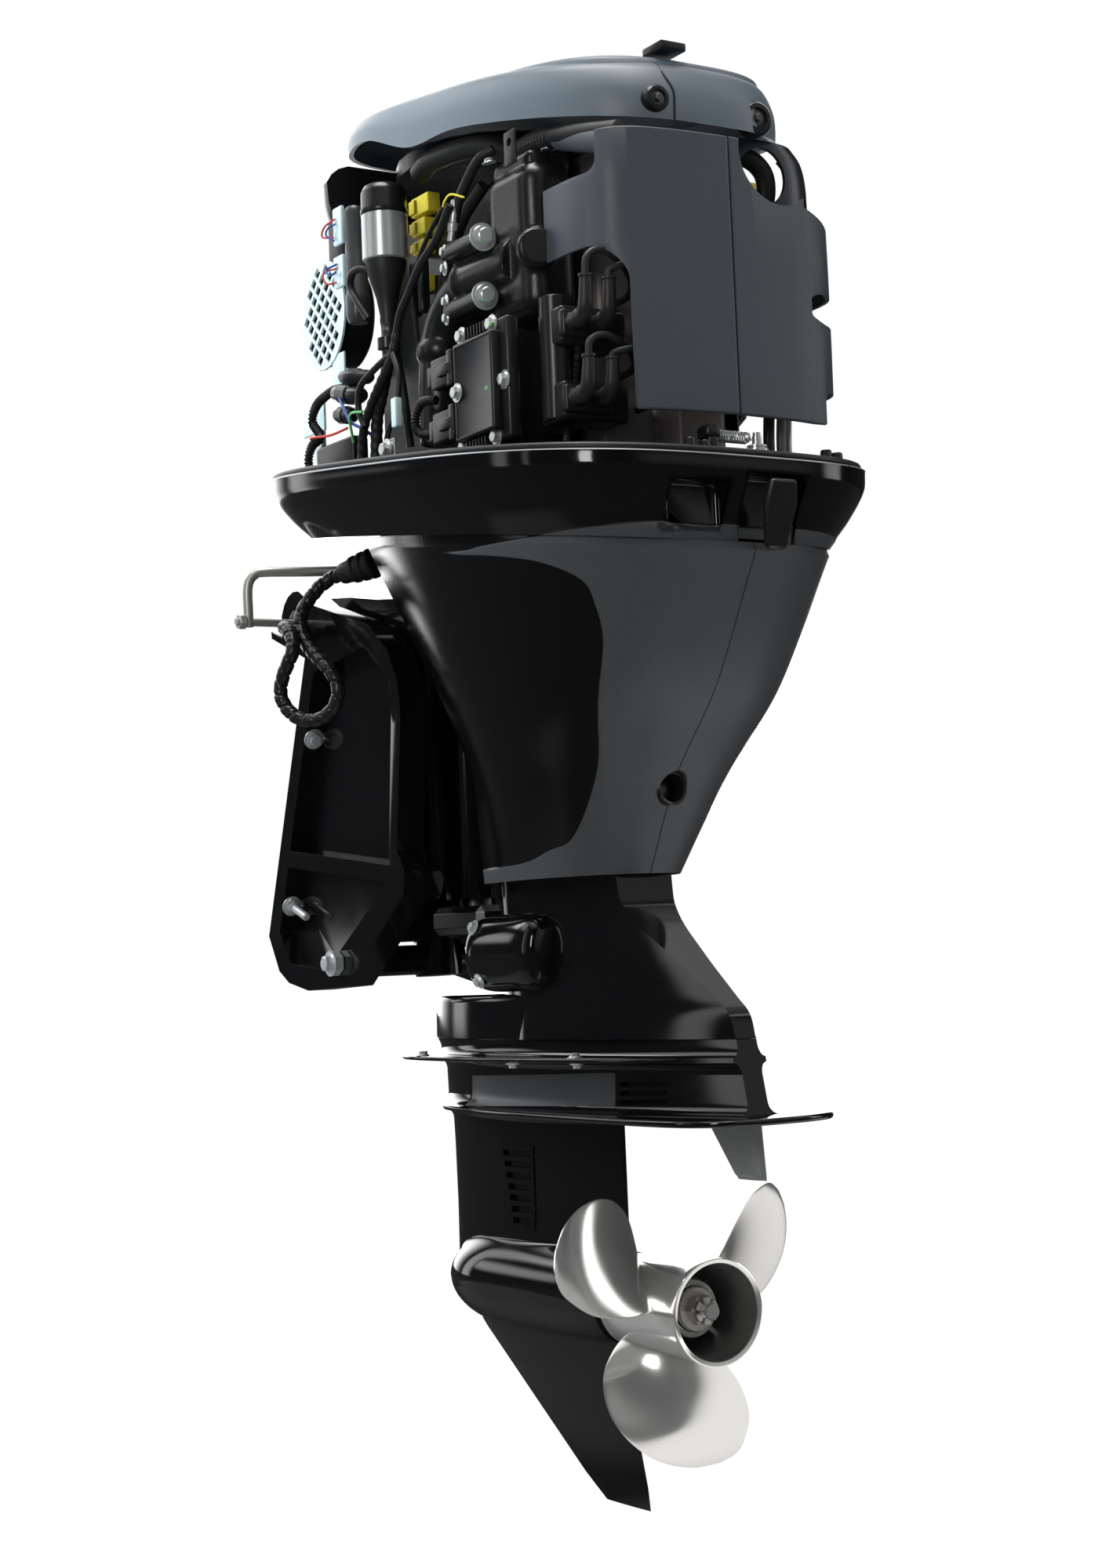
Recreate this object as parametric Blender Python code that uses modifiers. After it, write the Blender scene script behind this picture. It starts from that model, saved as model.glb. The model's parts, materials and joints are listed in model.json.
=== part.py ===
"""Outboard motor with its top cowl off: clamp, swivel, midsection, gearcase, propeller and powerhead.

Metres. Origin on the transom under the clamp hook, on the centreline. +X aft, +Y starboard, +Z up.
"""

import math

import bmesh
import bpy
from mathutils import Matrix, Vector

# Clearance between pieces that touch
GAP = 0.0004

# Main axes
TILT_X = -0.022
TILT_Z = 0.045
STEER_X = 0.160
DRIVE_X = 0.290
PROP_Z = -0.745
HUB_END_X = 0.620
TRIM_X = 0.063
TRIM_Z = -0.372
SHIFT_X = 0.190
TAB_X = 0.665

# Gearcase
TORPEDO_R = 0.053
TORPEDO_TAIL_X = 0.458
TORPEDO_NOSE_X = 0.094
STRUT_NOSE_X = 0.096
STRUT_TAIL_X = 0.455
SEAM_Z = -0.4645
PLATE_Z = -0.544
PLATE_THICK = 0.007
SPLASH_Z = -0.4855
CASE_HALF = 0.068
CASE_TAIL_HALF = 0.0125
TAIL_TOP_X = 0.6895
TAIL_LOW_X = 0.707
INTAKE_X = 0.535
INTAKE_Z = -0.514
INTAKE_HALF = 0.0497
INTAKE_TURN = math.radians(9)

# Propeller
PROP_R = 0.168
PROP_PITCH = 0.43
BLADE_COUNT = 3
BLADE_PHASE = math.radians(20)
BLADE_X = 0.535
SHAFT_R = 0.0115

# Clamp: transom face from the origin to its low end, and shares along it for the bolts
CLAMP_OUTER_Y = 0.135
CLAMP_INNER_Y = 0.100
FACE_LOW_X = -0.127
FACE_LOW_Z = -0.335
BOLT_SHARES = {"upper": 0.26, "lower": 0.86}
BOLT_HOLE_R = 0.0066
RELIEF_Y = 0.112
TUBE_R = 0.0165
TUBE_BORE_R = 0.0090
CROSS_SHAFT_R = 0.0090
PIN_HOLE_R = 0.0094

# Trim unit, swivel and steering
RAM_FOOT = Vector((TRIM_X, 0.0, TRIM_Z))
RAM_EYE = Vector((0.052, 0.0, -0.118))
SWIVEL_HALF = 0.085
SWIVEL_WALL = 0.020
SUPPORT_X = 0.120
SUPPORT_Y = -0.0925
SUPPORT_Z = -0.120
ARM_LENGTH = 0.110
LINK_Y = -0.198
LINK_Z = 0.106
DRAG_LINK_ROUTE = (
    (TILT_X, LINK_Y, TILT_Z - 0.006),
    (TILT_X, LINK_Y, 0.070),
    (TILT_X, LINK_Y, 0.092),
    (TILT_X + 0.002, LINK_Y + 0.004, 0.103),
    (TILT_X + 0.005, LINK_Y + 0.015, LINK_Z),
    (0.005, -0.124, LINK_Z),
    (0.040, -0.055, LINK_Z),
    (0.050, -0.020, LINK_Z),
    (0.050, 0.015, LINK_Z),
)

# Apron rows: share of the height, tail X, half width, front X, half width there
APRON_LEVELS = (
    (0.0, 0.745, 0.205, 0.215, 0.158),
    (0.42, 0.668, 0.165, 0.292, 0.118),
    (0.70, 0.589, 0.125, 0.322, 0.094),
    (1.0, 0.530, 0.084, 0.300, 0.070),
)
APRON_LOW_Z = -0.290

# Lower cowl rim: a superellipse on a plane that slopes down aft
RIM_X = 0.363
RIM_A = 0.400
RIM_B = 0.248
RIM_Z = 0.163
RIM_POWER = 3.0
RIM_SLOPE = math.tan(math.radians(-6.9))
TRAY_POINTS = 44
SHELL = 0.004

# Cowl latch at the tray's aft end, and its spring
LATCH_X = 0.7705
LATCH_Y = 0.018
LATCH_Z = 0.088
LATCH_LEAN = math.radians(16)
SPRING_X = 0.712
SPRING_Y = -0.0245
SPRING_Z = 0.145
SPRING_COIL_R = 0.0055
SPRING_WIRE_R = 0.0010
SPRING_CURLS = 9
SPRING_LENGTH = 0.046

# Powerhead
DECK_Z = 0.113
CYLINDER_COUNT = 4
CYLINDER_PITCH = 0.083
LOW_CYLINDER_Z = 0.170
BELT_Z = 0.4960
CRANK_PULLEY_R = 0.030
BLOCK_TOP_Z = 0.485
BLOCK_HALF = 0.095
BLOCK_FRONT_X = 0.140
HEAD_X = 0.470
COVER_X = 0.393
COVER_A = 0.320
COVER_B = 0.166
COVER_SKIRT_Z = 0.530
COVER_SKIRT_SLOPE = -0.20
COVER_TOP_Z = 0.582
COVER_TOP_SLOPE = -0.145
# Top cover rows: share of the plan, and of the height from skirt to top
COVER_ROWS = ((1.0, 0.0), (1.0, 0.45), (0.95, 0.85), (0.80, 1.0), (0.40, 1.08))
EYE_X = 0.500
EYE_Y = -0.030
EYE_Z = 0.5745
REAR_LOW_Z = 0.165
REAR_TOP_Z = 0.452
REAR_PORT_PLAN = (
    (0.606, 0.148),
    (0.660, 0.146),
    (0.695, 0.136),
    (0.714, 0.116),
    (0.723, 0.086),
    (0.728, 0.045),
    (0.730, 0.0006),
)
REAR_STARBOARD_PLAN = (
    (0.606, 0.158),
    (0.655, 0.160),
    (0.690, 0.152),
    (0.713, 0.128),
    (0.723, 0.092),
    (0.728, 0.045),
    (0.730, 0.0006),
)
CRESCENT_Y = 0.066
CRESCENT_Z = 0.442
CRESCENT_R = 0.053
SIDE_PLAN = (
    (0.664, 0.030),
    (0.675, 0.075),
    (0.675, 0.112),
    (0.668, 0.140),
    (0.652, 0.158),
    (0.622, 0.166),
)
# Side moulding rows: height and share of the half width
SIDE_ROWS = ((0.384, 1.0), (0.432, 1.0), (0.460, 0.96), (0.474, 0.88))
ELBOW_R = 0.0250
ELBOW_ROUTE = (
    (0.500, -0.140, 0.352),
    (0.430, -0.142, 0.346),
    (0.393, -0.145, 0.315),
    (0.380, -0.146, 0.260),
    (0.378, -0.146, 0.190),
)
BOSS_HIGH_Z = 0.378
BOSS_LOW_Z = 0.3155
COIL_HIGH_Z = 0.262
COIL_LOW_Z = 0.185
TOWER_FORE_Y = -0.150
TOWER_AFT_Y = -0.122
LEAD_FORE_X = (0.6945, 0.6945, 0.6930, 0.6880)
LEAD_AFT_X = (0.7000, 0.7040, 0.7030, 0.6940)
STARTER_X = 0.293
CANISTER_X = 0.222
SIDE_FITTING_Y = -0.162
GRILLE_X = 0.105
GRILLE_Z = 0.398
GRILLE_HALF_X = 0.056
GRILLE_HALF_Z = 0.066
# Silencer in front of the flywheel: plan centre, half length, half width, and rows of height and share
SILENCER_X = 0.170
SILENCER_BACK_X = 0.155
SILENCER_A = 0.110
SILENCER_B = 0.160
SILENCER_ROWS = ((0.500, 0.88), (0.508, 0.95), (0.522, 0.99), (0.546, 1.0), (0.560, 0.94), (0.569, 0.82))
BREATHER_ROUTE = (
    (0.500, -0.116, 0.478),
    (0.540, -0.124, 0.478),
    (0.590, -0.126, 0.474),
    (0.640, -0.120, 0.464),
    (0.690, -0.106, 0.455),
)

# Harness cable, which hangs in a loop beside the clamp from the rubber boot under the tray
CABLE_R = 0.0080
CABLE_ROUTE = (
    (0.068, -0.1190, 0.0927),
    (0.057, -0.1260, 0.0890),
    (0.047, -0.1400, 0.0760),
    (0.044, -0.158, 0.050),
    (0.052, -0.164, 0.028),
    (0.070, -0.167, 0.008),
    (0.097, -0.168, -0.010),
    (0.122, -0.165, -0.028),
    (0.134, -0.160, -0.050),
    (0.128, -0.162, -0.072),
    (0.108, -0.170, -0.085),
    (0.084, -0.180, -0.085),
    (0.064, -0.189, -0.073),
    (0.052, -0.194, -0.054),
    (0.053, -0.193, -0.035),
    (0.063, -0.190, -0.017),
    (0.073, -0.188, -0.004),
    (0.068, -0.184, 0.012),
    (0.050, -0.181, 0.026),
    (0.030, -0.176, 0.032),
    (0.012, -0.164, 0.033),
    (0.000, -0.150, 0.030),
)

# Finishes: colour, roughness, metallic
FINISHES = {
    "gloss_black": ((0.010, 0.010, 0.011), 0.12, 0.0),
    "satin_charcoal": ((0.045, 0.046, 0.048), 0.45, 0.0),
    "engine_black": ((0.012, 0.012, 0.012), 0.35, 0.0),
    "cover_grey": ((0.105, 0.125, 0.140), 0.45, 0.0),
    "rear_grey": ((0.045, 0.052, 0.057), 0.50, 0.0),
    "black_plastic": ((0.014, 0.014, 0.015), 0.40, 0.0),
    "rubber": ((0.020, 0.020, 0.020), 0.70, 0.0),
    "steel": ((0.560, 0.560, 0.550), 0.25, 1.0),
    "stainless": ((0.700, 0.670, 0.630), 0.12, 1.0),
    "zinc": ((0.330, 0.330, 0.330), 0.60, 0.6),
    "pale_plastic": ((0.550, 0.640, 0.640), 0.50, 0.0),
    "cast_alloy": ((0.300, 0.300, 0.300), 0.50, 0.9),
}


def clear_scene():
    for obj in list(bpy.data.objects):
        bpy.data.objects.remove(obj, do_unlink=True)


def new_collection(name):
    made = bpy.data.collections.new(name)
    bpy.context.scene.collection.children.link(made)
    return made


clear_scene()
PARTS = new_collection("outboard_motor")
CUTTERS = new_collection("cutters")


def material(name, finish):
    colour, roughness, metallic = FINISHES[finish]
    made = bpy.data.materials.new(name + "_finish")
    made.use_nodes = True
    shader = made.node_tree.nodes["Principled BSDF"]
    shader.inputs["Base Color"].default_value = (*colour, 1.0)
    shader.inputs["Roughness"].default_value = roughness
    shader.inputs["Metallic"].default_value = metallic
    made.diffuse_color = (*colour, 1.0)
    return made


def add(name, data, finish):
    made = bpy.data.objects.new(name, data)
    PARTS.objects.link(made)
    made.data.materials.append(material(name, finish))
    return made


def from_bmesh(name, finish, bm):
    bmesh.ops.recalc_face_normals(bm, faces=bm.faces)
    mesh = bpy.data.meshes.new(name)
    bm.to_mesh(mesh)
    bm.free()
    return add(name, mesh, finish)


def round_edges(obj, width, segments=1):
    bevel = obj.modifiers.new("round_edges", "BEVEL")
    bevel.width = width
    bevel.segments = segments
    bevel.limit_method = "ANGLE"
    return obj


def box(name, finish, low, high, bevel=0.0):
    low, high = Vector(low), Vector(high)
    bm = bmesh.new()
    bmesh.ops.create_cube(bm, size=1.0, matrix=Matrix.Diagonal((*(high - low), 1.0)))
    made = from_bmesh(name, finish, bm)
    made.location = (low + high) / 2
    return round_edges(made, bevel) if bevel else made


def rod(name, finish, start, end, radius, sides=16, end_radius=None):
    start, end = Vector(start), Vector(end)
    bm = bmesh.new()
    bmesh.ops.create_cone(
        bm,
        cap_ends=True,
        segments=sides,
        radius1=radius,
        radius2=radius if end_radius is None else end_radius,
        depth=(end - start).length,
    )
    made = from_bmesh(name, finish, bm)
    made.location = (start + end) / 2
    made.rotation_euler = (end - start).to_track_quat("Z", "Y").to_euler()
    return made


def turned(name, finish, profile, base, axis="Z", steps=24):
    """Profile points are (radius, height along the axis), from the top down the outer side."""
    mesh = bpy.data.meshes.new(name)
    edges = [(i, i + 1) for i in range(len(profile) - 1)]
    if profile[0][0] > 0:
        edges.append((len(profile) - 1, 0))
    mesh.from_pydata([(radius, 0.0, height) for radius, height in profile], edges, [])
    made = add(name, mesh, finish)
    screw = made.modifiers.new("turn", "SCREW")
    screw.axis = "Z"
    screw.steps = steps
    screw.render_steps = steps
    screw.use_merge_vertices = True
    screw.merge_threshold = 0.00001
    made.location = base
    made.rotation_euler = {"X": (0.0, math.pi / 2, 0.0), "Z": (0.0, 0.0, 0.0)}[axis]
    return made


def tube(name, finish, points, radius, resolution=2, closed=False):
    curve = bpy.data.curves.new(name, "CURVE")
    curve.dimensions = "3D"
    curve.bevel_depth = radius
    curve.bevel_resolution = resolution
    curve.use_fill_caps = not closed
    spline = curve.splines.new("POLY")
    spline.points.add(len(points) - 1)
    for point, place in zip(spline.points, points):
        point.co = (*place, 1.0)
    spline.use_cyclic_u = closed
    return add(name, curve, finish)


def as_mesh(obj):
    """The curve made a closed mesh, so that it can be cut and joined."""
    bpy.context.view_layer.update()
    evaluated = obj.evaluated_get(bpy.context.evaluated_depsgraph_get())
    mesh = bpy.data.meshes.new_from_object(evaluated)
    bm = bmesh.new()
    bm.from_mesh(mesh)
    bmesh.ops.remove_doubles(bm, verts=bm.verts, dist=0.00001)
    bmesh.ops.recalc_face_normals(bm, faces=bm.faces)
    bm.to_mesh(mesh)
    bm.free()
    name = obj.name
    place = obj.matrix_world.copy()
    bpy.data.objects.remove(obj, do_unlink=True)
    made = bpy.data.objects.new(name, mesh)
    PARTS.objects.link(made)
    made.matrix_world = place
    return made


def plate(name, finish, outlines, thickness, plane, middle):
    """Flat outlines, filled between each other, and given a thickness across their plane."""
    curve = bpy.data.curves.new(name, "CURVE")
    curve.dimensions = "2D"
    curve.fill_mode = "BOTH"
    curve.extrude = thickness / 2
    for outline in outlines:
        spline = curve.splines.new("POLY")
        spline.points.add(len(outline) - 1)
        for point, (across, up) in zip(spline.points, outline):
            point.co = (across, up, 0.0, 1.0)
        spline.use_cyclic_u = True
    made = add(name, curve, finish)
    if plane == "XY":
        made.location = (0.0, 0.0, middle)
    elif plane == "XZ":
        made.location = (0.0, middle, 0.0)
        made.rotation_euler = (math.pi / 2, 0.0, 0.0)
    else:
        made.location = (middle, 0.0, 0.0)
        made.rotation_euler = (math.pi / 2, 0.0, math.pi / 2)
    return as_mesh(made)


def loft(name, finish, rings, closed=True, first_cap=True, last_cap=True):
    bm = bmesh.new()
    rows = [[bm.verts.new(point) for point in ring] for ring in rings]
    for lower, upper in zip(rows, rows[1:]):
        count = len(lower)
        for i in range(count if closed else count - 1):
            j = (i + 1) % count
            bm.faces.new((lower[i], lower[j], upper[j], upper[i]))
    bmesh.ops.triangulate(bm, faces=bm.faces)
    if first_cap:
        bm.faces.new(list(reversed(rows[0])))
    if last_cap:
        bm.faces.new(rows[-1])
    return from_bmesh(name, finish, bm)


def thicken(obj, thickness, offset):
    solid = obj.modifiers.new("wall", "SOLIDIFY")
    solid.thickness = thickness
    solid.offset = offset
    solid.use_even_offset = True
    return obj


def stow(obj):
    for holder in obj.users_collection:
        holder.objects.unlink(obj)
    CUTTERS.objects.link(obj)
    obj.hide_render = True
    obj.display_type = "WIRE"


def combine(target, operation, others):
    for other in others:
        boolean = target.modifiers.new(other.name, "BOOLEAN")
        boolean.operation = operation
        boolean.object = other
        boolean.solver = "EXACT"
        stow(other)
    return target


def cut(target, *cutters):
    return combine(target, "DIFFERENCE", cutters)


def join(target, *pieces):
    return combine(target, "UNION", pieces)


def mirrored(outline):
    """A closed outline from its +Y half, listed from one end of the centreline to the other."""
    return [(x, -y) for x, y in outline] + [(x, y) for x, y in reversed(outline) if y > 0]


def streamline(z, nose, tail, half, tail_half, peak=0.35, count=7):
    """A waterline: an elliptical nose, the widest place at the peak, and a flat narrow tail."""
    chord = tail - nose
    side = []
    for i in range(1, count + 1):
        turn = i / count * math.pi / 2
        side.append((nose + chord * peak * (1 - math.cos(turn)), half * math.sin(turn)))
    for i in range(1, count):
        along = i / (count - 1)
        width = tail_half + (half - tail_half) * (1 - along**2)
        side.append((nose + chord * (peak + (1 - peak) * along), width))
    port = [(x, -y, z) for x, y in side]
    starboard = [(x, y, z) for x, y in reversed(side)]
    return [(nose, 0.0, z)] + port + starboard


def lens(z, front, back, half):
    """A thin pointed waterline for the skeg."""
    shares = (0.12, 0.45, 0.8)
    length = back - front
    widths = [half * math.sqrt(1 - (2 * share - 1) ** 2) for share in shares]
    port = [(front + length * share, -width, z) for share, width in zip(shares, widths)]
    starboard = [(x, -y, z) for x, y, z in reversed(port)]
    return [(front, 0.0, z), *port, (back, 0.0, z), *starboard]


def superellipse(centre, a, b, power, count):
    ring = []
    for i in range(count):
        turn = 2 * math.pi * i / count
        along, across = math.cos(turn), math.sin(turn)
        x = centre + a * math.copysign(abs(along) ** (2 / power), along)
        y = b * math.copysign(abs(across) ** (2 / power), across)
        ring.append((x, y))
    return ring


def smooth_path(route, per_span):
    """Points of a Catmull-Rom curve through the route's own points."""
    route = [Vector(point) for point in route]
    route = [2 * route[0] - route[1], *route, 2 * route[-1] - route[-2]]
    path = []
    for before, start, end, after in zip(route, route[1:], route[2:], route[3:]):
        for i in range(per_span):
            t = i / per_span
            path.append(
                0.5
                * (
                    2 * start
                    + (end - before) * t
                    + (2 * before - 5 * start + 4 * end - after) * t**2
                    + (3 * start - before - 3 * end + after) * t**3
                )
            )
    path.append(route[-2])
    return path


def least_self_gap(points, radius, skip):
    """The least clear distance of a tube to itself, between points at least skip steps apart."""
    points = [Vector(point) for point in points]
    nearest = min(
        (points[i] - points[j]).length for i in range(len(points)) for j in range(i + skip, len(points))
    )
    return nearest - 2 * radius


def pivot(name, place):
    made = bpy.data.objects.new(name, None)
    made.location = place
    PARTS.objects.link(made)
    return made


def carry(holder, *pieces):
    bpy.context.view_layer.update()
    for piece in pieces:
        piece.parent = holder
        piece.matrix_parent_inverse = holder.matrix_world.inverted()


# Gearcase and what it holds


def make_gearcase():
    case = turned(
        "gearcase",
        "gloss_black",
        [
            (0.0, TORPEDO_TAIL_X),
            (0.050, TORPEDO_TAIL_X),
            (0.0525, 0.420),
            (TORPEDO_R, 0.360),
            (TORPEDO_R, 0.225),
            (0.049, 0.170),
            (0.041, 0.135),
            (0.028, 0.111),
            (0.014, 0.098),
            (0.0, TORPEDO_NOSE_X),
        ],
        (0.0, 0.0, PROP_Z),
        axis="X",
    )
    strut = loft(
        "gearcase_strut",
        "gloss_black",
        [
            streamline(z, STRUT_NOSE_X, STRUT_TAIL_X, half, 0.003, 0.4)
            for z, half in ((-0.735, 0.030), (-0.660, 0.027), (-0.590, 0.030), (-0.535, 0.040))
        ],
    )
    upper = loft(
        "gearcase_upper",
        "gloss_black",
        [
            streamline(PLATE_Z, 0.108, TAIL_LOW_X, CASE_HALF, CASE_TAIL_HALF),
            streamline(SPLASH_Z, 0.106, 0.694, CASE_HALF, CASE_TAIL_HALF),
            streamline(SEAM_Z - GAP, 0.0855, TAIL_TOP_X, CASE_HALF, CASE_TAIL_HALF),
        ],
    )
    ventilation_plate = plate(
        "gearcase_ventilation_plate",
        "gloss_black",
        [
            mirrored(
                [
                    (0.106, 0.0),
                    (0.120, 0.030),
                    (0.170, 0.058),
                    (0.280, 0.082),
                    (0.420, 0.096),
                    (0.600, 0.100),
                    (0.690, 0.094),
                    (0.735, 0.070),
                    (0.752, 0.035),
                    (0.755, 0.0),
                ]
            )
        ],
        PLATE_THICK,
        "XY",
        PLATE_Z - 0.0005,
    )
    splash_plate = plate(
        "gearcase_splash_plate",
        "gloss_black",
        [
            mirrored(
                [
                    (0.056, 0.0),
                    (0.062, 0.030),
                    (0.084, 0.062),
                    (0.126, 0.086),
                    (0.200, 0.098),
                    (0.340, 0.100),
                    (0.480, 0.086),
                    (0.580, 0.058),
                    (0.650, 0.022),
                    (0.660, 0.0),
                ]
            )
        ],
        0.005,
        "XY",
        SPLASH_Z,
    )
    skeg = loft(
        "gearcase_skeg",
        "gloss_black",
        [
            lens(-0.968, 0.386, 0.481, 0.003),
            lens(-0.893, 0.276, 0.461, 0.005),
            lens(-0.800, 0.140, 0.455, 0.007),
            lens(-0.765, 0.110, 0.452, 0.009),
        ],
    )
    join(case, strut, upper, ventilation_plate, splash_plate, skeg)
    shaft_bore = rod(
        "gearcase_shaft_bore", "steel", (0.165, 0.0, PROP_Z), (0.480, 0.0, PROP_Z), 0.0445, 24
    )
    drive_bore = rod(
        "gearcase_drive_bore", "steel", (DRIVE_X, 0.0, PROP_Z), (DRIVE_X, 0.0, -0.440), 0.0165
    )
    shift_bore = rod(
        "gearcase_shift_bore", "steel", (SHIFT_X, 0.0, PROP_Z), (SHIFT_X, 0.0, -0.440), 0.0075, 12
    )
    cut(case, shaft_bore, drive_bore, shift_bore)
    for side in (-1, 1):
        for row in (-1, 0, 1):
            name = f"gearcase_intake_{side}_{row}"
            slot = box(name, "gloss_black", (-0.044, -0.006, -0.0028), (0.044, 0.006, 0.0028))
            slot.location = (INTAKE_X, side * INTAKE_HALF, INTAKE_Z + 0.0088 * row)
            slot.rotation_euler = (0.0, 0.0, -side * INTAKE_TURN)
            cut(case, slot)
    return case


def make_trim_tab():
    outline = [
        (0.620, PLATE_Z - 0.0050),
        (0.6685, -0.607),
        (0.713, -0.605),
        (0.708, PLATE_Z - 0.0050),
    ]
    return round_edges(plate("trim_tab", "zinc", [outline], 0.010, "XZ", 0.0), 0.003)


def make_bearing_carrier():
    return turned(
        "bearing_carrier",
        "cast_alloy",
        [
            (0.013, 0.4625),
            (0.038, 0.4625),
            (0.040, 0.4585),
            (0.044, 0.4575),
            (0.044, 0.3950),
            (0.034, 0.3950),
            (0.034, 0.4200),
            (0.013, 0.4200),
        ],
        (0.0, 0.0, PROP_Z),
        axis="X",
        steps=20,
    )


def make_prop_shaft():
    return turned(
        "prop_shaft",
        "stainless",
        [
            (0.0, 0.610),
            (0.008, 0.610),
            (0.009, 0.607),
            (0.009, 0.5755),
            (SHAFT_R, 0.5745),
            (SHAFT_R, 0.2050),
            (0.0, 0.2050),
        ],
        (0.0, 0.0, PROP_Z),
        axis="X",
        steps=16,
    )


def bevel_gear(name, facing):
    """A crown gear whose cone points at the drive shaft's axis, facing aft (+1) or forward (-1)."""
    teeth = 14
    rings = []
    for radius, depth, tooth in (
        (0.0300, 0.0320, 0.0),
        (0.0345, 0.0215, 0.0),
        (0.0345, 0.0182, 0.0012),
        (0.0232, 0.0124, 0.0009),
        (0.0225, 0.0140, 0.0),
    ):
        ring = []
        for i in range(2 * teeth):
            turn = math.pi * i / teeth
            r = radius + (tooth if i % 2 else -tooth)
            x = DRIVE_X - facing * depth
            ring.append((x, r * math.cos(turn), PROP_Z + r * math.sin(turn)))
        rings.append(ring)
    gear = loft(name, "steel", rings)
    bore = rod(name + "_bore", "steel", (DRIVE_X - 0.06, 0, PROP_Z), (DRIVE_X + 0.06, 0, PROP_Z), 0.0125)
    return cut(gear, bore)


def make_pinion():
    teeth = 8
    rings = []
    for radius, height, tooth in (
        (0.0125, 0.0470, 0.0),
        (0.0160, 0.0400, 0.0),
        (0.0160, 0.0370, 0.0010),
        (0.0106, 0.0240, 0.0007),
    ):
        ring = []
        for i in range(2 * teeth):
            turn = math.pi * i / teeth
            r = radius + (tooth if i % 2 else -tooth)
            ring.append((DRIVE_X + r * math.cos(turn), r * math.sin(turn), PROP_Z + height))
        rings.append(ring)
    gear = loft("pinion_gear", "steel", rings)
    bore = rod("pinion_gear_bore", "steel", (DRIVE_X, 0, PROP_Z), (DRIVE_X, 0, PROP_Z + 0.06), 0.0094, 12)
    return cut(gear, bore)


def make_clutch_dog():
    return turned(
        "clutch_dog",
        "steel",
        [
            (SHAFT_R + GAP, 0.0085),
            (0.0180, 0.0085),
            (0.0180, -0.0085),
            (SHAFT_R + GAP, -0.0085),
        ],
        (DRIVE_X, 0.0, PROP_Z),
        axis="X",
        steps=16,
    )


def make_drive_shaft():
    return rod("drive_shaft", "steel", (DRIVE_X, 0, PROP_Z + 0.026), (DRIVE_X, 0, 0.092), 0.009, 12)


def make_shift_shaft():
    return rod("shift_shaft", "steel", (SHIFT_X, 0, PROP_Z + 0.004), (SHIFT_X, 0, -0.445), 0.005, 8)


def make_water_pump():
    housing = turned(
        "water_pump_housing",
        "black_plastic",
        [
            (0.0105, -0.4260),
            (0.0300, -0.4260),
            (0.0420, -0.4320),
            (0.0420, SEAM_Z + 0.0004),
            (0.0300, SEAM_Z + 0.0004),
            (0.0300, -0.4360),
            (0.0105, -0.4360),
        ],
        (DRIVE_X, 0.0, 0.0),
        steps=20,
    )
    vanes = 6
    rings = []
    for z in (SEAM_Z + 0.003, -0.4380):
        ring = []
        for i in range(4 * vanes):
            turn = math.pi * i / (2 * vanes)
            r = 0.027 if i % 4 in (0, 1) else 0.015
            ring.append((DRIVE_X + r * math.cos(turn), r * math.sin(turn), z))
        rings.append(ring)
    impeller = loft("pump_impeller", "rubber", rings)
    bore = rod("pump_impeller_bore", "rubber", (DRIVE_X, 0, -0.48), (DRIVE_X, 0, -0.42), 0.0094, 12)
    return housing, cut(impeller, bore)


# Propeller


def blade_section(radius, chord, thickness, skew, rake):
    """Points round one section of a right-hand blade, wrapped on its cylinder."""
    pitch = math.atan(PROP_PITCH / (2 * math.pi * radius))
    points = []
    back = [(-0.5, 0.0), (-0.3, 0.75), (0.0, 1.0), (0.3, 0.7), (0.5, 0.0)]
    face = [(0.3, -0.15), (0.0, -0.2), (-0.3, -0.15)]
    for along, bulge in back + face:
        s = along * chord
        t = bulge * thickness
        forward = s * math.sin(pitch) - t * math.cos(pitch)
        turn = (s * math.cos(pitch) + t * math.sin(pitch)) / radius + skew
        points.append((BLADE_X + forward + rake, radius, turn))
    return points


def make_blade(number):
    sections = (
        blade_section(0.044, 0.100, 0.0090, 0.00, 0.000),
        blade_section(0.070, 0.128, 0.0070, 0.02, 0.003),
        blade_section(0.100, 0.152, 0.0055, 0.06, 0.008),
        blade_section(0.130, 0.150, 0.0042, 0.13, 0.014),
        blade_section(0.152, 0.114, 0.0034, 0.21, 0.018),
        blade_section(0.164, 0.068, 0.0028, 0.28, 0.021),
        blade_section(PROP_R, 0.028, 0.0022, 0.31, 0.022),
    )
    phase = BLADE_PHASE + 2 * math.pi * number / BLADE_COUNT
    rings = [
        [(x, r * math.cos(phase + turn), PROP_Z + r * math.sin(phase + turn)) for x, r, turn in section]
        for section in sections
    ]
    return loft(f"propeller_blade_{number}", "stainless", rings)


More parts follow.
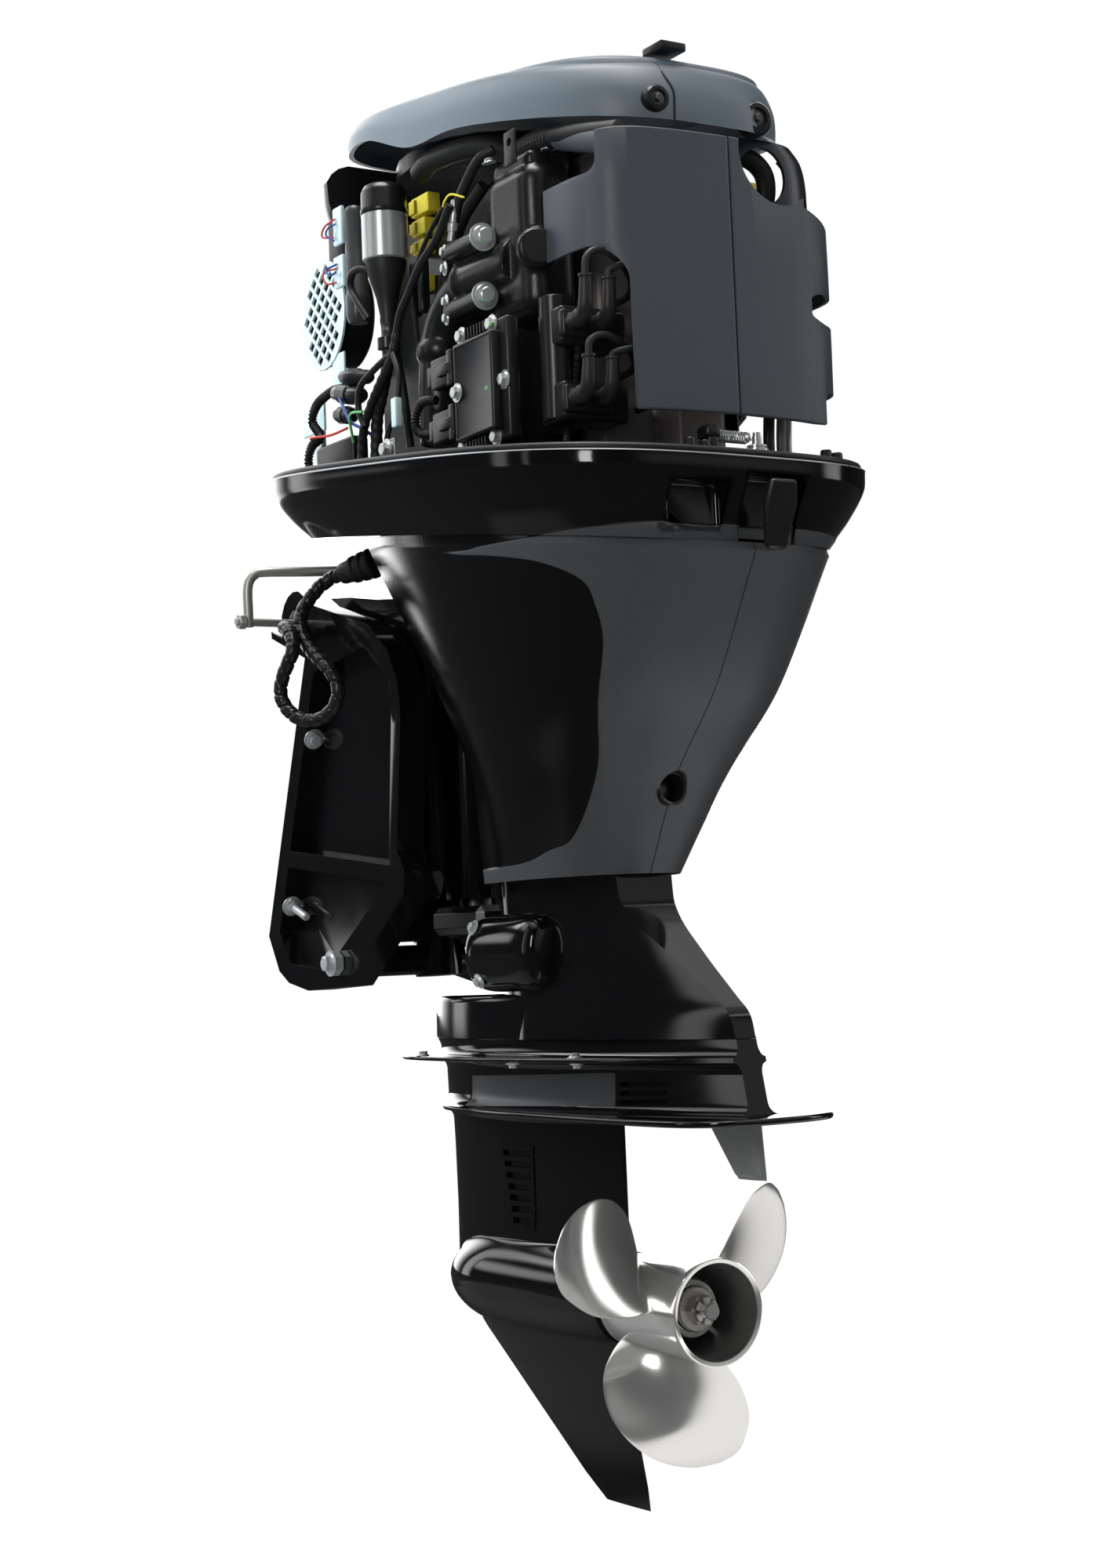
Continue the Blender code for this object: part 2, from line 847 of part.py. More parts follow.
def make_propeller():
    hub = turned(
        "propeller",
        "stainless",
        [
            (0.0500, HUB_END_X),
            (0.0555, HUB_END_X),
            (0.0540, 0.608),
            (0.0515, 0.575),
            (0.0500, 0.520),
            (0.0490, 0.4680),
            (0.0450, 0.4680),
            (0.0455, 0.5750),
        ],
        (0.0, 0.0, PROP_Z),
        axis="X",
        steps=28,
    )
    inner = turned(
        "propeller_inner_hub",
        "stainless",
        [(0.0240, 0.5750), (0.0300, 0.5750), (0.0310, 0.4720), (0.0240, 0.4720)],
        (0.0, 0.0, PROP_Z),
        axis="X",
        steps=20,
    )
    join(hub, inner)
    for i in range(BLADE_COUNT):
        turn = BLADE_PHASE + 2 * math.pi * (i + 0.5) / BLADE_COUNT
        rib = box(f"propeller_rib_{i}", "stainless", (0.478, -0.003, 0.0275), (0.562, 0.003, 0.0475))
        rib.location = (0.520, 0.0375 * math.cos(turn), PROP_Z + 0.0375 * math.sin(turn))
        rib.rotation_euler = (turn - math.pi / 2, 0.0, 0.0)
        join(hub, rib)
    for i in range(BLADE_COUNT):
        join(hub, make_blade(i))
    return hub


def make_prop_fittings():
    bush = turned(
        "prop_hub_bush",
        "rubber",
        [(0.0122, 0.5720), (0.0236, 0.5720), (0.0236, 0.4745), (0.0122, 0.4745)],
        (0.0, 0.0, PROP_Z),
        axis="X",
        steps=16,
    )
    washer = turned(
        "prop_washer",
        "stainless",
        [(0.0, 0.5830), (0.0230, 0.5830), (0.0230, 0.5758), (0.0, 0.5758)],
        (0.0, 0.0, PROP_Z),
        axis="X",
        steps=20,
    )
    nut = rod("prop_nut", "stainless", (0.5820, 0.0, PROP_Z), (0.6000, 0.0, PROP_Z), 0.0165, 6)
    bore = rod("prop_nut_bore", "stainless", (0.57, 0.0, PROP_Z), (0.62, 0.0, PROP_Z), 0.0095, 12)
    return bush, cut(join(nut, washer), bore)


# Midsection


def make_exhaust_housing():
    sections = (
        (SEAM_Z + GAP, 0.689, 0.0665, 0.0125),
        (-0.440, 0.680, 0.0640, 0.0130),
        (-0.420, 0.655, 0.0620, 0.0140),
        (-0.377, 0.592, 0.0580, 0.0220),
        (-0.333, 0.523, 0.0550, 0.0340),
        (-0.300, 0.517, 0.0550, 0.0360),
        (-0.030, 0.500, 0.0600, 0.0400),
        (0.0925, 0.490, 0.0650, 0.0480),
    )
    housing = loft(
        "exhaust_housing",
        "gloss_black",
        [streamline(z, 0.255, tail, half, tail_half, 0.3) for z, tail, half, tail_half in sections],
    )
    pedestal = loft(
        "exhaust_housing_pedestal",
        "gloss_black",
        [
            streamline(SEAM_Z + 0.0007, 0.0855, 0.560, CASE_HALF, 0.010, 0.42),
            streamline(-0.4190, 0.0870, 0.560, 0.0670, 0.010, 0.42),
            streamline(-0.4150, 0.0910, 0.550, 0.0640, 0.010, 0.42),
        ],
    )
    deck = box("exhaust_housing_deck", "gloss_black", (0.175, -0.115, 0.0880), (0.600, 0.115, DECK_Z - GAP))
    join(housing, pedestal, deck)
    passage = loft(
        "exhaust_housing_passage",
        "gloss_black",
        [streamline(z, 0.268, 0.465, 0.038, 0.020, 0.3, 5) for z in (-0.500, 0.200)],
    )
    pump_room = rod(
        "exhaust_housing_pump_room", "gloss_black", (DRIVE_X, 0.0, -0.510), (DRIVE_X, 0.0, -0.4235), 0.0475
    )
    shift_room = rod(
        "exhaust_housing_shift_room", "gloss_black", (SHIFT_X, 0.0, -0.500), (SHIFT_X, 0.0, -0.430), 0.012, 12
    )
    return cut(housing, passage, pump_room, shift_room)


def make_lower_mount(name, side):
    low_y, high_y = sorted((side * 0.0640, side * 0.0880))
    return box(name, "gloss_black", (0.262, low_y, -0.412), (0.415, high_y, -0.325), 0.012)


def tray_seam_z(x):
    return 0.0885 + math.tan(math.radians(-8.5)) * (x - 0.365)


def apron_row(share, tail, half, front_x, front_half, count=9):
    """Half of the apron's outline at one level, from its front edge to the centreline aft."""
    bend = front_x + 0.42 * (tail - front_x)
    row = []
    for i in range(3):
        along = i / 3
        widen = math.sin(along * math.pi / 2)
        row.append((front_x + (bend - front_x) * along, front_half + (half - front_half) * widen))
    for i in range(count):
        turn = i / (count - 1) * math.pi / 2
        row.append((bend + (tail - bend) * math.sin(turn) ** 0.9, half * math.cos(turn) ** 0.8))
    row[-1] = (tail, 0.0006)
    placed = []
    for x, y in row:
        top = tray_seam_z(x) - 0.0075
        placed.append((x, y, top + (APRON_LOW_Z - top) * share))
    return placed


def make_apron(name, side):
    rows = []
    for level in APRON_LEVELS:
        rows.append([(x, side * y, z) for x, y, z in apron_row(*level)])
    shell = loft(name, "satin_charcoal", rows, closed=False, first_cap=False, last_cap=False)
    return thicken(shell, SHELL, 1.0 if shell_faces_inward(shell, side) else -1.0)


def shell_faces_inward(obj, side):
    """True where most of a half shell's faces point towards the centreline."""
    return sum(face.normal.y * face.area for face in obj.data.polygons) * side < 0


def rim_z(x):
    return RIM_Z + RIM_SLOPE * (x - RIM_X)


def make_lower_cowl():
    rim = superellipse(RIM_X, RIM_A, RIM_B, RIM_POWER, TRAY_POINTS)
    shoulder = superellipse(RIM_X, RIM_A - 0.003, RIM_B - 0.003, RIM_POWER, TRAY_POINTS)
    flank = superellipse(RIM_X + 0.001, RIM_A - 0.020, RIM_B - 0.018, RIM_POWER, TRAY_POINTS)
    seam = superellipse(0.365, 0.372, 0.211, 2.7, TRAY_POINTS)
    floor = superellipse(0.385, 0.268, 0.150, RIM_POWER, TRAY_POINTS)
    rows = [
        [(x, y, rim_z(x)) for x, y in rim],
        [(x, y, rim_z(x) - 0.022) for x, y in shoulder],
        [(x, y, 0.5 * (rim_z(x) - 0.022 + tray_seam_z(x))) for x, y in flank],
        [(x, y, tray_seam_z(x)) for x, y in seam],
        [(x, y, tray_seam_z(x) + 0.006) for x, y in floor],
    ]
    shell = loft("lower_cowl", "gloss_black", rows, first_cap=False, last_cap=False)
    outward = sum((face.center.x - RIM_X) * face.normal.x * face.area for face in shell.data.polygons) > 0
    return thicken(shell, SHELL, -1.0 if outward else 1.0)


def make_cowl_seal():
    ring = superellipse(RIM_X, RIM_A - 0.007, RIM_B - 0.007, RIM_POWER, TRAY_POINTS)
    return tube("cowl_seal", "rubber", [(x, y, rim_z(x) + 0.0048) for x, y in ring], 0.004, 0, closed=True)


def make_latch():
    lever = plate(
        "cowl_latch_lever",
        "black_plastic",
        [
            [
                (-0.016, 0.005),
                (0.016, 0.005),
                (0.020, -0.020),
                (0.012, -0.066),
                (-0.012, -0.066),
                (-0.020, -0.020),
            ]
        ],
        0.010,
        "YZ",
        LATCH_X,
    )
    lever.location = (LATCH_X, LATCH_Y, LATCH_Z)
    lean = Matrix.Rotation(LATCH_LEAN, 3, "Y")
    lever.rotation_euler = (lean @ lever.rotation_euler.to_matrix()).to_euler()
    return round_edges(lever, 0.003)


def make_latch_spring():
    points_per_curl = 8
    tail = 0.0030
    points = [(SPRING_X, SPRING_Y - tail, SPRING_Z), (SPRING_X, SPRING_Y - 0.4 * tail, SPRING_Z)]
    total = SPRING_CURLS * points_per_curl
    for i in range(total + 1):
        turn = 2 * math.pi * i / points_per_curl
        y = SPRING_Y + SPRING_LENGTH * i / total
        r = SPRING_COIL_R * min(1.0, i / 4, (total - i) / 4)
        points.append((SPRING_X + r * math.sin(turn), y, SPRING_Z + r * math.cos(turn)))
    end_y = SPRING_Y + SPRING_LENGTH
    points += [(SPRING_X, end_y + 0.4 * tail, SPRING_Z), (SPRING_X, end_y + tail, SPRING_Z)]
    gap = least_self_gap(points, SPRING_WIRE_R, points_per_curl // 2)
    print("latch spring: least gap to itself", round(1000 * gap, 2), "mm")
    return tube("latch_spring", "steel", points, SPRING_WIRE_R, 1)


# Clamp, trim unit and swivel


def clamp_outline():
    boss = []
    for i in range(7):
        turn = math.radians(75 + 21 * i)
        boss.append((TILT_X + 0.040 * math.cos(turn), TILT_Z + 0.040 * math.sin(turn)))
    return [
        (0.0, 0.0),
        (FACE_LOW_X, FACE_LOW_Z),
        (-0.101, -0.379),
        (-0.075, -0.394),
        (-0.022, -0.404),
        (0.080, -0.400),
        (0.228, -0.298),
        (0.232, -0.270),
        (0.216, -0.247),
        (0.236, -0.094),
        (0.232, -0.054),
        (0.210, -0.015),
        (0.165, 0.020),
        (0.090, 0.042),
        (0.030, 0.060),
        *boss,
        (-0.0905, 0.0440),
        (-0.0900, 0.0350),
    ]


def make_clamp_bracket(name, side):
    middle = side * (CLAMP_OUTER_Y + CLAMP_INNER_Y) / 2
    bracket = plate(name, "gloss_black", [clamp_outline()], CLAMP_OUTER_Y - CLAMP_INNER_Y, "XZ", middle)
    relief_depth = 0.038
    relief_middle = side * (RELIEF_Y + relief_depth / 2)
    upper = [
        (0.022, -0.020),
        (-0.060, -0.232),
        (0.196, -0.262),
        (0.214, -0.095),
        (0.206, -0.045),
        (0.155, -0.005),
    ]
    lower = [(-0.066, -0.252), (-0.096, -0.330), (-0.070, -0.370), (0.028, -0.380), (0.190, -0.282)]
    for label, outline in (("upper", upper), ("lower", lower)):
        relief = f"{name}_{label}_relief"
        cut(bracket, plate(relief, "gloss_black", [outline], relief_depth, "XZ", relief_middle))
    inner, outer = side * (CLAMP_INNER_Y - 0.02), side * (CLAMP_OUTER_Y + 0.02)
    for label, x, z, radius in (
        ("tilt", TILT_X, TILT_Z, TUBE_R + GAP),
        ("trim", TRIM_X, TRIM_Z, PIN_HOLE_R),
    ):
        cut(bracket, rod(f"{name}_{label}_hole", "gloss_black", (x, inner, z), (x, outer, z), radius))
    aft = transom_normal()
    for label, share in BOLT_SHARES.items():
        start = Vector((FACE_LOW_X * share, middle, FACE_LOW_Z * share))
        ends = (start - aft * 0.08, start + aft * 0.05)
        cut(bracket, rod(f"{name}_{label}_bolt_hole", "gloss_black", *ends, BOLT_HOLE_R, 12))
    return bracket


def transom_normal():
    """Unit vector square to the transom face, pointing aft."""
    run = Vector((FACE_LOW_X, 0.0, FACE_LOW_Z)).normalized()
    return Vector((-run.z, 0.0, run.x))


def make_tilt_tube():
    low_y, high_y = -CLAMP_OUTER_Y - 0.0015, CLAMP_OUTER_Y + 0.020
    tilt_tube = rod("tilt_tube", "steel", (TILT_X, low_y, TILT_Z), (TILT_X, high_y, TILT_Z), TUBE_R)
    nut = rod("tilt_tube_nut", "steel", (TILT_X, 0.1358, TILT_Z), (TILT_X, 0.1520, TILT_Z), 0.026, 6)
    bore = rod("tilt_tube_bore", "steel", (TILT_X, -0.16, TILT_Z), (TILT_X, 0.02, TILT_Z), TUBE_BORE_R, 12)
    return cut(join(tilt_tube, nut), bore)


def make_cross_shaft():
    ends = ((TRIM_X, -0.139, TRIM_Z), (TRIM_X, 0.139, TRIM_Z))
    shaft = rod("lower_cross_shaft", "steel", *ends, CROSS_SHAFT_R, 12)
    for side in (-1, 1):
        ends = ((TRIM_X, side * 0.1358, TRIM_Z), (TRIM_X, side * 0.1460, TRIM_Z))
        join(shaft, rod(f"lower_cross_shaft_head_{side}", "steel", *ends, 0.0150, 6))
    return shaft


def along_ram(distance, side=0.0):
    direction = (RAM_EYE - RAM_FOOT).normalized()
    return RAM_FOOT + direction * distance + Vector((0.0, side, 0.0))


def make_trim_unit():
    black = "gloss_black"
    body = rod("trim_unit_body", black, along_ram(-0.020), along_ram(0.225), 0.0290)
    foot = rod("trim_unit_foot", black, (TRIM_X, -0.085, TRIM_Z), (TRIM_X, 0.085, TRIM_Z), 0.0180)
    valve_block = box("trim_unit_valve_block", black, (0.035, -0.070, -0.350), (0.092, 0.070, -0.300), 0.006)
    motor = rod("trim_unit_motor", black, along_ram(0.050, -0.046), along_ram(0.165, -0.046), 0.0200, 12)
    reservoir_ends = (along_ram(0.050, 0.046), along_ram(0.140, 0.046))
    reservoir = rod("trim_unit_reservoir", black, *reservoir_ends, 0.0190, 12)
    join(body, foot, valve_block, motor, reservoir)
    ram_bore = rod("trim_unit_ram_bore", black, along_ram(0.030), along_ram(0.260), 0.0125)
    pin_bore = rod("trim_unit_pin_bore", black, (TRIM_X, -0.1, TRIM_Z), (TRIM_X, 0.1, TRIM_Z), PIN_HOLE_R, 12)
    return cut(body, ram_bore, pin_bore)


def make_tilt_ram():
    ram = rod("tilt_ram", "stainless", along_ram(0.034), along_ram(0.245), 0.0110, 12)
    half = Vector((0.0, 0.013, 0.0))
    return join(ram, rod("tilt_ram_eye", "stainless", RAM_EYE - half, RAM_EYE + half, 0.0165))


def make_swivel_bracket():
    middle = SWIVEL_HALF - SWIVEL_WALL / 2
    ear = []
    for i in range(7):
        turn = math.radians(100 + 28 * i)
        ear.append((TILT_X + 0.034 * math.cos(turn), TILT_Z + 0.034 * math.sin(turn)))
    outline = [
        (0.205, 0.030),
        (0.180, 0.050),
        (0.100, 0.060),
        (0.030, 0.072),
        *ear,
        (0.020, 0.000),
        (0.085, -0.080),
        (0.110, -0.180),
        (0.120, -0.290),
        (0.150, -0.305),
        (0.190, -0.300),
        (0.205, -0.270),
    ]
    black = "gloss_black"
    port_wall = plate("swivel_bracket", black, [outline], SWIVEL_WALL, "XZ", -middle)
    starboard_wall = plate("swivel_bracket_starboard_wall", black, [outline], SWIVEL_WALL, "XZ", middle)
    tower = rod("swivel_bracket_tower", black, (STEER_X, 0, -0.303), (STEER_X, 0, 0.0560), 0.0390, 20)
    web = box("swivel_bracket_web", black, (0.146, -0.078, -0.290), (0.176, 0.078, 0.048))
    roof = box("swivel_bracket_roof", black, (0.020, -0.078, 0.022), (0.170, 0.078, 0.0500))
    join(port_wall, starboard_wall, tower, web, roof)
    steer_bore = rod("swivel_bracket_steer_bore", black, (STEER_X, 0, -0.4), (STEER_X, 0, 0.2), 0.0235)
    tilt_ends = ((TILT_X, -0.2, TILT_Z), (TILT_X, 0.2, TILT_Z))
    tilt_bore = rod("swivel_bracket_tilt_bore", black, *tilt_ends, TUBE_R + GAP)
    return cut(port_wall, steer_bore, tilt_bore)


def make_tilt_support():
    lever = plate(
        "tilt_support_lever",
        "gloss_black",
        [
            [
                (0.014, 0.0),
                (0.008, 0.012),
                (-0.008, 0.012),
                (-0.014, 0.0),
                (-0.012, -0.080),
                (-0.002, -0.096),
                (0.012, -0.088),
            ]
        ],
        0.008,
        "XZ",
        SUPPORT_Y,
    )
    lever.location = (SUPPORT_X, SUPPORT_Y, SUPPORT_Z)
    return lever


def make_steering():
    shaft = rod("steering_shaft", "steel", (STEER_X, 0, -0.345), (STEER_X, 0, 0.0860), 0.0220, 16)
    yoke = box("steering_shaft_yoke", "steel", (0.135, -0.050, -0.345), (0.2500, 0.050, -0.3120), 0.008)
    join(shaft, yoke)
    tip_x = STEER_X - ARM_LENGTH
    arm = plate(
        "steering_shaft_arm",
        "steel",
        [
            mirrored(
                [
                    (tip_x - 0.018, 0.0),
                    (tip_x - 0.012, 0.016),
                    (tip_x + 0.020, 0.024),
                    (STEER_X - 0.030, 0.045),
                    (STEER_X + 0.030, 0.060),
                    (0.2500, 0.060),
                    (0.2500, 0.0),
                ]
            )
        ],
        0.016,
        "XY",
        0.0795,
    )
    return join(shaft, arm)


def make_drag_link():
    link = as_mesh(tube("drag_link", "stainless", DRAG_LINK_ROUTE, 0.0060, 2))
    stud_ends = ((TILT_X, LINK_Y - 0.017, TILT_Z), (TILT_X, -0.060, TILT_Z))
    stud = rod("drag_link_stud", "stainless", *stud_ends, 0.0050, 12)
    nut_ends = ((TILT_X, LINK_Y - 0.014, TILT_Z), (TILT_X, LINK_Y - 0.005, TILT_Z))
    return join(link, stud, rod("drag_link_nut", "stainless", *nut_ends, 0.0095, 6))


# Powerhead


def make_engine_block():
    low, high = (BLOCK_FRONT_X, -BLOCK_HALF, DECK_Z), (HEAD_X, BLOCK_HALF, BLOCK_TOP_Z)
    block = box("engine_block", "engine_black", low, high, 0.012)
    crank_line = ((DRIVE_X, 0, 0.0), (DRIVE_X, 0, 0.6))
    cut(block, rod("engine_block_crank_bore", "engine_black", *crank_line, 0.0360, 20))
    for i in range(CYLINDER_COUNT):
        z = LOW_CYLINDER_Z + CYLINDER_PITCH * i
        ends = ((DRIVE_X, 0, z), (HEAD_X + 0.05, 0, z))
        cut(block, rod(f"engine_block_cylinder_{i}", "engine_black", *ends, 0.0340, 12))
    return block


def make_head():
    head = box("cylinder_head", "engine_black", (HEAD_X + GAP, -0.098, 0.120), (0.555, 0.098, 0.478), 0.008)
    cover = box("cylinder_head_cover", "engine_black", (0.5450, -0.080, 0.130), (0.600, 0.080, 0.470), 0.012)
    return join(head, cover)


def make_crank_train():
    webs = []
    for i in range(CYLINDER_COUNT):
        z = 0.440 - CYLINDER_PITCH * i
        webs += [(0.0200, z), (0.0320, z - 0.002), (0.0320, z - 0.020), (0.0200, z - 0.022)]
    crankshaft = turned(
        "crankshaft",
        "steel",
        [
            (0.0, 0.5560),
            (0.0125, 0.5560),
            (0.0130, BELT_Z + 0.009),
            (CRANK_PULLEY_R, BELT_Z + 0.008),
            (CRANK_PULLEY_R, BELT_Z - 0.007),
            (0.0200, BELT_Z - 0.008),
            *webs,
            (0.0130, 0.1180),
            (0.0130, 0.0950),
            (0.0, 0.0950),
        ],
        (DRIVE_X, 0.0, 0.0),
        steps=12,
    )
    flywheel = turned(
        "flywheel",
        "engine_black",
        [
            (0.0134, 0.5600),
            (0.0240, 0.5600),
            (0.0300, 0.5500),
            (0.1180, 0.5500),
            (0.1250, 0.5460),
            (0.1250, 0.5260),
            (0.1180, 0.5220),
            (0.0134, 0.5220),
        ],
        (DRIVE_X, 0.0, 0.0),
        steps=24,
    )
    return crankshaft, flywheel


def cover_ring(scale, share):
    """One ring of the top cover, between its skirt (share 0) and its top (share 1)."""
    placed = []
    for x, y in superellipse(COVER_X, COVER_A * scale, COVER_B * scale, 2.6, 36):
        skirt = COVER_SKIRT_Z + COVER_SKIRT_SLOPE * (x - 0.40)
        top = COVER_TOP_Z + COVER_TOP_SLOPE * (x - 0.40)
        placed.append((x, y, skirt + (top - skirt) * share))
    return placed


def make_top_cover():
    rows = [cover_ring(*row) for row in COVER_ROWS]
    return thicken(loft("top_cover", "cover_grey", rows, first_cap=False), SHELL, -1.0)


def make_lifting_eye():
    outline = [(-0.016, 0.0), (0.016, 0.0), (0.016, 0.016), (0.009, 0.025), (-0.009, 0.025), (-0.016, 0.016)]
    hole = [(0.007 * math.cos(t * math.pi / 5), 0.013 + 0.007 * math.sin(t * math.pi / 5)) for t in range(10)]
    eye = plate("lifting_eye", "steel", [outline, hole], 0.008, "XZ", 0.0)
    eye.location = (EYE_X, EYE_Y, EYE_Z)
    return eye


def make_rear_cover(name, side):
    plan = REAR_PORT_PLAN if side < 0 else REAR_STARBOARD_PLAN
    rows = [[(x, side * y, z) for x, y in plan] for z in (REAR_LOW_Z, 0.250, 0.335, 0.405, REAR_TOP_Z)]
    shell = loft(name, "rear_grey", rows, closed=False, first_cap=False, last_cap=False)
    thicken(shell, SHELL, 1.0 if shell_faces_inward(shell, side) else -1.0)
    if side < 0:
        lead_window = box(name + "_lead_window", "rear_grey", (0.55, -0.20, 0.10), (0.7135, -0.06, 0.335))
        shoulder = box(name + "_shoulder", "rear_grey", (0.55, -0.20, 0.410), (0.690, -0.06, 0.50))
        return cut(shell, lead_window, shoulder)
    ends = ((0.66, CRESCENT_Y, CRESCENT_Z), (0.78, CRESCENT_Y, CRESCENT_Z))
    crescent = rod(name + "_crescent", "rear_grey", *ends, CRESCENT_R, 20)
    slope = [(0.100, 0.392), (0.22, 0.352), (0.22, 0.60), (0.100, 0.60)]
    shoulder = plate(name + "_shoulder", "rear_grey", [slope], 0.20, "YZ", 0.68)
    front = box(name + "_front", "rear_grey", (0.55, 0.06, 0.10), (0.640, 0.20, 0.50))
    notch = box(name + "_notch", "rear_grey", (0.55, 0.085, 0.272), (0.7205, 0.20, 0.305))
    foot = box(name + "_foot", "rear_grey", (0.55, 0.085, 0.10), (0.7155, 0.20, 0.203))
    return cut(shell, crescent, shoulder, front, notch, foot)


def make_side_moulding():
    rows = [[(x, share * y, z) for x, y in SIDE_PLAN] for z, share in SIDE_ROWS]
    name = "rear_side_moulding"
    shell = loft(name, "gloss_black", rows, closed=False, first_cap=False, last_cap=False)
    thicken(shell, SHELL, 1.0 if shell_faces_inward(shell, 1) else -1.0)
    ends = ((0.60, 0.083, 0.436), (0.72, 0.083, 0.436))
    return cut(shell, rod(name + "_opening", "gloss_black", *ends, 0.030, 20))


def make_port_casting():
    column = box("port_casting", "engine_black", (0.505, -0.160, 0.285), (0.600, -0.0985, 0.462), 0.014)
    pad = box("port_casting_pad", "engine_black", (0.452, -0.168, 0.306), (0.545, -0.138, 0.388), 0.006)
    elbow = as_mesh(tube("port_casting_elbow", "engine_black", smooth_path(ELBOW_ROUTE, 2), ELBOW_R, 2))
    join(column, pad, elbow)
    for i, z in enumerate((BOSS_HIGH_Z, BOSS_LOW_Z)):
        ends = ((0.446, -0.1690, z + 0.004), (0.5335, -0.1775, z))
        join(column, rod(f"port_casting_boss_{i}", "engine_black", *ends, 0.0105, 12))
    return column


def make_module():
    case = box("engine_module", "black_plastic", (0.487, -0.188, 0.155), (0.590, -0.172, 0.283), 0.004)
    low, high = (0.4965, -0.199, 0.1655), (0.577, -0.180, 0.2695)
    face = box("engine_module_face", "black_plastic", low, high, 0.003)
    foot = box("engine_module_foot", "black_plastic", (0.495, -0.178, 0.165), (0.575, -0.0985, 0.273))
    join(case, face, foot)
    for i, z in enumerate((0.248, 0.190)):
        low, high = (0.444, -0.197, z - 0.016), (0.500, -0.1765, z + 0.016)
        join(case, box(f"engine_module_plug_{i}", "black_plastic", low, high, 0.003))
    return case


def make_coil(name, z, boot_rise):
    coil = box(name, "black_plastic", (0.6035, -0.165, z - 0.020), (0.664, -0.0800, z + 0.020), 0.004)
    for i, y in enumerate((TOWER_FORE_Y, TOWER_AFT_Y)):
        tower = rod(f"{name}_tower_{i}", "rubber", (0.655, y, z), (0.690, y - 0.006, z), 0.0100, 12)
        boot = rod(
            f"{name}_boot_{i}",
            "rubber",
            (0.6915, y - 0.0062, z - 0.008),
            (0.6932, y - 0.0063, z + boot_rise),
            0.0085,
            12,
            0.0065,
        )
        join(coil, tower, boot)
    return coil


def make_plug_lead(name, y, top, crest, plug_z):
    """A lead from a boot's top, over its crest and in to the head."""
    reach = LEAD_AFT_X if y == TOWER_AFT_Y else LEAD_FORE_X
    route = (
        (0.6932, y - 0.0063, top),
        (0.6940, y - 0.0055, 0.35 * top + 0.65 * crest - 0.002),
        (reach[0], y + 0.003, crest - 0.0015),
        (reach[1], y + 0.016, crest),
        (reach[2], y + 0.030, 0.80 * crest + 0.20 * plug_z),
        (reach[3], y + 0.044, 0.55 * crest + 0.45 * plug_z),
        (0.6700, y + 0.064, 0.20 * crest + 0.80 * plug_z),
        (0.6400, y + 0.079, plug_z),
        (0.6006, y + 0.084, plug_z),
    )
    return tube(name, "rubber", smooth_path(route, 2), 0.0038, 1)


def make_starter():
    return turned(
        "starter_motor",
        "steel",
        [
            (0.0, 0.5020),
            (0.0200, 0.5020),
            (0.0265, 0.4940),
            (0.0265, 0.4150),
            (0.0220, 0.4050),
            (0.0190, 0.3800),
            (0.0110, 0.3400),
            (0.0, 0.3400),
        ],
        (STARTER_X, SIDE_FITTING_Y, 0.0),
        steps=20,
    )


def grille_outline(share):
    turns = [i * math.pi / 12 for i in range(24)]
    half_x, half_z = share * GRILLE_HALF_X, share * GRILLE_HALF_Z
    return [(GRILLE_X + half_x * math.cos(t), GRILLE_Z + half_z * math.sin(t)) for t in turns]


def make_grille_guard():
    outlines = [grille_outline(1.0)]
    step, half_hole = 0.0210, 0.0074
    for row in range(-6, 7):
        for column in range(-3, 4):
            x = column * step + (step / 2 if row % 2 else 0.0)
            z = row * step / 2
            if (x / (GRILLE_HALF_X - 0.011)) ** 2 + (z / (GRILLE_HALF_Z - 0.011)) ** 2 < 1:
                outlines.append(
                    [
                        (GRILLE_X + x + half_hole, GRILLE_Z + z),
                        (GRILLE_X + x, GRILLE_Z + z + half_hole),
                        (GRILLE_X + x - half_hole, GRILLE_Z + z),
                        (GRILLE_X + x, GRILLE_Z + z - half_hole),
                    ]
                )
    return plate("grille_guard", "pale_plastic", outlines, 0.003, "XZ", -0.146)


def silencer_ring(z, share):
    """The front arc of the plan and its straight back, shrunk towards the middle of the back."""
    ring = []
    for x, y in superellipse(SILENCER_X, SILENCER_A, SILENCER_B, 2.4, 36):
        if x < SILENCER_BACK_X:
            ring.append((SILENCER_BACK_X + share * (x - SILENCER_BACK_X), share * y, z))
    return ring


def make_front_fittings():
    rows = [silencer_ring(*row) for row in SILENCER_ROWS]
    silencer = loft("intake_silencer", "black_plastic", rows)
    mouth = plate("intake_silencer_mouth", "black_plastic", [grille_outline(0.92)], 0.040, "XZ", -0.1235)
    neck = box("intake_silencer_neck", "black_plastic", (0.100, -0.136, 0.430), (0.145, -0.105, 0.515))
    join(silencer, mouth, neck)
    canister = turned(
        "fuel_filter_canister",
        "black_plastic",
        [
            (0.0, 0.4960),
            (0.0110, 0.4960),
            (0.0128, 0.4920),
            (0.0128, 0.4350),
            (0.0140, 0.4320),
            (0.0140, 0.3720),
            (0.0120, 0.3600),
            (0.0, 0.3600),
        ],
        (CANISTER_X, SIDE_FITTING_Y, 0.0),
        steps=20,
    )
    breather = tube("breather_hose", "rubber", smooth_path(BREATHER_ROUTE, 2), 0.0110, 2)
    return silencer, canister, breather


def make_plenum():
    plenum = box("intake_plenum", "black_plastic", (0.240, 0.118, 0.200), (0.520, 0.178, 0.430), 0.020)
    for i in range(CYLINDER_COUNT):
        z = 0.230 + 0.058 * i
        ends = ((0.505, 0.136, z), (0.530, 0.1120, z))
        join(plenum, rod(f"intake_plenum_runner_{i}", "black_plastic", *ends, 0.0160, 12))
    return plenum


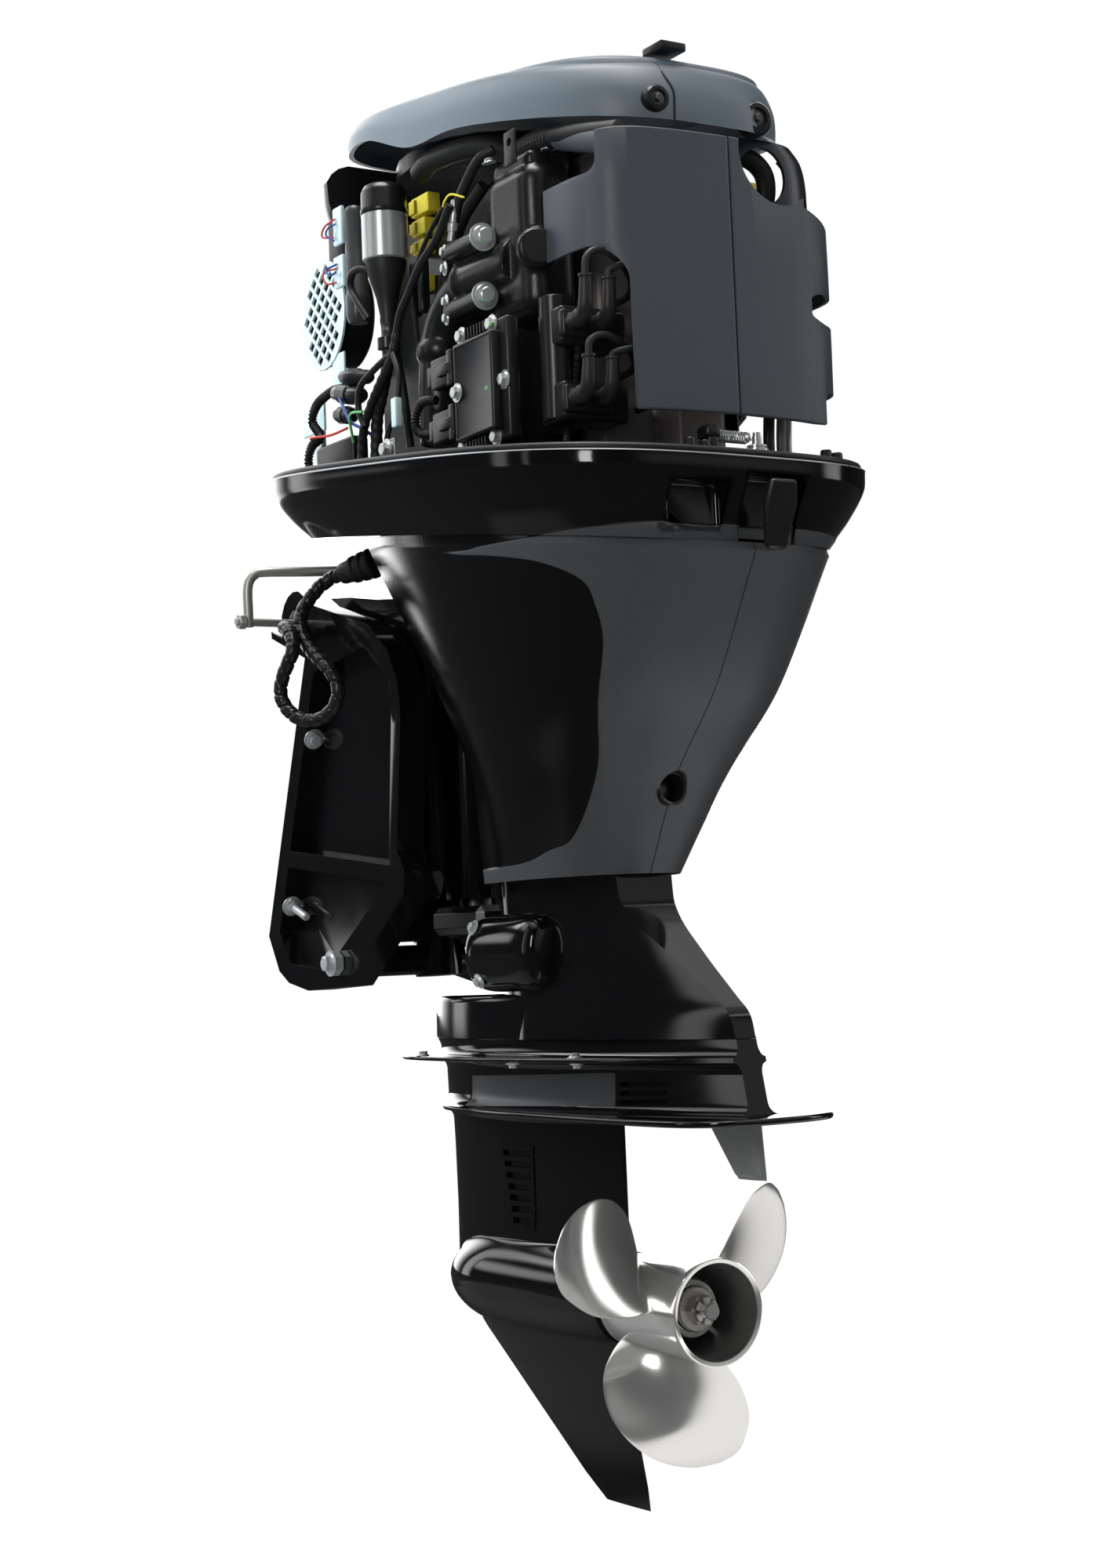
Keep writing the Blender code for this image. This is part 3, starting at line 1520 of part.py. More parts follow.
def make_cable():
    boot = rod("rigging_boot", "rubber", (0.115, -0.095, 0.102), (0.072, -0.117, 0.0935), 0.0180, 16, 0.0125)
    path = smooth_path(CABLE_ROUTE, 1)
    print("harness cable: least gap to itself", round(1000 * least_self_gap(path, CABLE_R, 6), 2), "mm")
    return boot, tube("harness_cable", "rubber", path, CABLE_R, 2)


def build():
    gearcase = make_gearcase()
    trim_tab = make_trim_tab()
    carrier = make_bearing_carrier()
    prop_shaft = make_prop_shaft()
    forward_gear = bevel_gear("forward_gear", 1)
    reverse_gear = bevel_gear("reverse_gear", -1)
    pinion = make_pinion()
    dog = make_clutch_dog()
    drive_shaft = make_drive_shaft()
    shift_shaft = make_shift_shaft()
    pump_housing, impeller = make_water_pump()
    propeller = make_propeller()
    prop_fittings = make_prop_fittings()
    housing = make_exhaust_housing()
    mounts = [make_lower_mount("lower_mount_port", -1), make_lower_mount("lower_mount_starboard", 1)]
    aprons = [make_apron("apron_port", -1), make_apron("apron_starboard", 1)]
    lower_cowl = make_lower_cowl()
    cowl_seal = make_cowl_seal()
    latch_lever = make_latch()
    latch_spring = make_latch_spring()
    for side, label in ((-1, "port"), (1, "starboard")):
        make_clamp_bracket(f"clamp_bracket_{label}", side)
    make_tilt_tube()
    make_cross_shaft()
    trim_unit = make_trim_unit()
    tilt_ram = make_tilt_ram()
    swivel = make_swivel_bracket()
    support = make_tilt_support()
    steering = make_steering()
    drag_link = make_drag_link()
    block = make_engine_block()
    head = make_head()
    crankshaft, flywheel = make_crank_train()
    top_cover = make_top_cover()
    eye = make_lifting_eye()
    rear = [make_rear_cover("rear_cover_port", -1), make_rear_cover("rear_cover_starboard", 1)]
    side_moulding = make_side_moulding()
    casting = make_port_casting()
    module = make_module()
    coils = [
        make_coil("ignition_coil_upper", COIL_HIGH_Z, 0.040),
        make_coil("ignition_coil_lower", COIL_LOW_Z, 0.036),
    ]
    leads = [
        make_plug_lead("plug_lead_1", TOWER_FORE_Y, 0.3024, 0.3275, 0.300),
        make_plug_lead("plug_lead_2", TOWER_AFT_Y, 0.3024, 0.3145, 0.270),
        make_plug_lead("plug_lead_3", TOWER_FORE_Y, 0.2214, 0.2415, 0.222),
        make_plug_lead("plug_lead_4", TOWER_AFT_Y, 0.2214, 0.2285, 0.192),
    ]
    starter = make_starter()
    grille = make_grille_guard()
    front = make_front_fittings()
    plenum = make_plenum()
    boot, cable = make_cable()

    tilt = pivot("tilt_axis", (TILT_X, 0.0, TILT_Z))
    steer = pivot("steer_axis", (STEER_X, 0.0, 0.0))
    prop = pivot("propeller_axis", (HUB_END_X, 0.0, PROP_Z))
    crank = pivot("crank_axis", (DRIVE_X, 0.0, 0.0))
    shift = pivot("shift_axis", (SHIFT_X, 0.0, 0.0))
    trim = pivot("trim_axis", (TRIM_X, 0.0, TRIM_Z))
    latch = pivot("latch_axis", (LATCH_X, LATCH_Y, LATCH_Z))
    tab = pivot("trim_tab_axis", (TAB_X, 0.0, PLATE_Z))
    lever = pivot("tilt_support_axis", (SUPPORT_X, SUPPORT_Y, SUPPORT_Z))
    carry(tilt, swivel, drag_link, cable, steer, lever)
    carry(lever, support)
    carry(trim, trim_unit, tilt_ram)
    carry(steer, steering, gearcase, carrier, pump_housing, housing, *mounts, *aprons)
    carry(steer, lower_cowl, cowl_seal, latch_spring, block, head)
    carry(steer, top_cover, eye, *rear, side_moulding, casting, module, *coils, *leads)
    carry(steer, starter, grille, *front, plenum, boot)
    carry(steer, prop, crank, shift, latch, tab)
    carry(prop, propeller, *prop_fittings, prop_shaft, forward_gear, reverse_gear, dog)
    carry(crank, crankshaft, flywheel, drive_shaft, pinion, impeller)
    carry(shift, shift_shaft)
    carry(latch, latch_lever)
    carry(tab, trim_tab)


def shade_round_pieces():
    for obj in PARTS.objects:
        if obj.type == "MESH":
            obj.data.shade_smooth()
            obj.data.set_sharp_from_angle(angle=math.radians(38))


build()
shade_round_pieces()
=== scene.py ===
# %% [markdown]
# # An outboard motor with its top cowl off
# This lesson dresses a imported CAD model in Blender. The CAD gives the true sizes, the joints and the
# bodies; here each visible piece gets its final surface and finish, and rides on the body that moves it.
# Everything is in metres: +X points aft, +Y to starboard and +Z up.

# %% Load the fixed frame
import json
import math

import bmesh
import bpy
import numpy as np
from mathutils import Matrix, Vector


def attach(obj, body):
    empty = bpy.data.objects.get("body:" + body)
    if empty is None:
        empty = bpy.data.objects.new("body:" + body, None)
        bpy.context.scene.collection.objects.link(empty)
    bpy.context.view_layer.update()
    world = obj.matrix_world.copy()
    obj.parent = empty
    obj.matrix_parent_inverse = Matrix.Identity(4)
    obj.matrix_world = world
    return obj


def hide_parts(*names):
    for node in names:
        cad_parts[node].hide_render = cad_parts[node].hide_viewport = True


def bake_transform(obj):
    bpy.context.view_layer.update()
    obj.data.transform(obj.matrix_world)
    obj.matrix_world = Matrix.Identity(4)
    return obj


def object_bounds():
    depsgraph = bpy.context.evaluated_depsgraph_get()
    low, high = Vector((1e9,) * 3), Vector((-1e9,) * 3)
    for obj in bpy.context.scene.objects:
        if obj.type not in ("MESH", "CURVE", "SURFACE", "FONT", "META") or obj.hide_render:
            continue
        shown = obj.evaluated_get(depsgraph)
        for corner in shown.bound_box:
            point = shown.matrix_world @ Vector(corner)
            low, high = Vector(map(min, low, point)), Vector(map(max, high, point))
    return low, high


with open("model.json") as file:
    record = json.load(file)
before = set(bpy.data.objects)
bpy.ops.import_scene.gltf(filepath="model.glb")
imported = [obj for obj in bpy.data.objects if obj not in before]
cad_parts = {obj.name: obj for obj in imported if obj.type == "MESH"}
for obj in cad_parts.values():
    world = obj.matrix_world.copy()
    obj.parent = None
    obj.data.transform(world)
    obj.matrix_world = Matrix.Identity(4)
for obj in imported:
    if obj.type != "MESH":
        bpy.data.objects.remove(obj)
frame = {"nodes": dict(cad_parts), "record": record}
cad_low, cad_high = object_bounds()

# %% [markdown]
# ## Camera
# The photograph was taken low, from the port quarter, with a short telephoto lens. A camera is easiest to
# repeat when its three directions are written down as they were fitted, so they become matrix columns.

# %% Camera
CAMERA_PLACE = Vector((2.816, -1.543, -0.369))
CAMERA_RIGHT = Vector((0.5287, 0.8478, -0.0418))
CAMERA_UP = Vector((0.0768, 0.0012, 0.9970))
CAMERA_BACK = Vector((0.8453, -0.5304, -0.0645))

camera_data = bpy.data.cameras.new("camera")
camera_data.lens = 59.4
camera_data.sensor_width = 36.0
camera = bpy.data.objects.new("camera", camera_data)
bpy.context.scene.collection.objects.link(camera)
turn = Matrix((CAMERA_RIGHT, CAMERA_UP, CAMERA_BACK)).transposed().to_4x4()
camera.matrix_world = Matrix.Translation(CAMERA_PLACE) @ turn
bpy.context.scene.camera = camera
bpy.context.scene.view_settings.view_transform = "Standard"
print("camera at", tuple(round(c, 3) for c in CAMERA_PLACE))

# %% [markdown]
# ## Studio
# Gloss black shows nothing but its surroundings, so the studio matters as much as the paint. The world is
# white to the camera. Mirrors and gloss see soft white boxes between darker walls, which gives the long
# streaks on the real paint. The floor is white as well and keeps a faint shadow.


# %% World, floor and lamps
def link(tree, source, target):
    tree.links.new(source, target)


def window(tree, value, low, high, soft):
    """1 where a value is between low and high, with soft ends."""
    rise = tree.nodes.new("ShaderNodeMapRange")
    rise.interpolation_type = "SMOOTHSTEP"
    rise.inputs["From Min"].default_value = low - soft
    rise.inputs["From Max"].default_value = low + soft
    link(tree, value, rise.inputs["Value"])
    fall = tree.nodes.new("ShaderNodeMapRange")
    fall.interpolation_type = "SMOOTHSTEP"
    fall.inputs["From Min"].default_value = high + soft
    fall.inputs["From Max"].default_value = high - soft
    link(tree, value, fall.inputs["Value"])
    return multiplied(tree, rise.outputs["Result"], fall.outputs["Result"])


def multiplied(tree, first, second):
    product = tree.nodes.new("ShaderNodeMath")
    product.operation = "MULTIPLY"
    link(tree, first, product.inputs[0])
    if isinstance(second, float):
        product.inputs[1].default_value = second
    else:
        link(tree, second, product.inputs[1])
    return product.outputs[0]


def around(tree, azimuth):
    """Degrees round from an azimuth, 0 at it and growing to both sides."""
    coords = tree.nodes.new("ShaderNodeTexCoord")
    flat = tree.nodes.new("ShaderNodeVectorMath")
    flat.operation = "MULTIPLY"
    flat.inputs[1].default_value = (1.0, 1.0, 0.0)
    link(tree, coords.outputs["Generated"], flat.inputs[0])
    unit = tree.nodes.new("ShaderNodeVectorMath")
    unit.operation = "NORMALIZE"
    link(tree, flat.outputs["Vector"], unit.inputs[0])
    dot = tree.nodes.new("ShaderNodeVectorMath")
    dot.operation = "DOT_PRODUCT"
    dot.inputs[1].default_value = (math.cos(math.radians(azimuth)), math.sin(math.radians(azimuth)), 0.0)
    link(tree, unit.outputs["Vector"], dot.inputs[0])
    angle = tree.nodes.new("ShaderNodeMath")
    angle.operation = "ARCCOSINE"
    link(tree, dot.outputs["Value"], angle.inputs[0])
    return multiplied(tree, angle.outputs[0], math.degrees(1.0))


def height(tree):
    """Degrees above the horizon."""
    coords = tree.nodes.new("ShaderNodeTexCoord")
    split = tree.nodes.new("ShaderNodeSeparateXYZ")
    link(tree, coords.outputs["Generated"], split.inputs["Vector"])
    angle = tree.nodes.new("ShaderNodeMath")
    angle.operation = "ARCSINE"
    link(tree, split.outputs["Z"], angle.inputs[0])
    return multiplied(tree, angle.outputs[0], math.degrees(1.0))


def add_values(tree, first, second):
    total = tree.nodes.new("ShaderNodeMath")
    total.operation = "ADD"
    link(tree, first, total.inputs[0])
    link(tree, second, total.inputs[1])
    return total.outputs[0]


def brightest(tree, first, second):
    larger = tree.nodes.new("ShaderNodeMath")
    larger.operation = "MAXIMUM"
    link(tree, first, larger.inputs[0])
    link(tree, second, larger.inputs[1])
    return larger.outputs[0]


# Azimuth, half width, lowest and highest elevation, softness, all in degrees, and brightness
SOFT_BOXES = (
    (-113.0, 3.0, -5.0, 45.0, 1.5, 1.5),
    (-100.0, 1.5, -5.0, 45.0, 1.0, 0.9),
    (66.0, 7.0, -5.0, 50.0, 3.0, 2.2),
    (15.0, 35.0, 5.0, 50.0, 12.0, 0.36),
    (-138.0, 14.0, 34.0, 52.0, 5.0, 2.0),
    (-153.0, 6.0, 11.0, 20.0, 3.0, 2.0),
    (113.0, 12.0, 46.0, 58.0, 5.0, 0.8),
    (-157.0, 7.0, 29.0, 46.0, 3.0, 5.0),
    (158.0, 24.0, -5.0, 40.0, 8.0, 3.6),
    (-164.0, 4.0, -5.0, 35.0, 2.0, 1.8),
    (0.0, 181.0, 58.0, 95.0, 12.0, 1.6),
)
WALL_GLOW = 0.02
ROOM_LIGHT = 0.45


def studio_world():
    world = bpy.data.worlds.new("studio")
    bpy.context.scene.world = world
    world.use_nodes = True
    tree = world.node_tree
    tree.nodes.clear()
    output = tree.nodes.new("ShaderNodeOutputWorld")
    path = tree.nodes.new("ShaderNodeLightPath")
    white = tree.nodes.new("ShaderNodeBackground")
    white.inputs["Color"].default_value = (1.0, 1.0, 1.0, 1.0)
    room = tree.nodes.new("ShaderNodeBackground")
    room.inputs["Color"].default_value = (0.86, 0.93, 1.0, 1.0)
    room.inputs["Strength"].default_value = ROOM_LIGHT
    rise = height(tree)
    boxes = None
    for azimuth, half, low, high, soft, bright in SOFT_BOXES:
        wide = window(tree, around(tree, azimuth), -half, half, soft)
        lit = multiplied(tree, multiplied(tree, wide, window(tree, rise, low, high, soft)), bright)
        boxes = lit if boxes is None else brightest(tree, boxes, lit)
    walls = tree.nodes.new("ShaderNodeMath")
    walls.operation = "ADD"
    walls.inputs[1].default_value = WALL_GLOW
    link(tree, boxes, walls.inputs[0])
    gap = multiplied(tree, path.outputs["Is Glossy Ray"], walls.outputs[0])
    strength = brightest(tree, path.outputs["Is Camera Ray"], gap)
    strength = brightest(tree, strength, path.outputs["Is Transmission Ray"])
    link(tree, strength, white.inputs["Strength"])
    seen = add_values(tree, path.outputs["Is Camera Ray"], path.outputs["Is Glossy Ray"])
    seen = add_values(tree, seen, path.outputs["Is Transmission Ray"])
    mix = tree.nodes.new("ShaderNodeMixShader")
    link(tree, seen, mix.inputs[0])
    link(tree, room.outputs[0], mix.inputs[1])
    link(tree, white.outputs[0], mix.inputs[2])
    link(tree, mix.outputs[0], output.inputs["Surface"])


FLOOR_REACH = 40.0
FLOOR_WHITE = 0.95
FLOOR_GLOW = 1.03
FLOOR_IN_GLOSS = 0.05
# Brighter parts of the floor for gloss: lowest and highest x, lowest and highest y, and brightness
FLOOR_PATCHES = ((0.52, 1.30, -0.30, 1.50, 1.02), (-0.90, 0.25, -1.00, -0.03, 0.20))
PATCH_SOFT = 0.18


def studio_floor():
    mesh = bpy.data.meshes.new("floor")
    z = cad_low.z - 0.002
    corners = [(x * FLOOR_REACH, y * FLOOR_REACH, z) for x, y in ((-1, -1), (1, -1), (1, 1), (-1, 1))]
    mesh.from_pydata(corners, [], [(0, 1, 2, 3)])
    floor = bpy.data.objects.new("floor", mesh)
    bpy.context.scene.collection.objects.link(floor)
    paint = bpy.data.materials.new("floor_white")
    paint.use_nodes = True
    tree = paint.node_tree
    tree.nodes.clear()
    output = tree.nodes.new("ShaderNodeOutputMaterial")
    path = tree.nodes.new("ShaderNodeLightPath")
    matt = tree.nodes.new("ShaderNodeBsdfDiffuse")
    matt.inputs["Color"].default_value = (0.8, 0.8, 0.8, 1.0)
    glow = tree.nodes.new("ShaderNodeEmission")
    glow.inputs["Strength"].default_value = FLOOR_GLOW
    share = multiplied(tree, path.outputs["Is Camera Ray"], FLOOR_WHITE)
    mix = tree.nodes.new("ShaderNodeMixShader")
    link(tree, share, mix.inputs[0])
    link(tree, matt.outputs[0], mix.inputs[1])
    link(tree, glow.outputs[0], mix.inputs[2])
    coords = tree.nodes.new("ShaderNodeTexCoord")
    split = tree.nodes.new("ShaderNodeSeparateXYZ")
    link(tree, coords.outputs["Object"], split.inputs["Vector"])
    base = tree.nodes.new("ShaderNodeValue")
    base.outputs[0].default_value = FLOOR_IN_GLOSS
    mirrored = base.outputs[0]
    for low_x, high_x, low_y, high_y, bright in FLOOR_PATCHES:
        along = window(tree, split.outputs["X"], low_x, high_x, PATCH_SOFT)
        across = window(tree, split.outputs["Y"], low_y, high_y, PATCH_SOFT)
        patch = multiplied(tree, multiplied(tree, along, across), bright)
        mirrored = brightest(tree, mirrored, patch)
    dark = tree.nodes.new("ShaderNodeEmission")
    link(tree, mirrored, dark.inputs["Strength"])
    gloss = tree.nodes.new("ShaderNodeMixShader")
    link(tree, path.outputs["Is Glossy Ray"], gloss.inputs[0])
    link(tree, mix.outputs[0], gloss.inputs[1])
    link(tree, dark.outputs[0], gloss.inputs[2])
    link(tree, gloss.outputs[0], output.inputs["Surface"])
    mesh.materials.append(paint)


def lamp(name, place, aim, width, height, watts, colour=(1.0, 1.0, 1.0), mirrored=True):
    data = bpy.data.lights.new(name, "AREA")
    data.shape = "RECTANGLE"
    data.size = width
    data.size_y = height
    data.energy = watts
    data.color = colour
    made = bpy.data.objects.new(name, data)
    made.location = place
    made.rotation_euler = (Vector(aim) - Vector(place)).to_track_quat("-Z", "Y").to_euler()
    made.visible_glossy = mirrored
    bpy.context.scene.collection.objects.link(made)


studio_world()
studio_floor()
lamp("window", (-2.6, -2.6, 1.5), (0.2, 0.0, 0.35), 1.4, 2.2, 285, (0.86, 0.94, 1.0), mirrored=False)
lamp("quarter", (3.0, 2.6, 1.2), (0.3, 0.0, -0.2), 0.5, 2.4, 22, mirrored=False)
lamp("ceiling", (0.5, -0.5, 3.2), (0.35, 0.0, 0.0), 2.0, 1.4, 78)
lamp("front", (2.2, -3.0, 0.9), (0.35, 0.0, 0.1), 0.5, 1.4, 26)
print("studio: 4 lamps, white world, white floor")

# %% [markdown]
# ## Shapes from rings, sweeps and copies
# Most pieces of a motor are lofts, tubes or castings. Three helpers cover them: a loft through rings of
# points, a tube swept along a path, and a softened copy of a CAD node, whose loose triangles are merged and
# whose edges are rounded as a mould or a sander would round them.


# %% Mesh helpers
SMOOTH_ANGLE = math.radians(35)


def piece(name, points, faces, finish, smooth=True):
    mesh = bpy.data.meshes.new(name)
    mesh.from_pydata([tuple(p) for p in points], [], faces)
    return dressed(name, mesh, finish, smooth)


def dressed(name, mesh, finish, smooth=True):
    mesh.materials.clear()
    mesh.materials.append(finish)
    if smooth:
        mesh.shade_smooth()
        mesh.set_sharp_from_angle(angle=SMOOTH_ANGLE)
    made = bpy.data.objects.new(name, mesh)
    bpy.context.scene.collection.objects.link(made)
    return made


def facing_out(mesh):
    bm = bmesh.new()
    bm.from_mesh(mesh)
    bmesh.ops.remove_doubles(bm, verts=bm.verts, dist=0.00001)
    bmesh.ops.recalc_face_normals(bm, faces=bm.faces)
    bm.to_mesh(mesh)
    bm.free()
    return mesh


def ring_faces(rows, count, closed):
    faces = []
    for r in range(rows - 1):
        for i in range(count if closed else count - 1):
            j = (i + 1) % count
            faces.append((r * count + i, r * count + j, (r + 1) * count + j, (r + 1) * count + i))
    return faces


def loft(name, rings, finish, closed=True, caps=(True, True)):
    count = len(rings[0])
    points = [p for ring in rings for p in ring]
    faces = ring_faces(len(rings), count, closed)
    if caps[0]:
        faces.append(tuple(reversed(range(count))))
    if caps[1]:
        faces.append(tuple(range(len(points) - count, len(points))))
    mesh = bpy.data.meshes.new(name)
    mesh.from_pydata([tuple(p) for p in points], [], faces)
    return dressed(name, facing_out(mesh), finish)


def smooth_rows(rows, per_span):
    """Rows of numbers with smooth rows added between them, by a Catmull-Rom curve through the given ones."""
    rows = [np.array(row, float) for row in rows]
    rows = [2 * rows[0] - rows[1], *rows, 2 * rows[-1] - rows[-2]]
    path = []
    for before, start, end, after in zip(rows, rows[1:], rows[2:], rows[3:]):
        for i in range(per_span):
            t = i / per_span
            bend = (2 * before - 5 * start + 4 * end - after) * t**2
            twist = (3 * start - before - 3 * end + after) * t**3
            path.append(0.5 * (2 * start + (end - before) * t + bend + twist))
    path.append(rows[-2])
    return path


def smooth_path(route, per_span):
    return [Vector(row) for row in smooth_rows(route, per_span)]


def closed_curve(points, per_span):
    """A smooth closed line through its points."""
    count = len(points)
    path = smooth_rows([*points[-2:], *points, *points[:3]], per_span)
    return path[2 * per_span : (2 + count) * per_span]


def frames_along(path):
    """Two cross directions at each point of a path, carried along it without twist."""
    tangents = []
    for i in range(len(path)):
        step = path[min(i + 1, len(path) - 1)] - path[max(i - 1, 0)]
        tangents.append(step.normalized())
    side = tangents[0].orthogonal().normalized()
    frames = []
    for tangent in tangents:
        side = (side - tangent * side.dot(tangent)).normalized()
        frames.append((side, tangent.cross(side)))
    return frames


def sweep(name, path, radius, finish, sides=14, relief=None):
    """A tube along a path: one radius or one for each point, and a relief by (distance along, angle)."""
    path = [Vector(p) for p in path]
    radii = [radius] * len(path) if isinstance(radius, float) else list(radius)
    rings = []
    along = 0.0
    for i, (place, (across, over), r) in enumerate(zip(path, frames_along(path), radii)):
        along += (place - path[i - 1]).length if i else 0.0
        ring = []
        for k in range(sides):
            t = 2 * math.pi * k / sides
            reach = r + relief(along, t) if relief else r
            ring.append(place + reach * (math.cos(t) * across + math.sin(t) * over))
        rings.append(ring)
    return loft(name, rings, finish)


def slab(name, outline, low, high, finish, edge=0.002, steps=4):
    """A flat plate with rounded edges: outline points (x, y) between two heights."""
    outline = [np.array(p, float) for p in outline]
    count = len(outline)
    inward = []
    for i in range(count):
        run = outline[(i + 1) % count] - outline[i - 1]
        normal = np.array((-run[1], run[0])) / max(np.hypot(*run), 1e-9)
        inward.append(normal)
    area = sum(a[0] * b[1] - b[0] * a[1] for a, b in zip(outline, outline[1:] + outline[:1]))
    sign = 1.0 if area > 0 else -1.0
    levels = []
    for i in range(steps + 1):
        turn = i / steps * math.pi / 2
        levels.append((low + edge * (1 - math.sin(turn)), edge * (1 - math.cos(turn))))
    levels = levels[::-1] + [(low + high - z, inset) for z, inset in levels]
    rings = []
    for z, inset in levels:
        rings.append([(*(p + sign * inset * n), z) for p, n in zip(outline, inward)])
    return loft(name, rings, finish)


def lathe(name, profile, base, axis, finish, sides=40):
    """A solid of revolution: profile points are (distance along the axis, radius)."""
    axis = Vector(axis).normalized()
    across = axis.orthogonal().normalized()
    over = axis.cross(across)
    rings = []
    for along, r in profile:
        turns = [2 * math.pi * k / sides for k in range(sides)]
        centre = Vector(base) + axis * along
        rings.append([centre + max(r, 0.00002) * (math.cos(t) * across + math.sin(t) * over) for t in turns])
    return loft(name, rings, finish)


def block(name, low, high, finish, edge=0.002, segments=3):
    low, high = Vector(low), Vector(high)
    bm = bmesh.new()
    place = Matrix.Translation((low + high) / 2) @ Matrix.Diagonal((*(high - low), 1.0))
    bmesh.ops.create_cube(bm, size=1.0, matrix=place)
    bmesh.ops.bevel(bm, geom=bm.edges[:], offset=edge, segments=segments, profile=0.5, affect="EDGES")
    mesh = bpy.data.meshes.new(name)
    bm.to_mesh(mesh)
    bm.free()
    return dressed(name, mesh, finish)


def baked(obj):
    """The object with its modifiers turned into plain mesh."""
    bpy.context.view_layer.update()
    graph = bpy.context.evaluated_depsgraph_get()
    mesh = bpy.data.meshes.new_from_object(obj.evaluated_get(graph))
    obj.modifiers.clear()
    obj.data = mesh
    return obj


def merged(name, finish, *pieces):
    """Several pieces as one object."""
    bm = bmesh.new()
    for part in pieces:
        bm.from_mesh(part.data)
        bpy.data.objects.remove(part, do_unlink=True)
    mesh = bpy.data.meshes.new(name)
    bm.to_mesh(mesh)
    bm.free()
    return dressed(name, mesh, finish)


def carved(target, *cutters):
    """The target with each cutter taken out of it."""
    for cutter in cutters:
        boolean = target.modifiers.new("cut", "BOOLEAN")
        boolean.operation = "DIFFERENCE"
        boolean.solver = "EXACT"
        boolean.object = cutter
    baked(target)
    for cutter in cutters:
        bpy.data.objects.remove(cutter, do_unlink=True)
    target.data.shade_smooth()
    target.data.set_sharp_from_angle(angle=SMOOTH_ANGLE)
    return target


def cast(name, finish, voxel, passes, *pieces):
    """Overlapping solids melted into one casting with soft inside corners."""
    made = merged(name, finish, *pieces)
    remesh = made.modifiers.new("melt", "REMESH")
    remesh.mode = "VOXEL"
    remesh.voxel_size = voxel
    relax = made.modifiers.new("relax", "SMOOTH")
    relax.iterations = passes
    relax.factor = 0.5
    baked(made)
    made.data.materials.clear()
    made.data.materials.append(finish)
    made.data.shade_smooth()
    return made


def softened(node, finish, edge=0.0015, segments=2):
    """A copy of a CAD node with merged triangles and rounded edges, which stands for that node."""
    mesh = frame["nodes"][node].data.copy()
    bm = bmesh.new()
    bm.from_mesh(mesh)
    bmesh.ops.remove_doubles(bm, verts=bm.verts, dist=0.00001)
    bmesh.ops.dissolve_limit(bm, angle_limit=math.radians(0.5), verts=bm.verts, edges=bm.edges)
    bm.to_mesh(mesh)
    bm.free()
    made = dressed(node + "_body", mesh, finish)
    bevel = made.modifiers.new("rounded", "BEVEL")
    bevel.width = edge
    bevel.segments = segments
    bevel.limit_method = "ANGLE"
    bevel.angle_limit = math.radians(32)
    bevel.harden_normals = True
    baked(made)
    made.data.materials.clear()
    made.data.materials.append(finish)
    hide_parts(node)
    return made


def store(mesh, name, values):
    stored = mesh.attributes.new(name, "FLOAT", "POINT")
    stored.data.foreach_set("value", np.asarray(values, np.float32))


def put(obj, body, stands_for=()):
    """Rides a finished piece on its body and hides the CAD nodes that it stands for."""
    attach(obj, body)
    if stands_for:
        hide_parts(*stands_for)
    return obj


def aimed(place, direction):
    """A matrix whose Z points along a direction, at a place."""
    turned = Vector(direction).to_track_quat("Z", "Y").to_matrix().to_4x4()
    return Matrix.Translation(Vector(place)) @ turned


print("helpers ready")

# %% [markdown]
# ## Bolts by Geometry Nodes
# A motor carries dozens of flange bolts. One node tree builds a bolt from its sizes, puts it on each point of
# a mesh and turns it to the direction stored there, so every row of bolts is only a list of places.


# %% The bolt tree
def tree_input(tree, name, kind, value=None):
    made = tree.interface.new_socket(name, in_out="INPUT", socket_type=kind)
    if value is not None:
        made.default_value = value
    return made


def disc(tree, sides, radius, depth, lift):
    """A flat cylinder of the bolt: radius, depth and lift are shares of the hex radius."""
    made = tree.nodes.new("GeometryNodeMeshCone")
    made.inputs["Vertices"].default_value = sides
    made.inputs["Radius Bottom"].default_value = radius[0]
    made.inputs["Radius Top"].default_value = radius[1]
    made.inputs["Depth"].default_value = depth
    moved = tree.nodes.new("GeometryNodeTransform")
    moved.inputs["Translation"].default_value = (0.0, 0.0, lift)
    link(tree, made.outputs["Mesh"], moved.inputs["Geometry"])
    return moved.outputs["Geometry"]


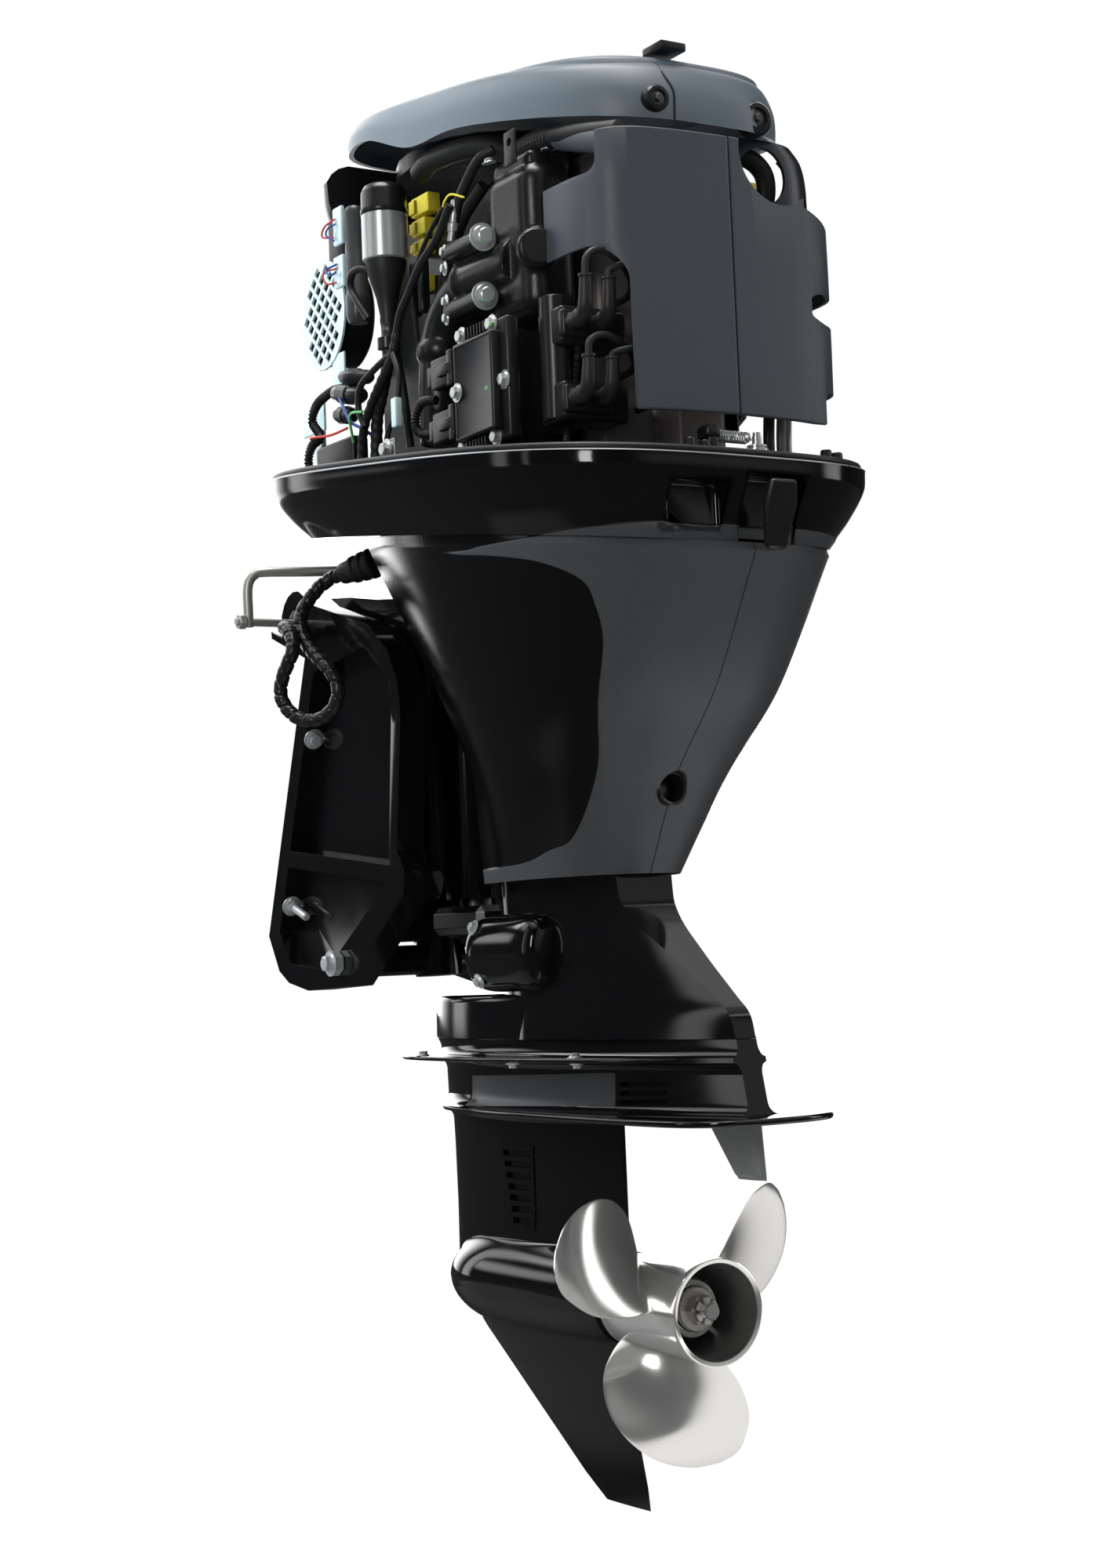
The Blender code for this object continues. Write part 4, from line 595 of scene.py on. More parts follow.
def flange_bolt_tree():
    tree = bpy.data.node_groups.new("flange_bolts", "GeometryNodeTree")
    tree_input(tree, "Places", "NodeSocketGeometry")
    tree_input(tree, "Hex Radius", "NodeSocketFloat", 0.005)
    tree_input(tree, "Finish", "NodeSocketMaterial")
    tree.interface.new_socket("Bolts", in_out="OUTPUT", socket_type="NodeSocketGeometry")
    start = tree.nodes.new("NodeGroupInput")
    end = tree.nodes.new("NodeGroupOutput")
    join = tree.nodes.new("GeometryNodeJoinGeometry")
    for shape in (
        disc(tree, 28, (1.62, 1.62), 0.16, 0.0),
        disc(tree, 28, (1.34, 1.20), 0.22, 0.16),
        disc(tree, 6, (1.0, 1.0), 0.62, 0.36),
        disc(tree, 24, (0.90, 0.78), 0.09, 0.98),
    ):
        link(tree, shape, join.inputs["Geometry"])
    aim = tree.nodes.new("GeometryNodeInputNamedAttribute")
    aim.data_type = "FLOAT_VECTOR"
    aim.inputs["Name"].default_value = "aim"
    align = tree.nodes.new("FunctionNodeAlignRotationToVector")
    align.axis = "Z"
    link(tree, aim.outputs["Attribute"], align.inputs["Vector"])
    instance = tree.nodes.new("GeometryNodeInstanceOnPoints")
    link(tree, start.outputs["Places"], instance.inputs["Points"])
    link(tree, join.outputs["Geometry"], instance.inputs["Instance"])
    link(tree, align.outputs["Rotation"], instance.inputs["Rotation"])
    link(tree, start.outputs["Hex Radius"], instance.inputs["Scale"])
    real = tree.nodes.new("GeometryNodeRealizeInstances")
    paint = tree.nodes.new("GeometryNodeSetMaterial")
    link(tree, instance.outputs["Instances"], real.inputs["Geometry"])
    link(tree, real.outputs["Geometry"], paint.inputs["Geometry"])
    link(tree, start.outputs["Finish"], paint.inputs["Material"])
    link(tree, paint.outputs["Geometry"], end.inputs["Bolts"])
    return tree


def rib_tree():
    """Bars in a row: a count, a first place, a step, a bar's size and a turn."""
    tree = bpy.data.node_groups.new("bars_in_a_row", "GeometryNodeTree")
    tree_input(tree, "Base", "NodeSocketGeometry")
    tree_input(tree, "Count", "NodeSocketInt", 5)
    tree_input(tree, "First", "NodeSocketVector")
    tree_input(tree, "Step", "NodeSocketVector")
    tree_input(tree, "Bar Size", "NodeSocketVector")
    tree_input(tree, "Turn", "NodeSocketRotation")
    tree_input(tree, "Finish", "NodeSocketMaterial")
    tree.interface.new_socket("Bars", in_out="OUTPUT", socket_type="NodeSocketGeometry")
    start = tree.nodes.new("NodeGroupInput")
    end = tree.nodes.new("NodeGroupOutput")
    line = tree.nodes.new("GeometryNodeMeshLine")
    line.mode = "OFFSET"
    link(tree, start.outputs["Count"], line.inputs["Count"])
    link(tree, start.outputs["First"], line.inputs["Start Location"])
    link(tree, start.outputs["Step"], line.inputs["Offset"])
    bar = tree.nodes.new("GeometryNodeMeshCube")
    for axis in "XYZ":
        bar.inputs["Vertices " + axis].default_value = 2
    link(tree, start.outputs["Bar Size"], bar.inputs["Size"])
    instance = tree.nodes.new("GeometryNodeInstanceOnPoints")
    link(tree, line.outputs["Mesh"], instance.inputs["Points"])
    link(tree, bar.outputs["Mesh"], instance.inputs["Instance"])
    link(tree, start.outputs["Turn"], instance.inputs["Rotation"])
    real = tree.nodes.new("GeometryNodeRealizeInstances")
    paint = tree.nodes.new("GeometryNodeSetMaterial")
    link(tree, instance.outputs["Instances"], real.inputs["Geometry"])
    link(tree, real.outputs["Geometry"], paint.inputs["Geometry"])
    link(tree, start.outputs["Finish"], paint.inputs["Material"])
    link(tree, paint.outputs["Geometry"], end.inputs["Bars"])
    return tree


BOLT_TREE = flange_bolt_tree()
RIB_TREE = rib_tree()


def grown(name, mesh, tree, settings):
    """Runs a node tree on a mesh, with inputs set by socket identifier, and keeps the plain result."""
    made = bpy.data.objects.new(name, mesh)
    bpy.context.scene.collection.objects.link(made)
    modifier = made.modifiers.new("grow", "NODES")
    modifier.node_group = tree
    for socket in tree.interface.items_tree:
        if socket.name in settings and socket.in_out == "INPUT":
            modifier[socket.identifier] = settings[socket.name]
    return baked(made)


def bolts(name, places, hex_radius, finish, body):
    """Flange bolts at (place, direction) pairs, each lying on the surface at its place."""
    mesh = bpy.data.meshes.new(name)
    mesh.from_pydata([tuple(place) for place, _ in places], [], [])
    aim = mesh.attributes.new("aim", "FLOAT_VECTOR", "POINT")
    aim.data.foreach_set("vector", [c for _, way in places for c in Vector(way).normalized()])
    made = grown(name, mesh, BOLT_TREE, {"Hex Radius": hex_radius, "Finish": finish})
    print(name, len(places), "bolts")
    return put(made, body)


def bars(name, count, first, step, size, turn, finish, body, edge=0.0):
    mesh = bpy.data.meshes.new(name)
    settings = {
        "Count": count,
        "First": first,
        "Step": step,
        "Bar Size": size,
        "Turn": turn,
        "Finish": finish,
    }
    made = grown(name, mesh, RIB_TREE, settings)
    if edge:
        bevel = made.modifiers.new("rounded", "BEVEL")
        bevel.width = edge
        bevel.segments = 2
        baked(made)
    return put(made, body)

# %% [markdown]
# ## Finishes
# Real paint is never one flat value: it has orange peel, grain and dust. One shader group makes a fine and a
# broad noise from object coordinates, and a relief. Each finish says how far they move its colour and gloss.


# %% The grain group and the finishes
def grain_group():
    group = bpy.data.node_groups.new("grain", "ShaderNodeTree")
    group.interface.new_socket("Stretch", in_out="INPUT", socket_type="NodeSocketVector")
    group.interface.new_socket("Relief", in_out="INPUT", socket_type="NodeSocketFloat")
    group.interface.new_socket("Depth", in_out="INPUT", socket_type="NodeSocketFloat")
    group.interface.new_socket("Fine", in_out="OUTPUT", socket_type="NodeSocketFloat")
    group.interface.new_socket("Broad", in_out="OUTPUT", socket_type="NodeSocketFloat")
    group.interface.new_socket("Normal", in_out="OUTPUT", socket_type="NodeSocketVector")
    start = group.nodes.new("NodeGroupInput")
    end = group.nodes.new("NodeGroupOutput")
    coords = group.nodes.new("ShaderNodeTexCoord")
    stretch = group.nodes.new("ShaderNodeVectorMath")
    stretch.operation = "MULTIPLY"
    link(group, coords.outputs["Object"], stretch.inputs[0])
    link(group, start.outputs["Stretch"], stretch.inputs[1])
    fine = group.nodes.new("ShaderNodeTexNoise")
    fine.inputs["Scale"].default_value = 1.0
    fine.inputs["Detail"].default_value = 3.0
    link(group, stretch.outputs["Vector"], fine.inputs["Vector"])
    broad = group.nodes.new("ShaderNodeTexNoise")
    broad.inputs["Scale"].default_value = 14.0
    broad.inputs["Detail"].default_value = 5.0
    link(group, coords.outputs["Object"], broad.inputs["Vector"])
    bump = group.nodes.new("ShaderNodeBump")
    link(group, start.outputs["Relief"], bump.inputs["Strength"])
    link(group, start.outputs["Depth"], bump.inputs["Distance"])
    link(group, fine.outputs["Fac"], bump.inputs["Height"])
    link(group, fine.outputs["Fac"], end.inputs["Fine"])
    link(group, broad.outputs["Fac"], end.inputs["Broad"])
    link(group, bump.outputs["Normal"], end.inputs["Normal"])
    return group


GRAIN = grain_group()


def ramp(tree, value, from_range, to_range):
    made = tree.nodes.new("ShaderNodeMapRange")
    made.inputs["From Min"].default_value = from_range[0]
    made.inputs["From Max"].default_value = from_range[1]
    made.inputs["To Min"].default_value = to_range[0]
    made.inputs["To Max"].default_value = to_range[1]
    link(tree, value, made.inputs["Value"])
    return made.outputs["Result"]


def blended(tree, share, first, second):
    """Two colours, or a colour's socket and a colour, mixed by a share."""
    made = tree.nodes.new("ShaderNodeMix")
    made.data_type = "RGBA"
    link(tree, share, made.inputs["Factor"])
    for socket, colour in zip([s for s in made.inputs if s.name in "AB" and s.type == "RGBA"], (first, second)):
        if isinstance(colour, tuple):
            socket.default_value = (*colour, 1.0)
        else:
            link(tree, colour, socket)
    return [s for s in made.outputs if s.type == "RGBA"][0]


def finish(name, colour, fleck, gloss, metal=0.0, stretch=900.0, relief=0.05, depth=0.0003, spread=(0.5, 0.03)):
    """A finish: its colour, the colour of its flecks, roughness, grain per metre, relief and spreads."""
    made = bpy.data.materials.new(name)
    made.use_nodes = True
    tree = made.node_tree
    shader = tree.nodes["Principled BSDF"]
    grain = tree.nodes.new("ShaderNodeGroup")
    grain.node_tree = GRAIN
    grain.inputs["Stretch"].default_value = (stretch,) * 3 if isinstance(stretch, float) else stretch
    grain.inputs["Relief"].default_value = relief
    grain.inputs["Depth"].default_value = depth
    share = ramp(tree, grain.outputs["Fine"], (0.45, 0.75), (0.0, spread[0]))
    link(tree, blended(tree, share, colour, fleck), shader.inputs["Base Color"])
    rough = ramp(tree, grain.outputs["Broad"], (0.3, 0.7), (gloss - spread[1], gloss + spread[1]))
    link(tree, rough, shader.inputs["Roughness"])
    shader.inputs["Metallic"].default_value = metal
    link(tree, grain.outputs["Normal"], shader.inputs["Normal"])
    return made


GLOSS_BLACK = finish("gloss_black", (0.0024, 0.0024, 0.0026), (0.006, 0.006, 0.006), 0.085, 0, 320.0, 0.012)
GEARCASE_BLACK = finish("gearcase_black", (0.0024, 0.0024, 0.0026), (0.006, 0.006, 0.006), 0.085, 0, 320.0, 0.012)
TRAY_BLACK = finish("tray_black", (0.0026, 0.0026, 0.0028), (0.005, 0.005, 0.005), 0.10, 0, 320.0, 0.012)
APRON_BLACK = finish(
    "apron_charcoal", (0.037, 0.038, 0.039), (0.054, 0.055, 0.057), 0.42, 0, (1500.0, 1500.0, 60.0), 0.25, 0.0003
)
ENGINE_BLACK = finish("engine_black", (0.0050, 0.0050, 0.0052), (0.016, 0.016, 0.016), 0.27, 0, 700.0, 0.30, 0.0006)
COVER_GREY = finish("cover_grey", (0.104, 0.127, 0.146), (0.130, 0.156, 0.175), 0.42, 0, 1100.0, 0.12, 0.0003)
REAR_GREY = finish("rear_grey", (0.044, 0.051, 0.058), (0.058, 0.067, 0.074), 0.46, 0, 1100.0, 0.14, 0.0003)
BLACK_PLASTIC = finish("black_plastic", (0.0070, 0.0070, 0.0078), (0.015, 0.015, 0.016), 0.30, 0, 1300.0, 0.12)
SATIN_DARK = finish("satin_dark", (0.035, 0.036, 0.038), (0.050, 0.051, 0.053), 0.34, 0, 1100.0, 0.08)
SIDE_BLACK = finish("side_black", (0.010, 0.012, 0.015), (0.018, 0.020, 0.024), 0.30, 0, 1100.0, 0.06)
RUBBER = finish("rubber", (0.010, 0.010, 0.010), (0.019, 0.019, 0.019), 0.46, 0, 800.0, 0.20)
STEEL = finish("steel", (0.60, 0.61, 0.60), (0.70, 0.70, 0.68), 0.30, 0.72, (200.0, 1600.0, 900.0), 0.06)
STAINLESS = finish("stainless", (0.78, 0.76, 0.725), (0.82, 0.79, 0.755), 0.14, 0.84, (260.0, 900.0, 900.0), 0.02)
ZINC = finish("zinc", (0.26, 0.26, 0.255), (0.36, 0.36, 0.35), 0.52, 0.7, 420.0, 0.30, 0.0005)
PALE_PLASTIC = finish("pale_plastic", (0.47, 0.58, 0.58), (0.55, 0.65, 0.65), 0.45, 0, 900.0, 0.08)
CAST_ALLOY = finish("cast_alloy", (0.26, 0.26, 0.25), (0.36, 0.35, 0.34), 0.42, 0.9, 600.0, 0.30, 0.0005)
DARK_STEEL = finish("dark_steel", (0.16, 0.16, 0.16), (0.24, 0.24, 0.23), 0.33, 1.0, 900.0, 0.10)
BAR_STEEL = finish("bar_steel", (0.50, 0.48, 0.45), (0.60, 0.57, 0.53), 0.42, 0.8, (300.0, 1500.0, 900.0), 0.08)
YELLOW = finish("relay_yellow", (0.62, 0.50, 0.03), (0.70, 0.58, 0.07), 0.42, 0, 900.0, 0.06)
RED = finish("wire_red", (0.42, 0.03, 0.02), (0.50, 0.05, 0.03), 0.45, 0, 900.0, 0.05)
BLUE = finish("wire_blue", (0.03, 0.07, 0.26), (0.05, 0.10, 0.32), 0.45, 0, 900.0, 0.05)
GREEN = finish("mark_green", (0.10, 0.34, 0.12), (0.14, 0.42, 0.16), 0.50, 0, 900.0, 0.10)
BROWN = finish("head_brown", (0.150, 0.128, 0.118), (0.190, 0.165, 0.152), 0.44, 0.3, 500.0, 0.25, 0.0005)
# A bright grey metallic finish for a thin ring that is a painted highlight along the tray's rim.
PAINTED_RIM_HIGHLIGHT = finish("painted_rim_highlight", (0.42, 0.43, 0.44), (0.50, 0.51, 0.52), 0.30, 0.6, 900.0, 0.05)


def inset_finish(made, attribute, colour, gloss):
    """Inside the outline whose distance is stored on the mesh, the finish turns to another colour and gloss."""
    tree = made.node_tree
    shader = tree.nodes["Principled BSDF"]
    inside = tree.nodes.new("ShaderNodeAttribute")
    inside.attribute_name = attribute
    share = ramp(tree, inside.outputs["Fac"], (-0.0006, 0.0006), (0.0, 1.0))
    coat = shader.inputs["Base Color"].links[0].from_socket
    link(tree, blended(tree, share, coat, colour), shader.inputs["Base Color"])
    rough = tree.nodes.new("ShaderNodeMix")
    link(tree, share, rough.inputs["Factor"])
    link(tree, shader.inputs["Roughness"].links[0].from_socket, rough.inputs[2])
    rough.inputs[3].default_value = gloss
    link(tree, rough.outputs[0], shader.inputs["Roughness"])
    step = tree.nodes.new("ShaderNodeBump")
    step.inputs["Strength"].default_value = 0.7
    step.inputs["Distance"].default_value = 0.0012
    edge = ramp(tree, inside.outputs["Fac"], (-0.0015, 0.0015), (1.0, 0.0))
    link(tree, edge, step.inputs["Height"])
    link(tree, shader.inputs["Normal"].links[0].from_socket, step.inputs["Normal"])
    link(tree, step.outputs["Normal"], shader.inputs["Normal"])


inset_finish(APRON_BLACK, "inset", (0.0022, 0.0022, 0.0024), 0.09)
inset_finish(GEARCASE_BLACK, "panel", (0.030, 0.030, 0.031), 0.30)
inset_finish(TRAY_BLACK, "skirt", (0.037, 0.038, 0.039), 0.42)
print("finishes:", len([m for m in bpy.data.materials if m.use_nodes]))

# %% [markdown]
# ## The harness cable
# A wrapped cable leaves the rubber boot under the tray, hangs in one loop beside the clamp and goes into the
# tilt boss. A curve could make it, but the spiral wrap wants relief, so it is a swept tube with a helical
# groove.

# %% Harness cable
CABLE_R = 0.0080
WRAP_PITCH = 0.0165
CABLE_ROUTE = (
    (0.068, -0.1190, 0.0927),
    (0.057, -0.1260, 0.0890),
    (0.047, -0.1400, 0.0760),
    (0.044, -0.158, 0.050),
    (0.052, -0.164, 0.028),
    (0.070, -0.167, 0.008),
    (0.097, -0.168, -0.010),
    (0.122, -0.165, -0.028),
    (0.134, -0.160, -0.050),
    (0.128, -0.162, -0.072),
    (0.108, -0.170, -0.085),
    (0.084, -0.180, -0.085),
    (0.064, -0.189, -0.073),
    (0.052, -0.194, -0.054),
    (0.053, -0.193, -0.035),
    (0.063, -0.190, -0.017),
    (0.073, -0.188, -0.004),
    (0.068, -0.184, 0.012),
    (0.050, -0.181, 0.026),
    (0.030, -0.176, 0.032),
    (0.012, -0.164, 0.033),
    (0.000, -0.150, 0.030),
)


def wrap_relief(along, angle):
    """A spiral wrap: flat tape with a narrow groove between its turns."""
    phase = (along / WRAP_PITCH + angle / (2 * math.pi)) % 1.0
    return 0.0006 - 0.0018 * math.exp(-(((phase - 0.5) / 0.085) ** 2)) - 0.0005 * phase


cable_path = smooth_path(CABLE_ROUTE, 18)
cable = sweep("harness_cable_wrap", cable_path, CABLE_R, BLACK_PLASTIC, 30, wrap_relief)
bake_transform(cable)
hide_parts("harness_cable")

# %% [markdown]
# ## Gearcase
# The leg, the torpedo and the skeg are one casting that flows together. Boolean unions of three solids would
# leave hard lines between them, so the leg is one loft: at each height the half width is a smooth maximum of
# the three shapes. The plates are rounded slabs, and fillets flare the leg where it meets them.


# %% Gearcase
PROP_Z = -0.745
TORPEDO_R = 0.053
TORPEDO_TAIL_X = 0.458
NOSE_X = 0.094
NOSE_LENGTH = 0.131
PLATE_TOP_Z = -0.541
PLATE_LOW_Z = -0.548
SPLASH_TOP_Z = -0.483
SPLASH_LOW_Z = -0.488
SEAM_Z = -0.4645
SKEG_TIP_Z = -0.968
FILLET = 0.013
MELT = 4.0


def stream_half(x, nose, tail, half, tail_half, peak):
    """Half width of a streamlined waterline: an elliptical nose, then a long taper."""
    reach = np.clip((x - nose) / ((tail - nose) * peak), 0.0, 1.0)
    along = np.clip((x - nose - (tail - nose) * peak) / ((tail - nose) * (1 - peak)), 0.0, 1.0)
    return half * np.sqrt(1 - (1 - reach) ** 2) - (half - tail_half) * along**2


def flare(z, plate_z):
    """How far a fillet pushes the wall out at a height near a plate."""
    near = max(0.0, FILLET - abs(z - plate_z))
    return FILLET - math.sqrt(FILLET**2 - near**2)


def torpedo_half(x, z):
    nose = np.clip((NOSE_X + NOSE_LENGTH - x) / NOSE_LENGTH, 0.0, 1.0)
    tail = np.clip((x - 0.36) / (TORPEDO_TAIL_X - 0.36), 0.0, 1.0)
    radius = TORPEDO_R * np.sqrt(1 - nose**2) - 0.003 * tail**2
    return np.sqrt(np.clip(radius**2 - (z - PROP_Z) ** 2, 0.0, None))


def strut_half(x, z):
    if z < PROP_Z:
        return np.zeros_like(x)
    half = np.interp(z, (-0.735, -0.660, -0.590, -0.535), (0.030, 0.027, 0.029, 0.034))
    return stream_half(x, 0.096 - flare(z, PLATE_LOW_Z), 0.455 + flare(z, PLATE_LOW_Z), half, 0.003, 0.4)


SKEG_Z = (SKEG_TIP_Z, -0.945, -0.893, -0.800, -0.765)
SKEG_FRONT = (0.392, 0.352, 0.276, 0.140, 0.110)
SKEG_BACK = (0.478, 0.475, 0.461, 0.455, 0.452)
SKEG_HALF = (0.0018, 0.0032, 0.0050, 0.0075, 0.0095)


def skeg_half(x, z):
    if z > PROP_Z:
        return np.zeros_like(x)
    front = np.interp(z, SKEG_Z, SKEG_FRONT)
    back = np.interp(z, SKEG_Z, SKEG_BACK)
    share = np.clip((x - front) / (back - front), 0.0, 1.0)
    return np.interp(z, SKEG_Z, SKEG_HALF) * 1.6 * np.sqrt(share) * (1 - share) ** 0.7


def leg_half(x, z):
    x = np.asarray(x, float)
    shapes = torpedo_half(x, z) ** MELT + strut_half(x, z) ** MELT + skeg_half(x, z) ** MELT
    return shapes ** (1 / MELT) + 0.8 * flare(z, PLATE_LOW_Z)


def leg_ends(z):
    fronts = []
    backs = []
    if abs(z - PROP_Z) < TORPEDO_R:
        fronts.append(NOSE_X + NOSE_LENGTH * (1 - math.sqrt(1 - ((z - PROP_Z) / TORPEDO_R) ** 2)))
        backs.append(TORPEDO_TAIL_X)
    if z >= PROP_Z:
        fronts.append(0.096 - flare(z, PLATE_LOW_Z))
        backs.append(0.455 + flare(z, PLATE_LOW_Z))
    if z <= PROP_Z:
        fronts.append(float(np.interp(z, SKEG_Z, SKEG_FRONT)))
        backs.append(float(np.interp(z, SKEG_Z, SKEG_BACK)))
    return min(fronts), max(backs)


def waterline(front, back, half_at, z, count=54):
    """A closed ring at one height, with its points crowded towards both ends."""
    share = 0.5 - 0.5 * np.cos(np.linspace(0.0, math.pi, count))
    x = front + (back - front) * share
    y = half_at(x, z)
    y[0] = 0.0
    port = [(a, -b, z) for a, b in zip(x, y)]
    return port + [(a, b, z) for a, b in zip(x[:0:-1], y[:0:-1])]


def leg_levels():
    turns = np.linspace(0.0, math.pi, 46)[1:-1]
    levels = list(np.linspace(SKEG_TIP_Z, PROP_Z - TORPEDO_R, 22))
    levels += list(PROP_Z - TORPEDO_R * np.cos(turns))
    levels += list(np.linspace(PROP_Z + TORPEDO_R, PLATE_LOW_Z - FILLET, 14))
    levels += list(PLATE_LOW_Z - FILLET * np.cos(np.linspace(0.0, math.pi / 2, 9))[1:])
    return levels


def sunk(half_at, corners, depth, side, across=24, down=6, proud=0.02):
    """A patch that follows the wall, from a depth in it to some way out: corners are (x, z), round the patch."""
    first, second, third, fourth = (np.array(c) for c in corners)
    inner = []
    outer = []
    for row in np.linspace(0.0, 1.0, down):
        start = first + (fourth - first) * row
        end = second + (third - second) * row
        for share in np.linspace(0.0, 1.0, across):
            x, z = start + (end - start) * share
            wall = float(half_at(np.array([x]), z)[0])
            inner.append((x, side * (wall - depth), z))
            outer.append((x, side * (wall + proud), z))
    count = across * down
    faces = [(a, b, c, d) for a, b, c, d in ring_faces(down, across, False)]
    faces += [(d + count, c + count, b + count, a + count) for a, b, c, d in ring_faces(down, across, False)]
    edge = list(range(across)) + [across * (r + 1) - 1 for r in range(1, down)]
    edge += list(range(count - 2, count - across - 1, -1)) + [across * r for r in range(down - 2, 0, -1)]
    faces += [(b, a, a + count, b + count) for a, b in zip(edge, edge[1:] + edge[:1])]
    mesh = bpy.data.meshes.new("cutter")
    mesh.from_pydata(inner + outer, [], faces)
    return dressed("cutter", facing_out(mesh), GLOSS_BLACK)


def leg_rung(row, side):
    top = -0.592 - 0.0127 * row
    left = 0.2465 + 0.0024 * row
    right = 0.3066 - 0.0010 * row
    return sunk(leg_half, ((left, top), (right, top), (right, top - 0.0068), (left, top - 0.0068)), 0.005, side, 6, 3)


def mirrored(outline):
    return [(x, -y) for x, y in outline] + [(x, y) for x, y in reversed(outline) if y > 0]


leg = loft("gearcase_leg", [waterline(*leg_ends(z), leg_half, z) for z in leg_levels()], GLOSS_BLACK)
rungs = [leg_rung(row, side) for row in range(7) for side in (-1, 1)]
hub_bore = lathe("hub_bore", [(0.0, 0.0445), (0.1, 0.0445)], (0.395, 0.0, PROP_Z), (1, 0, 0), GLOSS_BLACK)
carved(leg, merged("cutters", GLOSS_BLACK, hub_bore, *rungs))
INTAKE_BARS = (
    ((0.3066, -0.5872), (0.3112, -0.5872), (0.3060, -0.6800), (0.3008, -0.6800)),
    ((0.2440, -0.5868), (0.3112, -0.5868), (0.3112, -0.5900), (0.2440, -0.5900)),
    ((0.2590, -0.6770), (0.3062, -0.6770), (0.3062, -0.6802), (0.2590, -0.6802)),
)
BAR_PROUD = 0.0016
frame_bars = [sunk(leg_half, bar, 0.002, side, 10, 10, BAR_PROUD) for bar in INTAKE_BARS for side in (-1, 1)]
put(merged("intake_frames", GLOSS_BLACK, *frame_bars), "motor")

PLATE_OUTLINE = (
    (0.106, 0.0),
    (0.120, 0.030),
    (0.170, 0.058),
    (0.280, 0.082),
    (0.420, 0.096),
    (0.600, 0.100),
    (0.690, 0.094),
    (0.735, 0.070),
    (0.752, 0.035),
    (0.755, 0.0),
)
SPLASH_OUTLINE = (
    (0.056, 0.0),
    (0.062, 0.030),
    (0.084, 0.062),
    (0.126, 0.086),
    (0.200, 0.098),
    (0.340, 0.100),
    (0.480, 0.086),
    (0.580, 0.058),
    (0.650, 0.022),
    (0.660, 0.0),
)
plate_line = closed_curve(mirrored(PLATE_OUTLINE), 8)
splash_line = closed_curve(mirrored(SPLASH_OUTLINE), 8)
plate = slab("plate", plate_line, PLATE_LOW_Z, PLATE_TOP_Z, GLOSS_BLACK, 0.003)
splash = slab("splash", splash_line, SPLASH_LOW_Z, SPLASH_TOP_Z, GLOSS_BLACK, 0.0022)


def case_flare(z):
    return max(flare(z, PLATE_TOP_Z), 0.6 * flare(z, SPLASH_LOW_Z), 0.6 * flare(z, SPLASH_TOP_Z))


def case_ends(z):
    nose = np.interp(z, (PLATE_TOP_Z, -0.4855, SEAM_Z), (0.108, 0.106, 0.0855))
    tail = np.interp(z, (PLATE_TOP_Z, -0.4855, SEAM_Z), (0.707, 0.694, 0.6895))
    return nose - case_flare(z), tail


def case_half(x, z):
    nose, tail = case_ends(z)
    return stream_half(np.asarray(x, float), nose, tail, 0.068, 0.0125, 0.35) + case_flare(z)


case_levels = [PLATE_TOP_Z - 0.001]
case_levels += list(PLATE_TOP_Z + FILLET * (1 - np.cos(np.linspace(0.0, math.pi / 2, 9))))
case_levels += list(np.linspace(PLATE_TOP_Z + FILLET + 0.004, SPLASH_LOW_Z - FILLET - 0.003, 6))
case_levels += list(SPLASH_LOW_Z - FILLET * np.cos(np.linspace(0.0, math.pi / 2, 9)))
case_levels += list(SPLASH_TOP_Z + FILLET * (1 - np.cos(np.linspace(0.0, math.pi / 2, 9))))
case_levels += [-0.4675, SEAM_Z - 0.0004]
case = loft("case", [waterline(*case_ends(z), case_half, z) for z in case_levels], GLOSS_BLACK)
PANEL = ((0.2393, -0.506), (0.524, -0.4985), (0.523, -0.533), (0.235, -0.540))
cutters = []
for side in (-1, 1):
    cutters.append(sunk(case_half, PANEL, 0.0016, side))
    for row in range(3):
        top = -0.5085 - 0.0092 * row
        slot = ((0.5300, top), (0.6000, top + 0.0015), (0.5985, top - 0.0040), (0.5300, top - 0.0055))
        cutters.append(sunk(case_half, slot, 0.007, side, 8, 3))
carved(case, merged("cutters", GLOSS_BLACK, *cutters))


def on_panel(point):
    """Whether a point is on the sunk floor of the side panel."""
    left, right = PANEL[3][0] - 0.0005, PANEL[1][0] + 0.0005
    if not left < point.x < right:
        return False
    share = (point.x - left) / (right - left)
    top = PANEL[0][1] + (PANEL[1][1] - PANEL[0][1]) * share
    low = PANEL[3][1] + (PANEL[2][1] - PANEL[3][1]) * share
    sunk_by = float(case_half(np.array([point.x]), point.z)[0]) - abs(point.y)
    return low - 0.001 < point.z < top + 0.001 and 0.0011 < sunk_by < 0.0021


gearcase = merged("gearcase_casting", GEARCASE_BLACK, leg, plate, splash, case)
store(gearcase.data, "panel", [0.01 if on_panel(v.co) else -0.01 for v in gearcase.data.vertices])
put(gearcase, "motor", ("gearcase",))
print("gearcase:", len(gearcase.data.polygons), "faces")

splash_bolts = [((0.39, -0.0955, SPLASH_LOW_Z), (0, 0, -1)), ((0.49, -0.076, SPLASH_LOW_Z), (0, 0, -1))]
splash_bolts += [((0.475, -0.070, SPLASH_TOP_Z), (0, 0, 1)), ((0.175, -0.088, SPLASH_TOP_Z), (0, 0, 1))]
splash_bolts += [((x, -y, z), way) for (x, y, z), way in splash_bolts]
bolts("splash_plate_bolts", splash_bolts, 0.0052, STEEL, "motor")

